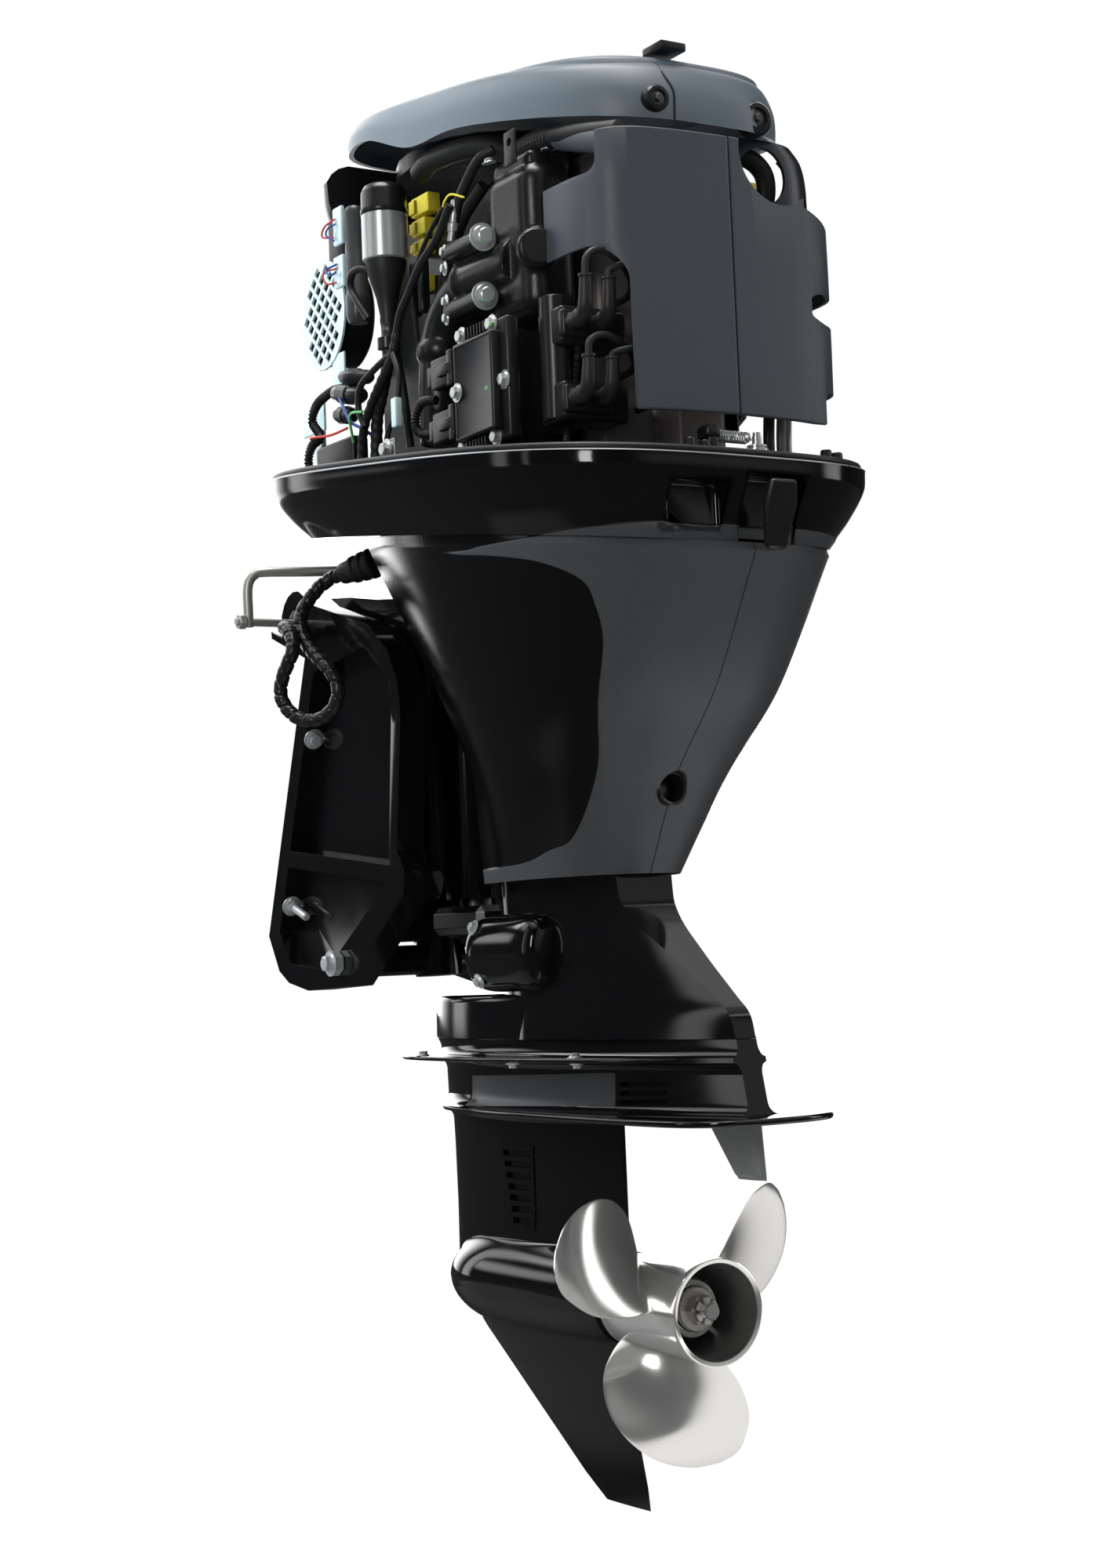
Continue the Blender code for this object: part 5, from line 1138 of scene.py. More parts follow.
tab = [(0.620, -0.5485), (0.6685, -0.607), (0.713, -0.605), (0.7105, -0.575), (0.708, -0.5485)]
tab_rings = []
for z_share in np.linspace(0.0, 1.0, 24):
    z = -0.5485 - 0.0575 * z_share
    front = 0.620 + 0.0485 * z_share
    back = 0.708 + 0.005 * z_share
    thin = 0.0056 if z_share < 0.93 else 0.0036
    share = 0.5 - 0.5 * np.cos(np.linspace(0.0, math.pi, 24))
    x = front + (back - front) * share
    y = thin * (1 - np.abs(2 * share - 0.8) ** 4 * 0.9).clip(0.12, 1.0)
    tab_rings.append([(a, -b, z) for a, b in zip(x, y)] + [(a, b, z) for a, b in zip(x[::-1], y[::-1])])
put(loft("trim_tab_anode", tab_rings, ZINC), "trim_tab", ("trim_tab",))

# %% [markdown]
# ## Propeller
# Each blade section is an aerofoil wrapped on its own cylinder, turned to the pitch at that radius. Thirty
# sections with smooth sizes between the seven that were measured give one clean surface to polish.

# %% Propeller
PROP_PITCH = 0.43
BLADE_X = 0.535
BLADE_PHASE = math.radians(20)
BLADE_SECTIONS = (
    (0.047, 0.104, 0.0110, 0.00, 0.000),
    (0.070, 0.128, 0.0070, 0.02, 0.003),
    (0.100, 0.152, 0.0055, 0.06, 0.008),
    (0.130, 0.150, 0.0042, 0.13, 0.014),
    (0.152, 0.114, 0.0034, 0.21, 0.018),
    (0.163, 0.074, 0.0028, 0.275, 0.0208),
    (0.168, 0.026, 0.0020, 0.31, 0.022),
)


def blade_ring(radius, chord, thick, skew, rake, phase):
    pitch = math.atan(PROP_PITCH / (2 * math.pi * radius))
    ring = []
    for turn in np.linspace(0.0, 2 * math.pi, 44, endpoint=False):
        s = 0.5 * chord * math.cos(turn)
        bulge = math.sin(turn)
        t = thick * (bulge if bulge > 0 else 0.2 * bulge) * (1 - 0.15 * math.cos(turn))
        x = BLADE_X + s * math.sin(pitch) - t * math.cos(pitch) + rake
        angle = phase + (s * math.cos(pitch) + t * math.sin(pitch)) / radius + skew
        ring.append((x, radius * math.cos(angle), PROP_Z + radius * math.sin(angle)))
    return ring


def blade(number):
    phase = BLADE_PHASE + 2 * math.pi * number / 3
    sections = smooth_rows(BLADE_SECTIONS, 5)
    return loft(f"blade_{number}", [blade_ring(*section, phase) for section in sections], STAINLESS)


HUB_PROFILE = (
    (0.4680, 0.0450),
    (0.4680, 0.0485),
    (0.4690, 0.0492),
    (0.520, 0.0500),
    (0.575, 0.0515),
    (0.598, 0.0528),
    (0.611, 0.0545),
    (0.6170, 0.0555),
    (0.6195, 0.0553),
    (0.6200, 0.0540),
    (0.6190, 0.0505),
    (0.600, 0.0480),
    (0.5750, 0.0455),
    (0.4680, 0.0450),
)
hub_rings = []
for x, r in HUB_PROFILE[:-1]:
    turns = np.linspace(0.0, 2 * math.pi, 96, endpoint=False)
    hub_rings.append([(x, r * math.cos(t), PROP_Z + r * math.sin(t)) for t in turns])
hub_rings.append(hub_rings[0])
hub = loft("hub", hub_rings, STAINLESS, caps=(False, False))
INNER_PROFILE = ((0.4720, 0.0240), (0.4720, 0.0310), (0.5740, 0.0300), (0.5750, 0.0290), (0.5750, 0.0240))
inner_rings = []
for x, r in (*INNER_PROFILE, INNER_PROFILE[0]):
    turns = np.linspace(0.0, 2 * math.pi, 64, endpoint=False)
    inner_rings.append([(x, r * math.cos(t), PROP_Z + r * math.sin(t)) for t in turns])
inner_hub = loft("inner_hub", inner_rings, STAINLESS, caps=(False, False))
ribs = []
for i in range(3):
    turn = BLADE_PHASE + 2 * math.pi * (i + 0.5) / 3
    rib = block(f"rib_{i}", (0.478, -0.003, -0.010), (0.562, 0.003, 0.010), STAINLESS, 0.001)
    rib.data.transform(Matrix.Rotation(turn - math.pi / 2, 4, "X"))
    rib.data.transform(Matrix.Translation((0.0, 0.0375 * math.cos(turn), PROP_Z + 0.0375 * math.sin(turn))))
    ribs.append(rib)
wheel = merged("propeller_wheel", STAINLESS, hub, inner_hub, *ribs, *[blade(i) for i in range(3)])
put(wheel, "propeller", ("propeller",))
LINER_PROFILE = (
    (0.4690, 0.0453),
    (0.5750, 0.0458),
    (0.6000, 0.0483),
    (0.6180, 0.0505),
    (0.6180, 0.0498),
    (0.6000, 0.0474),
    (0.5750, 0.0449),
    (0.4690, 0.0444),
)
liner_rings = []
for x, r in (*LINER_PROFILE, LINER_PROFILE[0]):
    turns = np.linspace(0.0, 2 * math.pi, 96, endpoint=False)
    liner_rings.append([(x, r * math.cos(t), PROP_Z + r * math.sin(t)) for t in turns])
put(loft("hub_bore_skin", liner_rings, CAST_ALLOY, caps=(False, False)), "propeller")


def ring_of(radius, x, sides, phase=0.0):
    turns = [phase + 2 * math.pi * k / sides for k in range(sides)]
    return [(x, radius * math.cos(t), PROP_Z + radius * math.sin(t)) for t in turns]


washer = lathe(
    "washer",
    [(0.0, 0.0120), (0.0, 0.0224), (0.0008, 0.0230), (0.0060, 0.0230), (0.0070, 0.0222), (0.0070, 0.0120)],
    (0.5758, 0, PROP_Z),
    (1, 0, 0),
    STAINLESS,
)
hexagon = loft(
    "hexagon",
    [ring_of(r, x, 6) for r, x in ((0.0158, 0.5822), (0.0165, 0.5830), (0.0165, 0.5930), (0.0160, 0.5936))],
    STAINLESS,
)
castle = []
for k in range(6):
    turn = math.pi / 6 + k * math.pi / 3
    tooth = block(f"tooth_{k}", (0.5930, 0.0085, -0.0042), (0.6000, 0.0140, 0.0042), STAINLESS, 0.0008)
    tooth.data.transform(Matrix.Rotation(turn, 4, "X"))
    tooth.data.transform(Matrix.Translation((0.0, 0.0, PROP_Z)))
    castle.append(tooth)
nut = merged("prop_castle_nut", BAR_STEEL, washer, hexagon, *castle)
put(nut, "propeller", ("prop_nut",))
print("propeller: 3 blades, hub and castle nut")

# %% [markdown]
# ## Exhaust housing
# The tower above the gearcase is a streamlined tube whose tail sweeps aft at its foot. It is lofted through
# smooth rows, and stands on a low pedestal block. Two barrel covers hold the lower rubber mounts.

# %% Exhaust housing
HOUSING_ROWS = (
    (SEAM_Z + 0.0004, 0.689, 0.0665, 0.0125),
    (-0.440, 0.680, 0.0640, 0.0130),
    (-0.420, 0.655, 0.0620, 0.0140),
    (-0.377, 0.592, 0.0580, 0.0220),
    (-0.333, 0.533, 0.0550, 0.0320),
    (-0.290, 0.517, 0.0550, 0.0360),
    (-0.160, 0.508, 0.0570, 0.0380),
    (-0.030, 0.500, 0.0600, 0.0400),
    (0.0925, 0.490, 0.0650, 0.0480),
)
PEDESTAL_ROWS = (
    (SEAM_Z + 0.0006, 0.0855, 0.560, 0.0680),
    (-0.4400, 0.0862, 0.560, 0.0675),
    (-0.4230, 0.0868, 0.560, 0.0670),
    (-0.4185, 0.0880, 0.557, 0.0660),
    (-0.4160, 0.0910, 0.553, 0.0640),
    (-0.4150, 0.0950, 0.548, 0.0610),
)


def streamline(z, nose, tail, half, tail_half, peak):
    return waterline(nose, tail, lambda x, _: stream_half(x, nose, tail, half, tail_half, peak), z)


tower_rings = []
for z, tail, half, tail_half in smooth_rows(HOUSING_ROWS, 6):
    tower_rings.append(streamline(z, 0.255, tail, half, tail_half, 0.3))
tower = loft("tower", tower_rings, GLOSS_BLACK)
pedestal_rings = []
for z, nose, tail, half in PEDESTAL_ROWS:
    pedestal_rings.append(streamline(z, nose, tail, half, 0.010, 0.42))
pedestal = loft("pedestal", pedestal_rings, GLOSS_BLACK)
deck = block("deck", (0.175, -0.115, 0.0880), (0.600, 0.115, 0.1126), GLOSS_BLACK, 0.004)
seam_rings = []
for z in (SEAM_Z - 0.0003, SEAM_Z - 0.0001, SEAM_Z + 0.0003, SEAM_Z + 0.0005):
    out = 0.0012 if -0.4647 < z < -0.4643 else 0.0
    seam_rings.append(streamline(z, 0.0850 - out, 0.6898 + out, 0.0683 + out, 0.0128 + out, 0.35))
gasket = loft("gasket", seam_rings, GLOSS_BLACK)
housing = merged("exhaust_tower", GLOSS_BLACK, tower, pedestal, deck, gasket)
put(housing, "motor", ("exhaust_housing",))

for side, label in ((-1, "port"), (1, "starboard")):
    rings = []
    for t in np.sin(np.linspace(-math.pi / 2, math.pi / 2, 34)):
        size = (1 - abs(t) ** 5) ** 0.2 if abs(t) < 1 else 0.02
        ring = []
        for turn in np.linspace(-math.pi / 2, math.pi / 2, 30):
            y = 0.052 + 0.036 * max(size, 0.02) * math.cos(turn) ** 0.75
            ring.append((0.3385 + 0.0765 * t, side * y, -0.3685 + 0.0435 * size * math.sin(turn)))
        rings.append(ring)
    barrel = loft("barrel", rings, GLOSS_BLACK)
    collar = lathe("collar", [(0.0, 0.033), (0.004, 0.035), (0.012, 0.035), (0.016, 0.033)],
                   (0.3150, side * 0.0480, -0.3685), (1, 0, 0), GLOSS_BLACK)
    cover = merged(f"lower_mount_cover_{label}", GLOSS_BLACK, barrel, collar)
    put(cover, "motor", (f"lower_mount_{label}",))
    places = [((0.2914, side * 0.0815, -0.3385), (0, side, 0.4)), ((0.2997, side * 0.0815, -0.3985), (0, side, -0.4))]
    bolts(f"mount_cover_bolts_{label}", places, 0.0055, STEEL, "motor")
print("housing and mount covers ready")

# %% [markdown]
# ## Aprons
# Two moulded halves cover the midsection. Each is a thin shell lofted from level to level. A smooth gloss
# panel is let into the grained plastic: every point stores its distance from the panel's outline, and the
# finish changes where that distance crosses zero, so the edge stays sharp between mesh points.

# %% Aprons
APRON_LEVELS = (
    (0.0, 0.745, 0.205, 0.215, 0.158),
    (0.42, 0.668, 0.165, 0.292, 0.118),
    (0.70, 0.589, 0.125, 0.322, 0.094),
    (1.0, 0.530, 0.084, 0.300, 0.070),
)
APRON_LOW_Z = -0.290
APRON_LIP = 0.0085
APRON_LIP_LEAN = 0.0245
PANEL_EDGE = (
    (0.120, 0.0740),
    (0.3776, 0.0627),
    (0.5152, 0.0450),
    (0.584, 0.0319),
    (0.620, 0.0207),
    (0.6479, 0.0031),
    (0.6522, -0.0183),
    (0.6399, -0.0679),
    (0.5826, -0.158),
    (0.5138, -0.2431),
    (0.4697, -0.2613),
    (0.3883, -0.2740),
    (0.120, -0.2740),
)


def tray_seam_z(x):
    return 0.0885 - math.tan(math.radians(8.5)) * (x - 0.365)


SEAM_LINE = ((0.0, 0.072), (0.20, 0.066), (0.25, 0.0635), (0.376, 0.0585), (0.472, 0.0530), (0.58, 0.0500), (0.70, 0.0500), (0.80, 0.0480))


def above_seam(mesh):
    """Height of every point over the line where the tray's gloss meets the apron's grain."""
    places = np.array([v.co[:] for v in mesh.vertices])
    along, level = zip(*smooth_rows(SEAM_LINE, 6))
    return places[:, 2] - np.interp(places[:, 0], along, level)


def apron_row(share, tail, half, front_x, front_half):
    bend = front_x + 0.42 * (tail - front_x)
    row = []
    for along in np.linspace(0.0, 1.0, 34)[:-1]:
        widen = math.sin(along * math.pi / 2)
        row.append((front_x + (bend - front_x) * along, front_half + (half - front_half) * widen))
    for turn in np.linspace(0.0, math.pi / 2, 70):
        across = max(math.cos(turn), 0.0)
        row.append((bend + (tail - bend) * math.sin(turn) ** 0.9, half * across**0.8))
    row[-1] = (tail, 0.0006)
    placed = []
    for x, y in row:
        top = tray_seam_z(x) - 0.0075
        placed.append((x, y, top + (APRON_LOW_Z - top) * share))
    return placed


def outline_distance(points, outline):
    """Signed distance of (x, z) points from a closed outline, positive inside."""
    best = np.full(len(points), 9.0)
    inside = np.zeros(len(points), bool)
    for a, b in zip(outline, outline[1:] + outline[:1]):
        a, b = np.array(a), np.array(b)
        share = np.clip(((points - a) @ (b - a)) / max((b - a) @ (b - a), 1e-12), 0.0, 1.0)
        best = np.minimum(best, np.linalg.norm(points - a - share[:, None] * (b - a), axis=1))
        crosses = (a[1] > points[:, 1]) != (b[1] > points[:, 1])
        reach = a[0] + (points[:, 1] - a[1]) / (b[1] - a[1] if b[1] != a[1] else 1e-9) * (b[0] - a[0])
        inside ^= crosses & (points[:, 0] < reach)
    return np.where(inside, best, -best)


panel_line = [tuple(p) for p in smooth_rows(PANEL_EDGE, 8)]
for side, label in ((-1, "port"), (1, "starboard")):
    rows = []
    for level in smooth_rows(APRON_LEVELS, 26):
        rows.append([(x, side * y, z) for x, y, z in apron_row(*level)])
    rows.insert(0, [(x - APRON_LIP_LEAN * max(x - 0.5, 0.0), y, z + APRON_LIP) for x, y, z in rows[0]])
    shell = loft(f"apron_shell_{label}", rows, APRON_BLACK, False, (False, False))
    inward = sum(f.normal.y * f.area for f in shell.data.polygons) * side < 0
    wall = shell.modifiers.new("wall", "SOLIDIFY")
    wall.thickness = 0.004
    wall.offset = 1.0 if inward else -1.0
    baked(shell)
    recess = lathe("recess", [(0.0, 0.0175), (0.08, 0.0175)], (0.54, 0.0, -0.2027), (1, 0, 0.0), APRON_BLACK, 48)
    carved(shell, recess)
    places = np.array([(v.co.x, v.co.z) for v in shell.data.vertices])
    store(shell.data, "inset", np.maximum(outline_distance(places, panel_line), above_seam(shell.data)))
    put(shell, "motor", (f"apron_{label}",))
cup_piece = lathe("cup", [(0.0, 0.0172), (0.0285, 0.0185), (0.0300, 0.0172), (0.0290, 0.0150), (0.004, 0.0135), (0.004, 0.0)],
                  (0.5500, 0.0, -0.2027), (1, 0, 0), BLACK_PLASTIC, 48)
put(cup_piece, "motor")
bolts("apron_aft_bolt", [((0.5545, 0.0, -0.2027), (1, 0, 0))], 0.0062, DARK_STEEL, "motor")
print("aprons ready")

# %% [markdown]
# ## Lower cowl
# The tray that the powerhead stands in is a deep dish. Its rim is a superellipse on a sloping plane. Smooth
# rows run from the rim to the seam over the aprons; two pockets are cut in the aft wall, each with a liner.

# %% Lower cowl
RIM_X = 0.363
RIM_A = 0.400
RIM_B = 0.248
TRAY_POINTS = 220
TRAY_WALL = 0.004


def superellipse(centre, a, b, power, count=TRAY_POINTS):
    ring = []
    for turn in np.linspace(0.0, 2 * math.pi, count, endpoint=False):
        along, across = math.cos(turn), math.sin(turn)
        x = centre + a * math.copysign(abs(along) ** (2 / power), along)
        ring.append((x, b * math.copysign(abs(across) ** (2 / power), across)))
    return ring


def rim_z(x):
    return 0.163 - math.tan(math.radians(6.9)) * (x - RIM_X)


rim = superellipse(RIM_X, RIM_A - 0.0005, RIM_B - 0.0005, 3.0)
shoulder = superellipse(RIM_X, RIM_A - 0.003, RIM_B - 0.003, 3.0)
flank = superellipse(RIM_X + 0.001, RIM_A - 0.020, RIM_B - 0.018, 3.0)
seam = superellipse(0.365, 0.372, 0.211, 2.7)
tray_rows = [
    [(x, y, rim_z(x)) for x, y in rim],
    [(x, y, rim_z(x) - 0.022) for x, y in shoulder],
    [(x, y, 0.5 * (rim_z(x) - 0.022 + tray_seam_z(x))) for x, y in flank],
    [(x, y, tray_seam_z(x)) for x, y in seam],
]
tray_rows = smooth_rows([np.array(row).ravel() for row in tray_rows], 10)
tray_rows = [row.reshape(-1, 3) for row in tray_rows]
floor_ring = np.array([(x, y, tray_seam_z(x) + 0.006) for x, y in superellipse(0.385, 0.268, 0.150, 3.0)])
wall_rows = len(tray_rows)
outer_rows = [*tray_rows]
for share in (0.01, 0.03, 0.08, 1.0):
    outer_rows.append(tray_rows[-1] * (1 - share) + floor_ring * share)
inner_rows = []
for row in reversed(outer_rows):
    moved = row.copy()
    reach = row[:, :2] - np.array((RIM_X, 0.0))
    moved[:, :2] -= TRAY_WALL * reach / np.linalg.norm(reach, axis=1)[:, None]
    inner_rows.append(moved)
for row in inner_rows[:8]:
    row[:, 2] += TRAY_WALL
tray = loft("lower_cowl_dish", [*outer_rows, *inner_rows, outer_rows[0]], TRAY_BLACK, True, (False, False))
solid = loft("solid", tray_rows[:wall_rows], TRAY_BLACK)
solid_copy = dressed("solid_copy", solid.data.copy(), TRAY_BLACK)


def pocket(low, high, liner_low, shape):
    """A pocket's cutter and the liner that closes it behind the wall."""
    cutter = block("cutter", low, high, TRAY_BLACK, 0.006, 4)
    liner = block("liner", liner_low, (0.80, high[1] + 0.0035, high[2] + 0.0035), TRAY_BLACK, 0.003)
    inside = liner.modifiers.new("inside", "BOOLEAN")
    inside.operation = "INTERSECT"
    inside.solver = "EXACT"
    inside.object = shape
    baked(liner)
    bpy.data.objects.remove(shape, do_unlink=True)
    tool = dressed("tool", cutter.data.copy(), TRAY_BLACK)
    carved(liner, tool)
    return cutter, liner


frame_cut, frame_liner = pocket((0.7290, -0.100, 0.044), (0.81, -0.036, 0.090), (0.716, -0.1035, 0.0405), solid)
latch_cut, latch_liner = pocket((0.7270, -0.016, 0.012), (0.81, 0.056, 0.0995), (0.714, -0.0195, 0.010), solid_copy)
carved(tray, frame_cut, latch_cut)
tray = merged("lower_cowl_tray", TRAY_BLACK, tray, frame_liner, latch_liner)
store(tray.data, "skirt", np.where([v.co.x > 0.45 for v in tray.data.vertices], -above_seam(tray.data), -1.0))
put(tray, "motor", ("lower_cowl",))

# A thin bright ring on top of the rim is a painted highlight: it stands for the light caught by the rim's edge.
rim_highlight_ring = [(x, y, rim_z(x) + 0.0002) for x, y in superellipse(RIM_X, RIM_A - 0.0016, RIM_B - 0.0016, 3.0)]
rim_highlight_path = [Vector(p) for p in (*rim_highlight_ring, rim_highlight_ring[0], rim_highlight_ring[1])]
put(sweep("rim_painted_highlight", rim_highlight_path, 0.0013, PAINTED_RIM_HIGHLIGHT, 8), "motor")
seal_ring = [(x, y, rim_z(x) + 0.0046) for x, y in superellipse(RIM_X, RIM_A - 0.0085, RIM_B - 0.0085, 3.0)]
seal_path = [Vector(p) for p in (*seal_ring, seal_ring[0], seal_ring[1])]
put(sweep("cowl_rubber_seal", seal_path, 0.0040, RUBBER, 12), "motor", ("cowl_seal",))
print("tray ready")

# %% [markdown]
# ## Latch
# The cowl latch is a moulded lever in the aft pocket, pulled back by a wire spring between two posts on the
# rim. The spring is one swept wire: hooks at both ends and close turns between.

# %% Latch lever and spring
lever = softened("cowl_latch_lever", BLACK_PLASTIC, 0.002, 3)
put(lever, "cowl_latch")
SPRING_X = 0.712
SPRING_Z = 0.145
SPRING_FROM_Y = -0.0245
SPRING_TO_Y = 0.0215
wire = [Vector((SPRING_X, SPRING_FROM_Y - 0.0034, SPRING_Z - 0.002))]
wire.append(Vector((SPRING_X, SPRING_FROM_Y - 0.0024, SPRING_Z)))
SPRING_TURNS = 15
for i in range(SPRING_TURNS * 20 + 1):
    turn = 2 * math.pi * i / 20
    share = i / (SPRING_TURNS * 20)
    radius = 0.0055 * min(1.0, share * 20, (1 - share) * 20)
    y = SPRING_FROM_Y + (SPRING_TO_Y - SPRING_FROM_Y) * share
    wire.append(Vector((SPRING_X + radius * math.sin(turn), y, SPRING_Z + radius * math.cos(turn))))
wire.append(Vector((SPRING_X, SPRING_TO_Y + 0.0024, SPRING_Z)))
wire.append(Vector((SPRING_X, SPRING_TO_Y + 0.0034, SPRING_Z - 0.002)))
put(sweep("latch_spring_wire", wire, 0.00098, STEEL, 8), "motor", ("latch_spring",))
print("latch ready")

# %% [markdown]
# ## Clamp, swivel and trim
# These are sturdy castings with drafted ribs. Their CAD solids already have the true outlines, so each gets a
# copy with merged faces and rounded edges. Loose fittings, such as bolts, studs and washers, are added.

# %% Clamp, swivel and trim unit
for node, body, finish_used, slot_name, edge in (
    ("clamp_bracket_port", "clamp", GLOSS_BLACK, "gloss_black", 0.0032),
    ("clamp_bracket_starboard", "clamp", GLOSS_BLACK, "gloss_black", 0.0032),
    ("tilt_tube", "clamp", DARK_STEEL, "steel", 0.0010),
    ("lower_cross_shaft", "clamp", STEEL, "steel", 0.0008),
    ("trim_unit_body", "trim_unit", GLOSS_BLACK, "gloss_black", 0.0022),
    ("tilt_ram", "tilt_ram", STAINLESS, "stainless", 0.0012),
    ("swivel_bracket", "swivel", GLOSS_BLACK, "gloss_black", 0.0035),
    ("tilt_support_lever", "tilt_support", GLOSS_BLACK, "gloss_black", 0.0015),
    ("steering_shaft", "motor", DARK_STEEL, "steel", 0.0025),
):
    put(softened(node, finish_used, edge, 3), body)

DRAG_LINK_ROUTE = (
    (-0.022, -0.198, 0.039),
    (-0.022, -0.198, 0.060),
    (-0.022, -0.198, 0.082),
    (-0.0213, -0.1955, 0.0950),
    (-0.0190, -0.1890, 0.1030),
    (-0.0150, -0.1780, 0.1060),
    (0.005, -0.124, 0.106),
    (0.040, -0.055, 0.106),
    (0.050, -0.020, 0.106),
    (0.050, 0.015, 0.106),
)
link_bar = sweep("link_bar", smooth_path(DRAG_LINK_ROUTE, 8), 0.0060, BAR_STEEL, 24)
stud = lathe(
    "stud",
    [(0.0, 0.0042), (0.0008, 0.0050), (0.155, 0.0050)],
    (-0.022, -0.215, 0.045),
    (0, 1, 0),
    STAINLESS,
    24,
)
nut = lathe("nut", [(0.0, 0.0085), (0.0012, 0.0095), (0.0080, 0.0095), (0.0090, 0.0085)],
            (-0.022, -0.212, 0.045), (0, 1, 0), STAINLESS, 6)
ball = lathe("ball", [(0.0, 0.0070), (0.002, 0.0095), (0.012, 0.0095), (0.014, 0.0070)],
             (0.050, 0.008, 0.106), (0, 1, 0), STAINLESS, 24)
put(merged("drag_link_bar", BAR_STEEL, link_bar, stud, nut, ball), "drag_link", ("drag_link",))

AFT = Vector((0.935, 0.0, -0.3545))
transom_bolts = []
for side in (-1, 1):
    transom_bolts.append(((-0.0045, side * 0.1245, -0.0985), AFT))
    transom_bolts.append(((-0.0810, side * 0.1245, -0.2990), AFT))
bolts("transom_bolt_heads", transom_bolts, 0.0078, STEEL, "clamp")
for side, label in ((-1, "port"), (1, "starboard")):
    start = Vector((-0.0810, side * 0.1245, -0.2990))
    put(lathe(f"transom_stud_{label}", [(0.0, 0.0050), (0.042, 0.0050), (0.0435, 0.0038)], start, AFT, STEEL, 20),
        "clamp")
pins = [((0.063, side * 0.1462, -0.372), (0, side, 0)) for side in (-1, 1)]
bolts("cross_shaft_heads", pins, 0.0095, STEEL, "clamp")
grommet = lathe(
    "cable_grommet",
    [(0.0, 0.0135), (0.0020, 0.0140), (0.0060, 0.0130), (0.0090, 0.0112), (0.0140, 0.0098), (0.0150, 0.0085)],
    (0.0, -0.1362, 0.0302),
    (0, -1, 0.02),
    RUBBER,
    32,
)
put(grommet, "swivel")
boot_profile = [(0.0, 0.0165), (0.002, 0.0185), (0.006, 0.0185), (0.008, 0.0165), (0.012, 0.0160), (0.014, 0.0178),
                (0.018, 0.0176), (0.020, 0.0155), (0.025, 0.0150), (0.027, 0.0166), (0.031, 0.0162), (0.033, 0.0142),
                (0.041, 0.0132), (0.0465, 0.0128), (0.0490, 0.0118), (0.0492, 0.0085)]
boot_axis = Vector((0.072, -0.117, 0.0935)) - Vector((0.115, -0.095, 0.102))
put(lathe("rigging_boot_rubber", boot_profile, (0.115, -0.095, 0.102), boot_axis, RUBBER, 40), "motor",
    ("rigging_boot",))
print("clamp and swivel ready")

# %% [markdown]
# ## Top cover
# A moulded cap closes the flywheel. Its skirt dips and waves on the port side, a raised lid and a front hump
# lie on its crown, and two dark mounts hold it aft. Rings of one superellipse make the cap; the lid and the
# hump are pads that follow the crown.

# %% Top cover
COVER_X = 0.393
COVER_A = 0.320
COVER_B = 0.166


def skirt_z(x, y):
    wave = 0.013 * math.exp(-(((x - 0.365) / 0.062) ** 2)) - 0.007 * math.exp(-(((x - 0.235) / 0.06) ** 2))
    port = min(1.0, max(0.0, -y / 0.08))
    return 0.530 - 0.20 * (x - 0.40) - wave * port


def crown_z(x):
    return 0.582 - 0.145 * (x - 0.40)


def cover_ring(scale, share, drop=0.0):
    ring = []
    for x, y in superellipse(COVER_X, COVER_A * scale, COVER_B * scale, 2.6, 180):
        low = skirt_z(x, y)
        ring.append((x, y, low + (crown_z(x) - low) * share - drop))
    return ring


COVER_ROWS = ((1.0, 0.0), (1.003, 0.22), (0.998, 0.45), (0.975, 0.70), (0.945, 0.86), (0.88, 0.965), (0.76, 1.02))
cover_rows = [np.array(cover_ring(*row)).ravel() for row in (*COVER_ROWS, (0.55, 1.05), (0.25, 1.08), (0.02, 1.085))]
cover_rows = [row.reshape(-1, 3) for row in smooth_rows(cover_rows, 4)]
under_rows = [np.array(cover_ring(*row)) for row in ((0.975, 0.02), (0.965, 0.45), (0.925, 0.82), (0.74, 0.95), (0.02, 1.0))]
cap = loft("cap", [under_rows[-1], *under_rows[-2::-1], *cover_rows], COVER_GREY)


def pad(name, centre, a, b, rise, power=2.6):
    """A raised pad that follows the crown."""
    rings = []
    for scale, share in ((1.01, -1.2), (1.0, 0.0), (0.992, 0.45), (0.972, 0.80), (0.93, 0.96), (0.8, 1.05), (0.4, 1.2), (0.02, 1.22)):
        ring = []
        for x, y in superellipse(centre, a * scale, b * scale, power, 120):
            edge = 1 - abs((x - COVER_X) / COVER_A) ** 3 - abs(y / COVER_B) ** 3
            ring.append((x, y, crown_z(x) - 0.006 + 0.010 * max(edge, 0.0) + rise * share))
        rings.append(ring)
    return loft(name, rings, COVER_GREY)


lid = pad("lid", 0.510, 0.175, 0.128, 0.0050, 3.0)
hump = pad("hump", 0.220, 0.110, 0.105, 0.0040, 2.4)
put(merged("top_cover_moulding", COVER_GREY, cap, lid, hump), "motor", ("top_cover",))

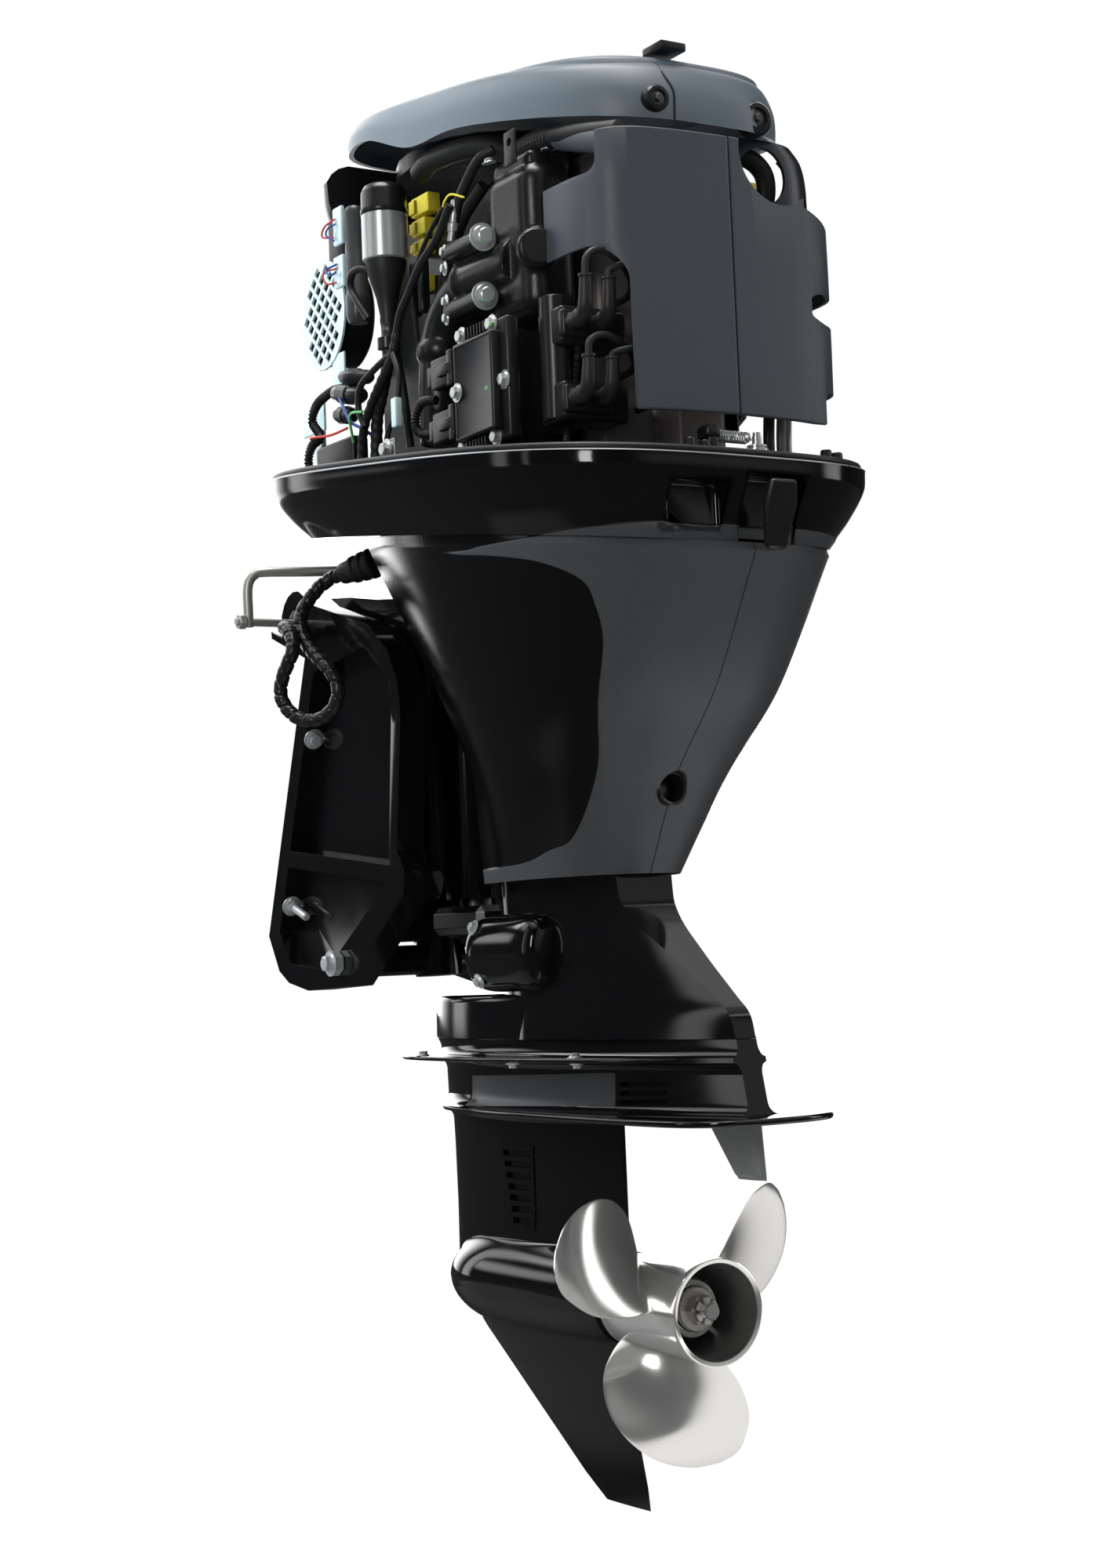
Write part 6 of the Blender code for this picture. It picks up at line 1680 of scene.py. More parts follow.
seam_path = []
for scale, share in COVER_ROWS[:6]:
    ring = cover_ring(scale * 1.0015, share)
    seam_path.append(Vector(min(ring, key=lambda p: abs(p[1] + 0.052) + (9 if p[0] < COVER_X else 0))))
put(sweep("cover_seam", smooth_path(seam_path, 4), 0.0011, BLACK_PLASTIC, 8), "motor")
for label, place, size in (("port", (0.6905, -0.0654, 0.4905), 1.0), ("starboard", (0.6935, 0.0573, 0.4855), 1.25)):
    profile = [(0.0, 0.0150), (0.012, 0.0145), (0.016, 0.0120), (0.0165, 0.0085), (0.0135, 0.0080), (0.0135, 0.0)]
    profile = [(along, radius * size) for along, radius in profile]
    put(lathe(f"cover_mount_{label}", profile, place, (1, -0.12, -0.05), BLACK_PLASTIC, 36), "motor")
    head = Vector(place) + Vector((0.0138, -0.0017, -0.0007))
    bolts(f"cover_mount_bolt_{label}", [(head, (1, -0.12, -0.05))], 0.0042, DARK_STEEL, "motor")
tab_block = block("cover_tab", (0.655, -0.050, 0.5495), (0.690, -0.018, 0.5585), BLACK_PLASTIC, 0.002)
put(tab_block, "motor")

strap = []
for y in (-0.038, -0.022):
    outer = [(0.500 + 0.0110 * math.cos(t), 0.5885 + 0.0110 * math.sin(t)) for t in np.linspace(-1.3, 4.4, 40)]
    inner = [(0.500 + 0.0072 * math.cos(t), 0.5885 + 0.0072 * math.sin(t)) for t in np.linspace(4.4, -1.3, 40)]
    strap.append([(x, y, z) for x, z in outer + inner])
roll = loft("roll", strap, STEEL)
foot = block("foot", (0.468, -0.038, 0.5745), (0.506, -0.022, 0.5785), STEEL, 0.0012)
put(merged("lifting_strap", STEEL, roll, foot), "motor", ("lifting_eye",))
print("top cover ready")

# %% [markdown]
# ## Rear covers
# Two satin mouldings meet in a dark seam on the centreline. Each is a thin shell lofted up a smooth plan
# line. The port one has an arm over a rounded window for the plug leads; the starboard one has a crescent and
# finger notches. Rounded blocks cut them.

# %% Rear covers
PORT_PLAN = (
    (0.606, 0.148),
    (0.660, 0.146),
    (0.695, 0.136),
    (0.714, 0.116),
    (0.723, 0.086),
    (0.728, 0.045),
    (0.7300, 0.0012),
)
STARBOARD_PLAN = (
    (0.606, 0.158),
    (0.655, 0.160),
    (0.690, 0.152),
    (0.713, 0.128),
    (0.723, 0.092),
    (0.728, 0.045),
    (0.7300, 0.0012),
)


def rear_shell(name, plan, side):
    """A thin wall up a plan line, with its outer face and inner face both in the loft."""
    line = smooth_rows(plan, 12)
    inner = []
    for i, p in enumerate(line):
        run = line[min(i + 1, len(line) - 1)] - line[max(i - 1, 0)]
        normal = np.array((run[1], -run[0])) / np.hypot(*run)
        inner.append(p + 0.004 * normal)
    ring = [(x, side * y) for x, y in line] + [(x, side * max(y, 0.0012)) for x, y in reversed(inner)]
    rows = []
    for z in (0.165, 0.1665, 0.250, 0.335, 0.405, 0.4505, 0.452):
        draw = 0.0012 if z in (0.165, 0.452) else 0.0
        lean = 1 - 0.012 * ((z - 0.30) / 0.15) ** 2
        rows.append([(x - draw, y * lean, z) for x, y in ring])
    return loft(name, rows, REAR_GREY)


port_shell = rear_shell("rear_cover_shell_port", PORT_PLAN, -1)
lead_window = block("lead_window", (0.50, -0.24, 0.05), (0.7135, -0.065, 0.335), REAR_GREY, 0.038, 8)
shoulder_cut = block("shoulder_cut", (0.50, -0.24, 0.410), (0.690, -0.062, 0.56), REAR_GREY, 0.012, 5)
carved(port_shell, lead_window, shoulder_cut)
star_shell = rear_shell("rear_cover_shell_starboard", STARBOARD_PLAN, 1)
crescent = lathe("crescent", [(0.0, 0.053), (0.14, 0.053)], (0.65, 0.066, 0.442), (1, 0, 0), REAR_GREY, 72)
slope = [(0.60, y, z) for y, z in ((0.100, 0.392), (0.22, 0.352), (0.22, 0.60), (0.100, 0.60))]
slope_cut = loft("slope_cut", [slope, [(x + 0.2, y, z) for x, y, z in slope]], REAR_GREY)
front_cut = block("front_cut", (0.50, 0.05, 0.05), (0.640, 0.24, 0.56), REAR_GREY, 0.004)
notch = block("notch", (0.50, 0.060, 0.272), (0.7205, 0.26, 0.305), REAR_GREY, 0.009, 6)
foot_cut = block("foot_cut", (0.50, 0.060, 0.05), (0.7155, 0.26, 0.203), REAR_GREY, 0.012, 6)
carved(star_shell, crescent, slope_cut, front_cut, notch, foot_cut)
for shell, node in ((port_shell, "rear_cover_port"), (star_shell, "rear_cover_starboard")):
    rounding = shell.modifiers.new("rounded", "BEVEL")
    rounding.width = 0.0011
    rounding.segments = 2
    rounding.limit_method = "ANGLE"
    rounding.angle_limit = math.radians(45)
    baked(shell)
    shell.data.shade_smooth()
    shell.data.set_sharp_from_angle(angle=SMOOTH_ANGLE)
    put(shell, "motor", (node,))
SIDE_PLAN = ((0.664, 0.030), (0.675, 0.075), (0.675, 0.112), (0.668, 0.140), (0.652, 0.158), (0.622, 0.166))
side_line = smooth_rows(SIDE_PLAN, 10)
side_rows = []
for z, share in smooth_rows(((0.384, 1.0), (0.410, 1.0), (0.438, 0.995), (0.460, 0.96), (0.474, 0.88)), 4):
    outer = [(x, y * share, z) for x, y in side_line]
    side_rows.append(outer + [(x - 0.004, y * share - 0.0012, z) for x, y, _ in [(p[0], p[1], 0) for p in reversed(side_line)]])
side = loft("rear_side_shell", side_rows, SIDE_BLACK)
opening = lathe("opening", [(0.0, 0.030), (0.14, 0.030)], (0.60, 0.083, 0.436), (1, 0, 0), SIDE_BLACK, 56)
scoop = lathe("scoop", [(0.0, 0.012), (0.02, 0.016), (0.05, 0.018)], (0.645, 0.140, 0.4045), (1, 0.35, -0.05), SIDE_BLACK, 40)
carved(side, opening, scoop)
put(side, "motor", ("rear_side_moulding",))
hose_arc = [(0.640, 0.052, 0.462), (0.652, 0.078, 0.462), (0.655, 0.098, 0.448), (0.652, 0.104, 0.425), (0.645, 0.098, 0.395), (0.640, 0.090, 0.370)]
put(sweep("opening_hose", smooth_path(hose_arc, 8), 0.0105, RUBBER, 20), "motor")
yellow_stem = block("yellow_stem", (0.6560, 0.0735, 0.398), (0.6640, 0.0835, 0.432), YELLOW, 0.002)
yellow_foot = block("yellow_foot", (0.6550, 0.0790, 0.392), (0.6650, 0.0950, 0.405), YELLOW, 0.002)
put(merged("yellow_cap", YELLOW, yellow_stem, yellow_foot), "motor")
print("rear covers ready")

# %% [markdown]
# ## Engine and castings
# The block and the head are painted castings: the block is copied from the CAD with rounded edges, and the
# head is built from rounded blocks. The port casting, with its bosses and elbow, is melted from overlapping
# solids with a voxel remesh, which gives the soft inside corners of sand casting.

# %% Block, head and port casting
for node, finish_used, slot_name, edge in (
    ("engine_block", ENGINE_BLACK, "engine_black", 0.004),
    ("intake_plenum", BLACK_PLASTIC, "black_plastic", 0.006),
    ("grille_guard", PALE_PLASTIC, "pale_plastic", 0.0007),
    ("flywheel", ENGINE_BLACK, "engine_black", 0.0015),
):
    put(softened(node, finish_used, edge, 3), "drive" if node == "flywheel" else "motor")
bars("plenum_ribs", 7, (0.272, 0.1785, 0.315), (0.036, 0, 0), (0.0045, 0.0050, 0.180), (0, 0, 0), BLACK_PLASTIC, "motor",
     0.0012)
seam_flange = block("plenum_flange", (0.2345, 0.1440, 0.1945), (0.5255, 0.1490, 0.4355), BLACK_PLASTIC, 0.0020)
put(seam_flange, "motor")
plenum_bolts = []
for x in (0.250, 0.345, 0.415, 0.510):
    plenum_bolts.append(((x, 0.1490, 0.1972), (0, 1, 0)))
    plenum_bolts.append(((x, 0.1490, 0.4328), (0, 1, 0)))
bolts("plenum_bolts", plenum_bolts, 0.0034, STEEL, "motor")
block_bolts = [((x, 0.0951, z), (0, 1, 0)) for x in (0.165, 0.205) for z in (0.150, 0.240, 0.330, 0.420)]
bolts("block_side_bolts", block_bolts, 0.0060, STEEL, "motor")
head = block("head", (0.4704, -0.098, 0.120), (0.555, 0.098, 0.478), ENGINE_BLACK, 0.006)
flange = block("flange", (0.540, -0.094, 0.124), (0.552, 0.094, 0.474), ENGINE_BLACK, 0.002)
put(merged("cylinder_head_casting", ENGINE_BLACK, head, flange), "motor", ("cylinder_head",))
cover = block("cover", (0.545, -0.080, 0.130), (0.600, 0.080, 0.470), BROWN, 0.012, 5)
ridge_block = block("ridge_block", (0.560, -0.020, 0.140), (0.606, 0.020, 0.462), BROWN, 0.010, 4)
put(merged("rocker_cover", BROWN, cover, ridge_block), "motor")
cover_bolts = []
for z in (0.150, 0.250, 0.350, 0.450):
    cover_bolts.append(((0.552, -0.088, z), (1, 0, 0)))
    cover_bolts.append(((0.552, 0.088, z), (1, 0, 0)))
bolts("rocker_cover_bolts", cover_bolts, 0.0048, STEEL, "motor")

column = block("column", (0.505, -0.160, 0.285), (0.600, -0.0985, 0.450), ENGINE_BLACK, 0.022, 6)
neck = block("neck", (0.512, -0.152, 0.440), (0.590, -0.0985, 0.462), ENGINE_BLACK, 0.008, 4)
pipe = lathe("pipe", [(0.0, 0.024), (0.010, 0.029), (0.016, 0.029), (0.020, 0.026), (0.110, 0.028)],
             (0.448, -0.150, 0.349), (1, 0.05, 0), ENGINE_BLACK, 36)
boss_pieces = [column, neck, pipe]
for z in (0.3780, 0.3155):
    boss_pieces.append(lathe("boss", [(0.0, 0.0105), (0.086, 0.0105)], (0.446, -0.1690, z + 0.004), (1, -0.10, -0.05),
                             ENGINE_BLACK, 28))
    boss_pieces.append(block("web", (0.450, -0.168, z - 0.010), (0.528, -0.140, z + 0.010), ENGINE_BLACK, 0.004))
elbow_route = ((0.500, -0.140, 0.352), (0.430, -0.142, 0.346), (0.393, -0.145, 0.315), (0.380, -0.146, 0.260), (0.378, -0.146, 0.190))
boss_pieces.append(sweep("elbow", smooth_path(elbow_route, 8), 0.0250, ENGINE_BLACK, 32))
boss_pieces.append(lathe("elbow_lip", [(0.0, 0.0275), (0.006, 0.0290), (0.012, 0.0290), (0.018, 0.0270)],
                         (0.3835, -0.146, 0.283), (0.12, 0, 1), ENGINE_BLACK, 36))
boss_pieces.append(lathe("side_cap", [(0.0, 0.022), (0.012, 0.022), (0.016, 0.019)], (0.592, -0.150, 0.352), (1, -0.35, 0), ENGINE_BLACK, 36))
casting = cast("port_casting_melt", ENGINE_BLACK, 0.0021, 5, *boss_pieces)
put(casting, "motor", ("port_casting",))
casting_bolts = [((0.5335, -0.1782, 0.3780), (1, -0.10, -0.05)), ((0.5335, -0.1782, 0.3155), (1, -0.10, -0.05))]
bolts("casting_boss_bolts", casting_bolts, 0.0092, STEEL, "motor")
small_bolts = [((0.449, -0.1755, z), (-0.2, -1, 0)) for z in (0.384, 0.366, 0.330, 0.312)]
small_bolts += [((0.520, -0.158, 0.463), (0, -0.2, 1)), ((0.5850, -0.1250, 0.4625), (0, 0, 1))]
bolts("casting_small_bolts", small_bolts, 0.0048, STEEL, "motor")
dabs = []
for place in ((0.541, -0.1850, 0.3720), (0.541, -0.1850, 0.3095), (0.5660, -0.2000, 0.2100), (0.570, -0.1945, 0.2760)):
    dabs.append(lathe("dab", [(0.0, 0.0022), (0.0006, 0.0016), (0.0008, 0.0)], place, (0.5, -0.8, 0.2), GREEN, 12))
put(merged("paint_marks", GREEN, *dabs), "motor")
bracket = block("bracket", (0.560, -0.1640, 0.446), (0.582, -0.1612, 0.482), BLACK_PLASTIC, 0.001)
hole = lathe("hole", [(0.0, 0.0045), (0.02, 0.0045)], (0.571, -0.172, 0.470), (0, 1, 0), BLACK_PLASTIC, 20)
carved(bracket, hole)
put(bracket, "motor")
print("castings ready")

# %% [markdown]
# ## Control module
# A finned black box with a framed face, six bolts and two plugs. The plain rectangular face stays bare. Short
# bars in a row make the fins, so one node tree serves for both edges.

# %% Control module
base = block("base", (0.487, -0.188, 0.155), (0.590, -0.172, 0.283), BLACK_PLASTIC, 0.004)
foot = block("foot", (0.495, -0.178, 0.165), (0.575, -0.0985, 0.273), BLACK_PLASTIC, 0.003)
case_box = block("case_box", (0.4965, -0.199, 0.1655), (0.5770, -0.184, 0.2695), BLACK_PLASTIC, 0.0030)
face_cut = block("face_cut", (0.5005, -0.22, 0.1695), (0.5730, -0.1978, 0.2655), BLACK_PLASTIC, 0.0008)
carved(case_box, face_cut)
module = merged("control_module", BLACK_PLASTIC, base, foot, case_box)
put(module, "motor", ("engine_module",))
bars("module_fins_top", 7, (0.5160, -0.1880, 0.2775), (0.0062, 0, 0), (0.0022, 0.012, 0.012), (0, 0, 0), BLACK_PLASTIC,
     "motor", 0.0005)
bars("module_fins_low", 7, (0.5110, -0.1880, 0.1600), (0.0062, 0, 0), (0.0022, 0.012, 0.010), (0, 0, 0), BLACK_PLASTIC,
     "motor", 0.0005)
module_bolts = [(0.5006, 0.2790), (0.5631, 0.2780), (0.5835, 0.2160), (0.5640, 0.1605), (0.4985, 0.1610)]
places = [((x, -0.1882, z), (0, -1, 0)) for x, z in module_bolts] + [((0.5050, -0.1990, 0.2174), (0, -1, 0))]
bolts("module_bolts", places, 0.0062, STEEL, "motor")
for label, z in (("upper", 0.2480), ("lower", 0.1900)):
    shell = block("shell", (0.446, -0.197, z - 0.016), (0.500, -0.176, z + 0.016), BLACK_PLASTIC, 0.002)
    latch = block("latch", (0.464, -0.2005, z - 0.006), (0.490, -0.194, z + 0.006), BLACK_PLASTIC, 0.0012)
    collar = block("collar", (0.484, -0.1995, z - 0.019), (0.494, -0.174, z + 0.019), BLACK_PLASTIC, 0.0015)
    neck = block("neck", (0.432, -0.194, z - 0.011), (0.450, -0.179, z + 0.011), BLACK_PLASTIC, 0.002)
    put(merged(f"module_plug_{label}", BLACK_PLASTIC, shell, latch, collar, neck), "motor")
print("module ready")

# %% [markdown]
# ## Coils, boots and plug leads
# Two coils sit under one rounded bracket. Each has two towers with moulded elbow boots, and a lead runs from
# every boot over to the head. Boots and leads are swept tubes with a radius for each point.

# %% Coils and leads
spine = []
for z, size in ((0.1680, 0.90), (0.1695, 1.0), (0.2945, 1.0), (0.2960, 0.90)):
    ring = []
    for turn in np.linspace(-0.5 * math.pi, 1.0 * math.pi, 40):
        ring.append((0.6210 + 0.0165 * size * math.cos(turn - 0.9), -0.1480 + 0.0165 * size * math.sin(turn - 0.9), z))
    spine.append(ring)
spine_piece = loft("coil_spine", spine, BLACK_PLASTIC)
put(spine_piece, "motor")
LEAD_FORE_X = (0.6945, 0.6945, 0.6930, 0.6880)
LEAD_AFT_X = (0.7000, 0.7040, 0.7030, 0.6940)
LEADS = (
    (1, -0.150, 0.262, 0.040, 0.3275, 0.300),
    (2, -0.122, 0.262, 0.040, 0.3145, 0.270),
    (3, -0.150, 0.185, 0.036, 0.2415, 0.222),
    (4, -0.122, 0.185, 0.036, 0.2285, 0.192),
)
for label, z in (("upper", 0.262), ("lower", 0.185)):
    body_block = block("coil", (0.6035, -0.160, z - 0.020), (0.650, -0.0800, z + 0.020), BLACK_PLASTIC, 0.005, 4)
    step = block("step", (0.646, -0.162, z - 0.014), (0.658, -0.105, z + 0.014), BLACK_PLASTIC, 0.003)
    put(merged(f"coil_body_{label}", BLACK_PLASTIC, body_block, step), "motor", (f"ignition_coil_{label}",))
for number, y, z, rise, crest, plug_z in LEADS:
    elbow = [(0.654, y, z), (0.668, y - 0.002, z), (0.681, y - 0.004, z + 0.0005), (0.6895, y - 0.0058, z + 0.007),
             (0.6920, y - 0.0063, z + 0.018), (0.6930, y - 0.0063, z + rise - 0.008), (0.6932, y - 0.0063, z + rise)]
    path = smooth_path(elbow, 8)
    radii = []
    for i in range(len(path)):
        share = i / (len(path) - 1)
        lip = 0.0014 if share < 0.06 or 0.24 < share < 0.30 or share > 0.93 else 0.0
        radii.append(0.0096 - 0.0036 * share + lip)
    put(sweep(f"plug_boot_{number}", path, radii, RUBBER, 24), "motor")
    top = z + rise + 0.0004
    reach = LEAD_AFT_X if y == -0.122 else LEAD_FORE_X
    route = [(0.6932, y - 0.0063, top - 0.004), (0.6940, y - 0.0055, 0.35 * top + 0.65 * crest - 0.002), (reach[0], y + 0.003, crest - 0.0015),
             (reach[1], y + 0.016, crest), (reach[2], y + 0.030, 0.80 * crest + 0.20 * plug_z),
             (reach[3], y + 0.044, 0.55 * crest + 0.45 * plug_z), (0.6700, y + 0.064, 0.20 * crest + 0.80 * plug_z),
             (0.6400, y + 0.079, plug_z), (0.6006, y + 0.084, plug_z)]
    put(sweep(f"plug_wire_{number}", smooth_path(route, 8), 0.0038, RUBBER, 16), "motor", (f"plug_lead_{number}",))
conduit = smooth_path([(0.640, -0.128, 0.292), (0.640, -0.132, 0.262), (0.636, -0.134, 0.225), (0.628, -0.136, 0.190), (0.616, -0.138, 0.150)], 30)
put(sweep("corrugated_conduit", conduit, 0.0038, RUBBER, 14, lambda s, t: 0.0007 * math.sin(s / 0.0030 * 2 * math.pi)),
    "motor")
print("coils and leads ready")

# %% [markdown]
# ## Forward end of the powerhead
# The silencer curves round the flywheel's front. Below it stand the starter, with its rubber boot, and a stepped
# canister. Both are turned shapes, so a lathe profile gives them at once.

# %% Silencer, starter and canister
silencer_rows = []
for z, share in ((0.500, 0.86), (0.5035, 0.92), (0.510, 0.965), (0.522, 0.99), (0.546, 1.0), (0.556, 0.96), (0.5635, 0.90), (0.568, 0.82)):
    front = [p for p in superellipse(0.170, 0.110, 0.160, 2.4, 144) if p[0] < 0.155]
    silencer_rows.append([(0.155 + share * (x - 0.155), share * y, z) for x, y in front])
silencer = loft("silencer", silencer_rows, BLACK_PLASTIC)
mouth_rows = []
for y, share in ((-0.1435, 0.90), (-0.1425, 0.92), (-0.1060, 0.92), (-0.1035, 0.88)):
    turns = np.linspace(0.0, 2 * math.pi, 72, endpoint=False)
    mouth_rows.append([(0.105 + 0.056 * share * math.cos(t), y, 0.398 + 0.066 * share * math.sin(t)) for t in turns])
mouth = loft("mouth", mouth_rows, BLACK_PLASTIC)
neck = block("neck", (0.100, -0.136, 0.430), (0.145, -0.105, 0.515), BLACK_PLASTIC, 0.006)
put(merged("silencer_body", BLACK_PLASTIC, silencer, mouth, neck), "motor", ("intake_silencer",))

STARTER = (0.293, -0.162, 0.0)
CANISTER = (0.222, -0.162, 0.0)
UPRIGHT = (0, 0, 1)
cap_profile = [(0.466, 0.0262), (0.4675, 0.0272), (0.472, 0.0272), (0.474, 0.0262), (0.492, 0.0258), (0.4985, 0.0225), (0.5015, 0.0170)]
band_profile = [(0.4140, 0.0240), (0.4155, 0.0262), (0.4670, 0.0262)]
boot_profile = [(0.340, 0.0085), (0.346, 0.0095), (0.352, 0.0090), (0.372, 0.0125), (0.392, 0.0190), (0.404, 0.0225), (0.4150, 0.0235), (0.4165, 0.0215)]
put(lathe("starter_band", band_profile, STARTER, UPRIGHT, STEEL, 64), "motor", ("starter_motor",))
put(lathe("starter_cap", cap_profile, STARTER, UPRIGHT, BLACK_PLASTIC, 64), "motor")
put(lathe("starter_boot", boot_profile, STARTER, UPRIGHT, RUBBER, 48), "motor")
can_profile = [(0.360, 0.0105), (0.364, 0.0125), (0.372, 0.0136), (0.392, 0.0138), (0.3935, 0.0128), (0.432, 0.0130), (0.4335, 0.0122),
               (0.4880, 0.0122), (0.4930, 0.0112), (0.4955, 0.0090)]
put(lathe("canister_body", can_profile, CANISTER, UPRIGHT, SATIN_DARK, 48), "motor", ("fuel_filter_canister",))
relays = []
for low_z, high_z, wide in ((0.4760, 0.4980, 0.040), (0.4530, 0.4720, 0.030), (0.4320, 0.4480, 0.026), (0.3900, 0.4080, 0.022)):
    relays.append(block("relay", (0.2660, -0.1120, low_z), (0.2660 + wide, -0.0955, high_z), YELLOW, 0.0015))
    relays.append(block("relay_lip", (0.2645, -0.1145, low_z + 0.003), (0.2780, -0.1080, high_z - 0.003), YELLOW, 0.001))
put(merged("relays", YELLOW, *relays), "motor")
print("starter and canister ready")

# %% [markdown]
# ## Hoses, looms and wires
# Everything soft is a swept tube. A table gives each one its route, radius and finish. Taped looms get a fine
# spiral relief, corrugated hoses get rings and the breather gets a braided sleeve.


# %% Hoses and wires
def taped(along, angle):
    return 0.00035 * math.sin(2 * math.pi * along / 0.011 + angle)


def ringed(along, angle):
    return 0.0008 * math.sin(2 * math.pi * along / 0.0042)


def braided(along, angle):
    sleeve = 1.0 if along < 0.098 else 0.0
    return sleeve * (0.0008 + 0.0007 * math.sin(9 * angle + 560 * along) * math.sin(9 * angle - 560 * along))


SOFT_RUNS = (
    ("loom_main", 0.0068, RUBBER, taped, ((0.293, -0.163, 0.346), (0.300, -0.167, 0.320), (0.298, -0.168, 0.293),
        (0.281, -0.168, 0.2607), (0.267, -0.167, 0.236), (0.255, -0.164, 0.180))),
    ("loom_side", 0.0052, RUBBER, taped, ((0.334, -0.174, 0.322), (0.3217, -0.176, 0.2955), (0.294, -0.177, 0.2712),
        (0.2688, -0.177, 0.2487), (0.2492, -0.176, 0.2247), (0.236, -0.172, 0.188))),
    ("hose_diagonal", 0.0046, RUBBER, None, ((0.4512, -0.168, 0.4357), (0.422, -0.170, 0.4048), (0.3879, -0.171, 0.3866),
        (0.3582, -0.171, 0.3613), (0.3368, -0.172, 0.3391), (0.324, -0.170, 0.306), (0.318, -0.160, 0.262), (0.312, -0.150, 0.200))),
    ("hose_thin", 0.0026, RUBBER, None, ((0.4300, -0.160, 0.4450), (0.398, -0.164, 0.4197), (0.3682, -0.164, 0.392),
        (0.350, -0.160, 0.360), (0.338, -0.150, 0.310))),
    ("hose_casting", 0.0056, RUBBER, None, ((0.500, -0.140, 0.4860), (0.4851, -0.150, 0.4778), (0.4625, -0.155, 0.455),
        (0.4460, -0.158, 0.4300), (0.4400, -0.158, 0.398))),
    ("hose_corrugated", 0.0046, RUBBER, ringed, ((0.430, -0.182, 0.2264), (0.4151, -0.186, 0.2285), (0.3989, -0.186, 0.226),
        (0.3900, -0.186, 0.2140), (0.3925, -0.186, 0.2006), (0.4071, -0.184, 0.1935), (0.428, -0.182, 0.1915))),
    ("hose_fore_loop", 0.0050, RUBBER, ringed, ((0.1660, -0.158, 0.2960), (0.1446, -0.160, 0.2966), (0.1059, -0.160, 0.2886),
        (0.0929, -0.160, 0.2707), (0.1123, -0.160, 0.2494), (0.0893, -0.160, 0.2422), (0.0790, -0.160, 0.2241), (0.0897, -0.158, 0.1950))),
    ("hose_curl", 0.0042, RUBBER, None, ((0.2850, -0.178, 0.4040), (0.2680, -0.184, 0.4092), (0.2500, -0.183, 0.4080),
        (0.2400, -0.180, 0.3960), (0.2563, -0.180, 0.3741), (0.272, -0.176, 0.352))),
    ("hose_under_cover", 0.0120, RUBBER, None, ((0.336, -0.138, 0.506), (0.370, -0.142, 0.510), (0.430, -0.140, 0.506),
        (0.475, -0.130, 0.498), (0.505, -0.117, 0.480))),
    ("loom_low_aft", 0.0042, RUBBER, ringed, ((0.3836, -0.170, 0.1938), (0.4152, -0.172, 0.1825), (0.4562, -0.170, 0.1700),
        (0.500, -0.166, 0.160), (0.560, -0.160, 0.1520))),
    ("loom_cross", 0.0038, RUBBER, None, ((0.318, -0.176, 0.300), (0.296, -0.182, 0.290), (0.262, -0.184, 0.276),
        (0.252, -0.182, 0.252), (0.262, -0.180, 0.230))),
    ("loom_cross_low", 0.0032, RUBBER, None, ((0.330, -0.178, 0.300), (0.345, -0.180, 0.270), (0.340, -0.182, 0.235),
        (0.318, -0.182, 0.210), (0.300, -0.176, 0.180))),
    ("hose_block_side", 0.0072, RUBBER, None, ((0.430, -0.112, 0.470), (0.390, -0.118, 0.440), (0.360, -0.122, 0.390),
        (0.345, -0.122, 0.330), (0.340, -0.120, 0.250), (0.345, -0.116, 0.180))),
    ("wire_blue", 0.0019, BLUE, None, ((0.1860, -0.168, 0.290), (0.1916, -0.174, 0.2802), (0.2056, -0.177, 0.2645), (0.2222, -0.177, 0.2443),
        (0.2393, -0.172, 0.2339), (0.246, -0.164, 0.226))),
    ("wire_green", 0.0016, GREEN, None, ((0.2649, -0.184, 0.2468), (0.2384, -0.184, 0.2504), (0.226, -0.180, 0.2434), (0.2217, -0.174, 0.2204))),
    ("wire_red", 0.0015, RED, None, ((0.1000, -0.166, 0.2480), (0.1138, -0.172, 0.2469), (0.1637, -0.174, 0.2401), (0.2038, -0.172, 0.2409))),
    ("wire_yellow", 0.0012, YELLOW, None, ((0.4300, -0.164, 0.4400), (0.4375, -0.166, 0.4443), (0.451, -0.166, 0.4475), (0.469, -0.160, 0.4400))),
    ("wire_red_high", 0.0011, RED, None, ((0.2000, -0.176, 0.4860), (0.1850, -0.182, 0.4800), (0.1780, -0.182, 0.4700), (0.1980, -0.178, 0.4640))),
    ("wire_blue_high", 0.0011, BLUE, None, ((0.2010, -0.176, 0.4800), (0.1930, -0.182, 0.4760), (0.1880, -0.182, 0.4690), (0.2000, -0.178, 0.4600))),
    ("wire_red_low", 0.0011, RED, None, ((0.1990, -0.176, 0.4280), (0.1800, -0.183, 0.4270), (0.1850, -0.183, 0.4130), (0.2010, -0.178, 0.4110))),
    ("wire_blue_low", 0.0013, BLUE, None, ((0.2000, -0.176, 0.4330), (0.1850, -0.182, 0.4290), (0.1960, -0.183, 0.4200), (0.2020, -0.178, 0.4230))),
)
for label, radius, look, relief, route in SOFT_RUNS:
    fine = 30 if relief else 10
    put(sweep(label, smooth_path(route, fine), radius, look, 16, relief), "motor")
BREATHER = ((0.500, -0.116, 0.478), (0.540, -0.124, 0.478), (0.590, -0.126, 0.474), (0.640, -0.120, 0.464), (0.690, -0.106, 0.455))
put(sweep("breather_sleeve", smooth_path(BREATHER, 60), 0.0110, RUBBER, 54, braided), "motor", ("breather_hose",))
GREY_END = ((0.604, -0.122, 0.4700), (0.6156, -0.120, 0.4660), (0.650, -0.117, 0.4550), (0.690, -0.111, 0.4420))
put(sweep("breather_grey_end", smooth_path(GREY_END, 12), 0.0128, REAR_GREY, 32), "motor")
print(len(SOFT_RUNS) + 1, "soft runs")

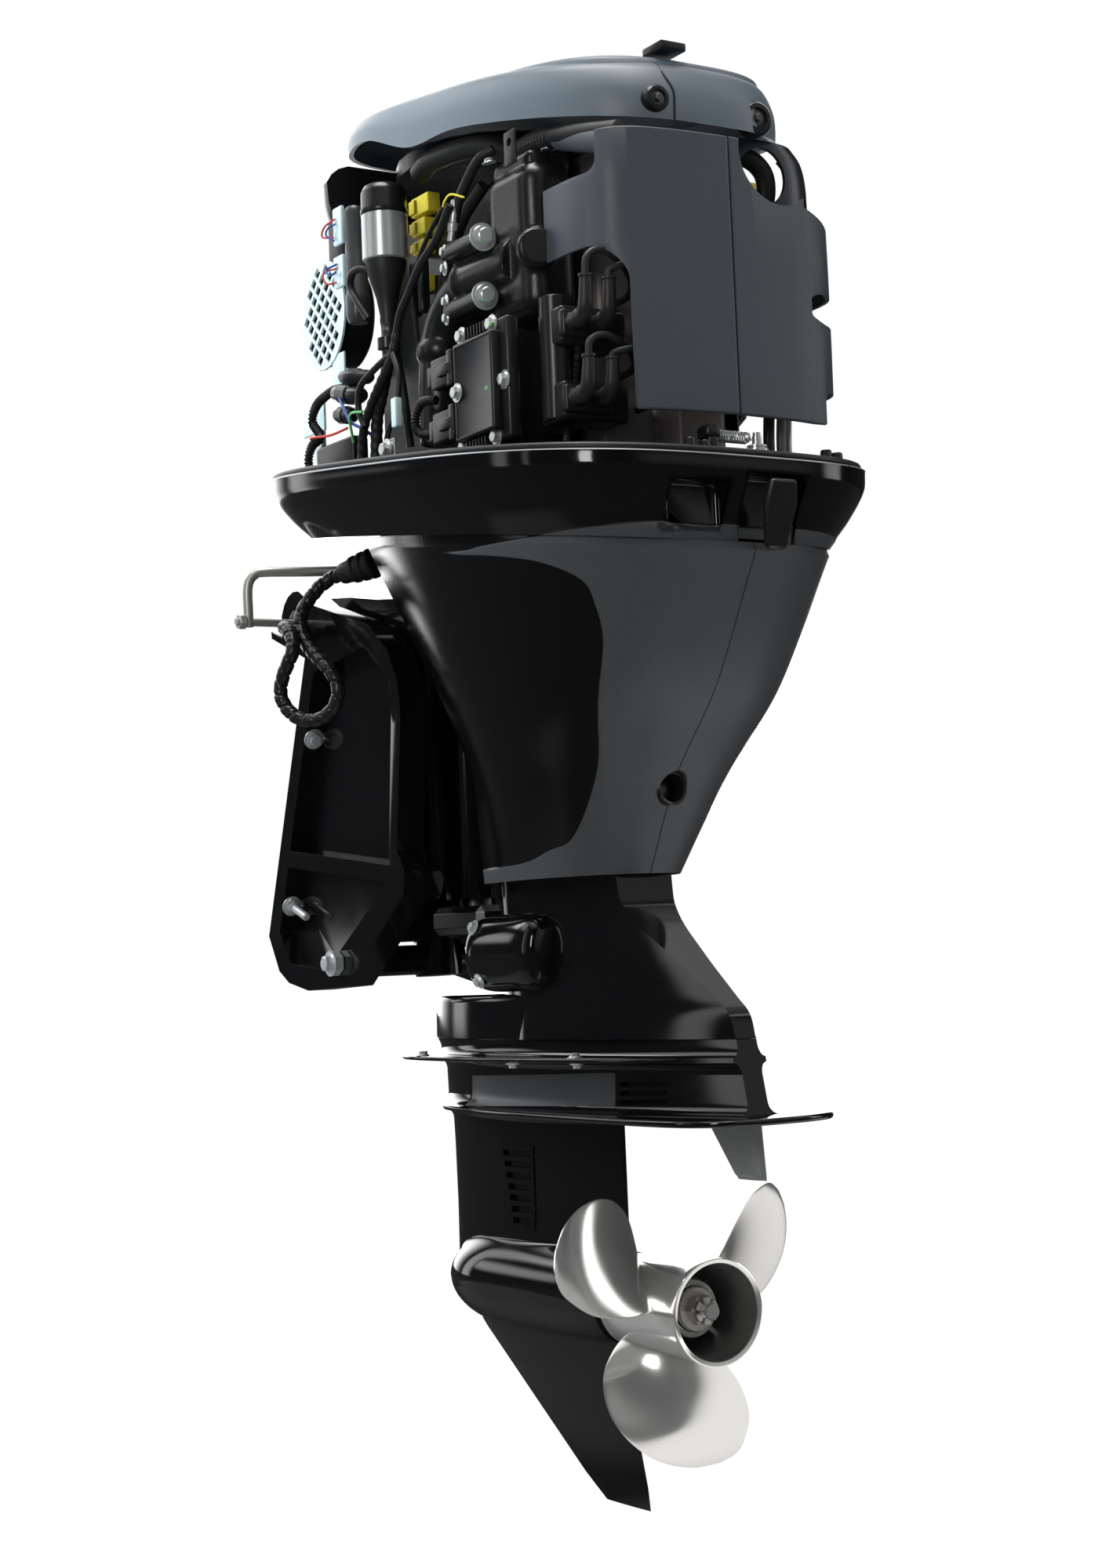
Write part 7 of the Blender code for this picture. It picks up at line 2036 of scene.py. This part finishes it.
# %% [markdown]
# ## Plugs, clips and brackets
# Small mouldings sit between the wires: plug shells, a round sensor, clips and two pale brackets. They are
# rounded blocks and turned shapes; merged groups keep the count of objects low.

# %% Small fittings
barrels = []
for start, end, radius in (
    ((0.180, -0.164, 0.3060), (0.252, -0.166, 0.2910), 0.0100),
    ((0.160, -0.163, 0.2915), (0.236, -0.168, 0.2730), 0.0120),
    ((0.158, -0.160, 0.2660), (0.208, -0.165, 0.2560), 0.0105),
):
    way = Vector(end) - Vector(start)
    reach = way.length
    profile = [(0.0, 0.55), (0.06, 0.72), (0.28, 0.75), (0.30, 1.0), (0.62, 1.0), (0.65, 0.85), (0.92, 0.82), (1.0, 0.6)]
    barrels.append(lathe("barrel", [(reach * a, radius * r) for a, r in profile], start, way, BLACK_PLASTIC, 28))
low_box = block("low_box", (0.122, -0.172, 0.186), (0.214, -0.150, 0.232), BLACK_PLASTIC, 0.004)
lid_rib = block("lid_rib", (0.128, -0.176, 0.196), (0.206, -0.170, 0.204), BLACK_PLASTIC, 0.001)
rods = [block("rod", (x, -0.150, 0.345), (x + 0.010, -0.138, 0.405), BLACK_PLASTIC, 0.003) for x in (0.322, 0.340)]
clip_band = lathe("clip_band", [(0.0, 0.0105), (0.0, 0.0120), (0.012, 0.0120), (0.012, 0.0105)], (0.3005, -0.1675, 0.312), (0.02, 0, 1), BLACK_PLASTIC, 28)
put(merged("plug_shells", BLACK_PLASTIC, *barrels, low_box, lid_rib, *rods, clip_band), "motor")
pale = [
    # The small pale link is a painted highlight on a black plastic part; the other blocks are pale plastic fittings.
    block("painted_highlight_link", (0.336, -0.187, 0.214), (0.348, -0.178, 0.247), PALE_PLASTIC, 0.002),
    block("frame_high", (0.190, -0.1745, 0.4560), (0.212, -0.1690, 0.5000), PALE_PLASTIC, 0.002),
    block("frame_low", (0.188, -0.1745, 0.4060), (0.212, -0.1690, 0.4430), PALE_PLASTIC, 0.002),
    block("bracket_mid", (0.122, -0.146, 0.300), (0.152, -0.143, 0.345), PALE_PLASTIC, 0.001),
    block("bracket_fore", (0.040, -0.146, 0.262), (0.096, -0.143, 0.300), PALE_PLASTIC, 0.001),
    block("bracket_foot", (0.078, -0.150, 0.225), (0.096, -0.144, 0.262), PALE_PLASTIC, 0.001),
]
put(merged("pale_fittings_and_painted_highlight", PALE_PLASTIC, *pale), "motor")
sensor = lathe("sensor", [(0.0, 0.0052), (0.010, 0.0052), (0.011, 0.0062), (0.019, 0.0062), (0.020, 0.0048), (0.042, 0.0046), (0.044, 0.0036)],
               (0.4388, -0.160, 0.4000), (0.25, 0, 1), STEEL, 28)
put(sensor, "motor")
washers = []
for place in ((0.3239, -0.1840, 0.1923), (0.5085, -0.1000, 0.1870)):
    washers.append(lathe("washer", [(0.0, 0.0105), (0.0018, 0.0105), (0.0022, 0.0098)], place, (0, -1, 0), STEEL, 32))
put(merged("washers", STEEL, *washers), "motor")
bolts("loom_bolts", [((0.3239, -0.1862, 0.1923), (0, -1, 0)), ((0.5085, -0.1022, 0.1870), (0, -1, 0))], 0.0075, STEEL, "motor")
stay = block("stay", (0.312, -0.1840, 0.168), (0.336, -0.1815, 0.204), STEEL, 0.001)
put(stay, "motor")

# %% [markdown]
# ## Aft rim fittings
# Between the rear covers and the rim stand the latch post, the spring's anchor bolt with its washers, two
# tubes and four small posts. They are turned shapes and blocks.

# %% Aft rim fittings
post = block("post", (0.7035, -0.0330, 0.1220), (0.7205, -0.0215, 0.1560), BLACK_PLASTIC, 0.003)
post_cap = block("post_cap", (0.7000, -0.0360, 0.1410), (0.7220, -0.0190, 0.1545), BLACK_PLASTIC, 0.004)
posts = [post, post_cap]
for x, y, z in ((0.735, -0.068, 0.1335), (0.735, -0.050, 0.1320), (0.733, 0.104, 0.1330), (0.733, 0.118, 0.1310)):
    posts.append(lathe("peg", [(0.0, 0.0062), (0.012, 0.0060), (0.0135, 0.0050)], (x, y, z - 0.012), UPRIGHT, BLACK_PLASTIC, 24))
put(merged("rim_posts", BLACK_PLASTIC, *posts), "motor")
anchor = [(0.0, 0.0060), (0.010, 0.0060), (0.010, 0.0120), (0.0125, 0.0120), (0.0125, 0.0090), (0.0145, 0.0090), (0.0145, 0.0105), (0.0165, 0.0105),
          (0.0165, 0.0048), (0.026, 0.0048), (0.0265, 0.0040), (0.0300, 0.0040), (0.0305, 0.0)]
put(lathe("spring_anchor", anchor, (0.7145, 0.0300, 0.1210), UPRIGHT, STEEL, 36), "motor")
tube_route = ((0.690, 0.064, 0.120), (0.690, 0.064, 0.150), (0.690, 0.066, 0.180))
put(sweep("riser_dark", smooth_path(tube_route, 6), 0.0060, RUBBER, 20), "motor")
put(sweep("riser_brown", smooth_path([(x, y + 0.016, z) for x, y, z in tube_route], 6), 0.0052, BROWN, 20), "motor")
put(sweep("riser_pale", smooth_path([(x - 0.004, y + 0.029, z) for x, y, z in tube_route], 6), 0.0030, STEEL, 16), "motor")
print("aft rim ready")

# %% [markdown]
# ## Closing
# Every CAD node that still shows gets the procedural finish of its slot.

# %% Finishes of the nodes that remain
SLOT_FINISH = {
    "gloss_black": GLOSS_BLACK,
    "gloss_black_plastic": TRAY_BLACK,
    "satin_charcoal": APRON_BLACK,
    "engine_black": ENGINE_BLACK,
    "cover_grey": COVER_GREY,
    "rear_grey": REAR_GREY,
    "black_plastic": BLACK_PLASTIC,
    "rubber": RUBBER,
    "steel": STEEL,
    "stainless": STAINLESS,
    "zinc": ZINC,
    "pale_plastic": PALE_PLASTIC,
    "cast_alloy": CAST_ALLOY,
}
slots = {entry["node"]: entry["material_slot"] for entry in frame["record"]["subparts"]}
for name, node in frame["nodes"].items():
    node.data.materials.clear()
    node.data.materials.append(SLOT_FINISH[slots[name]])
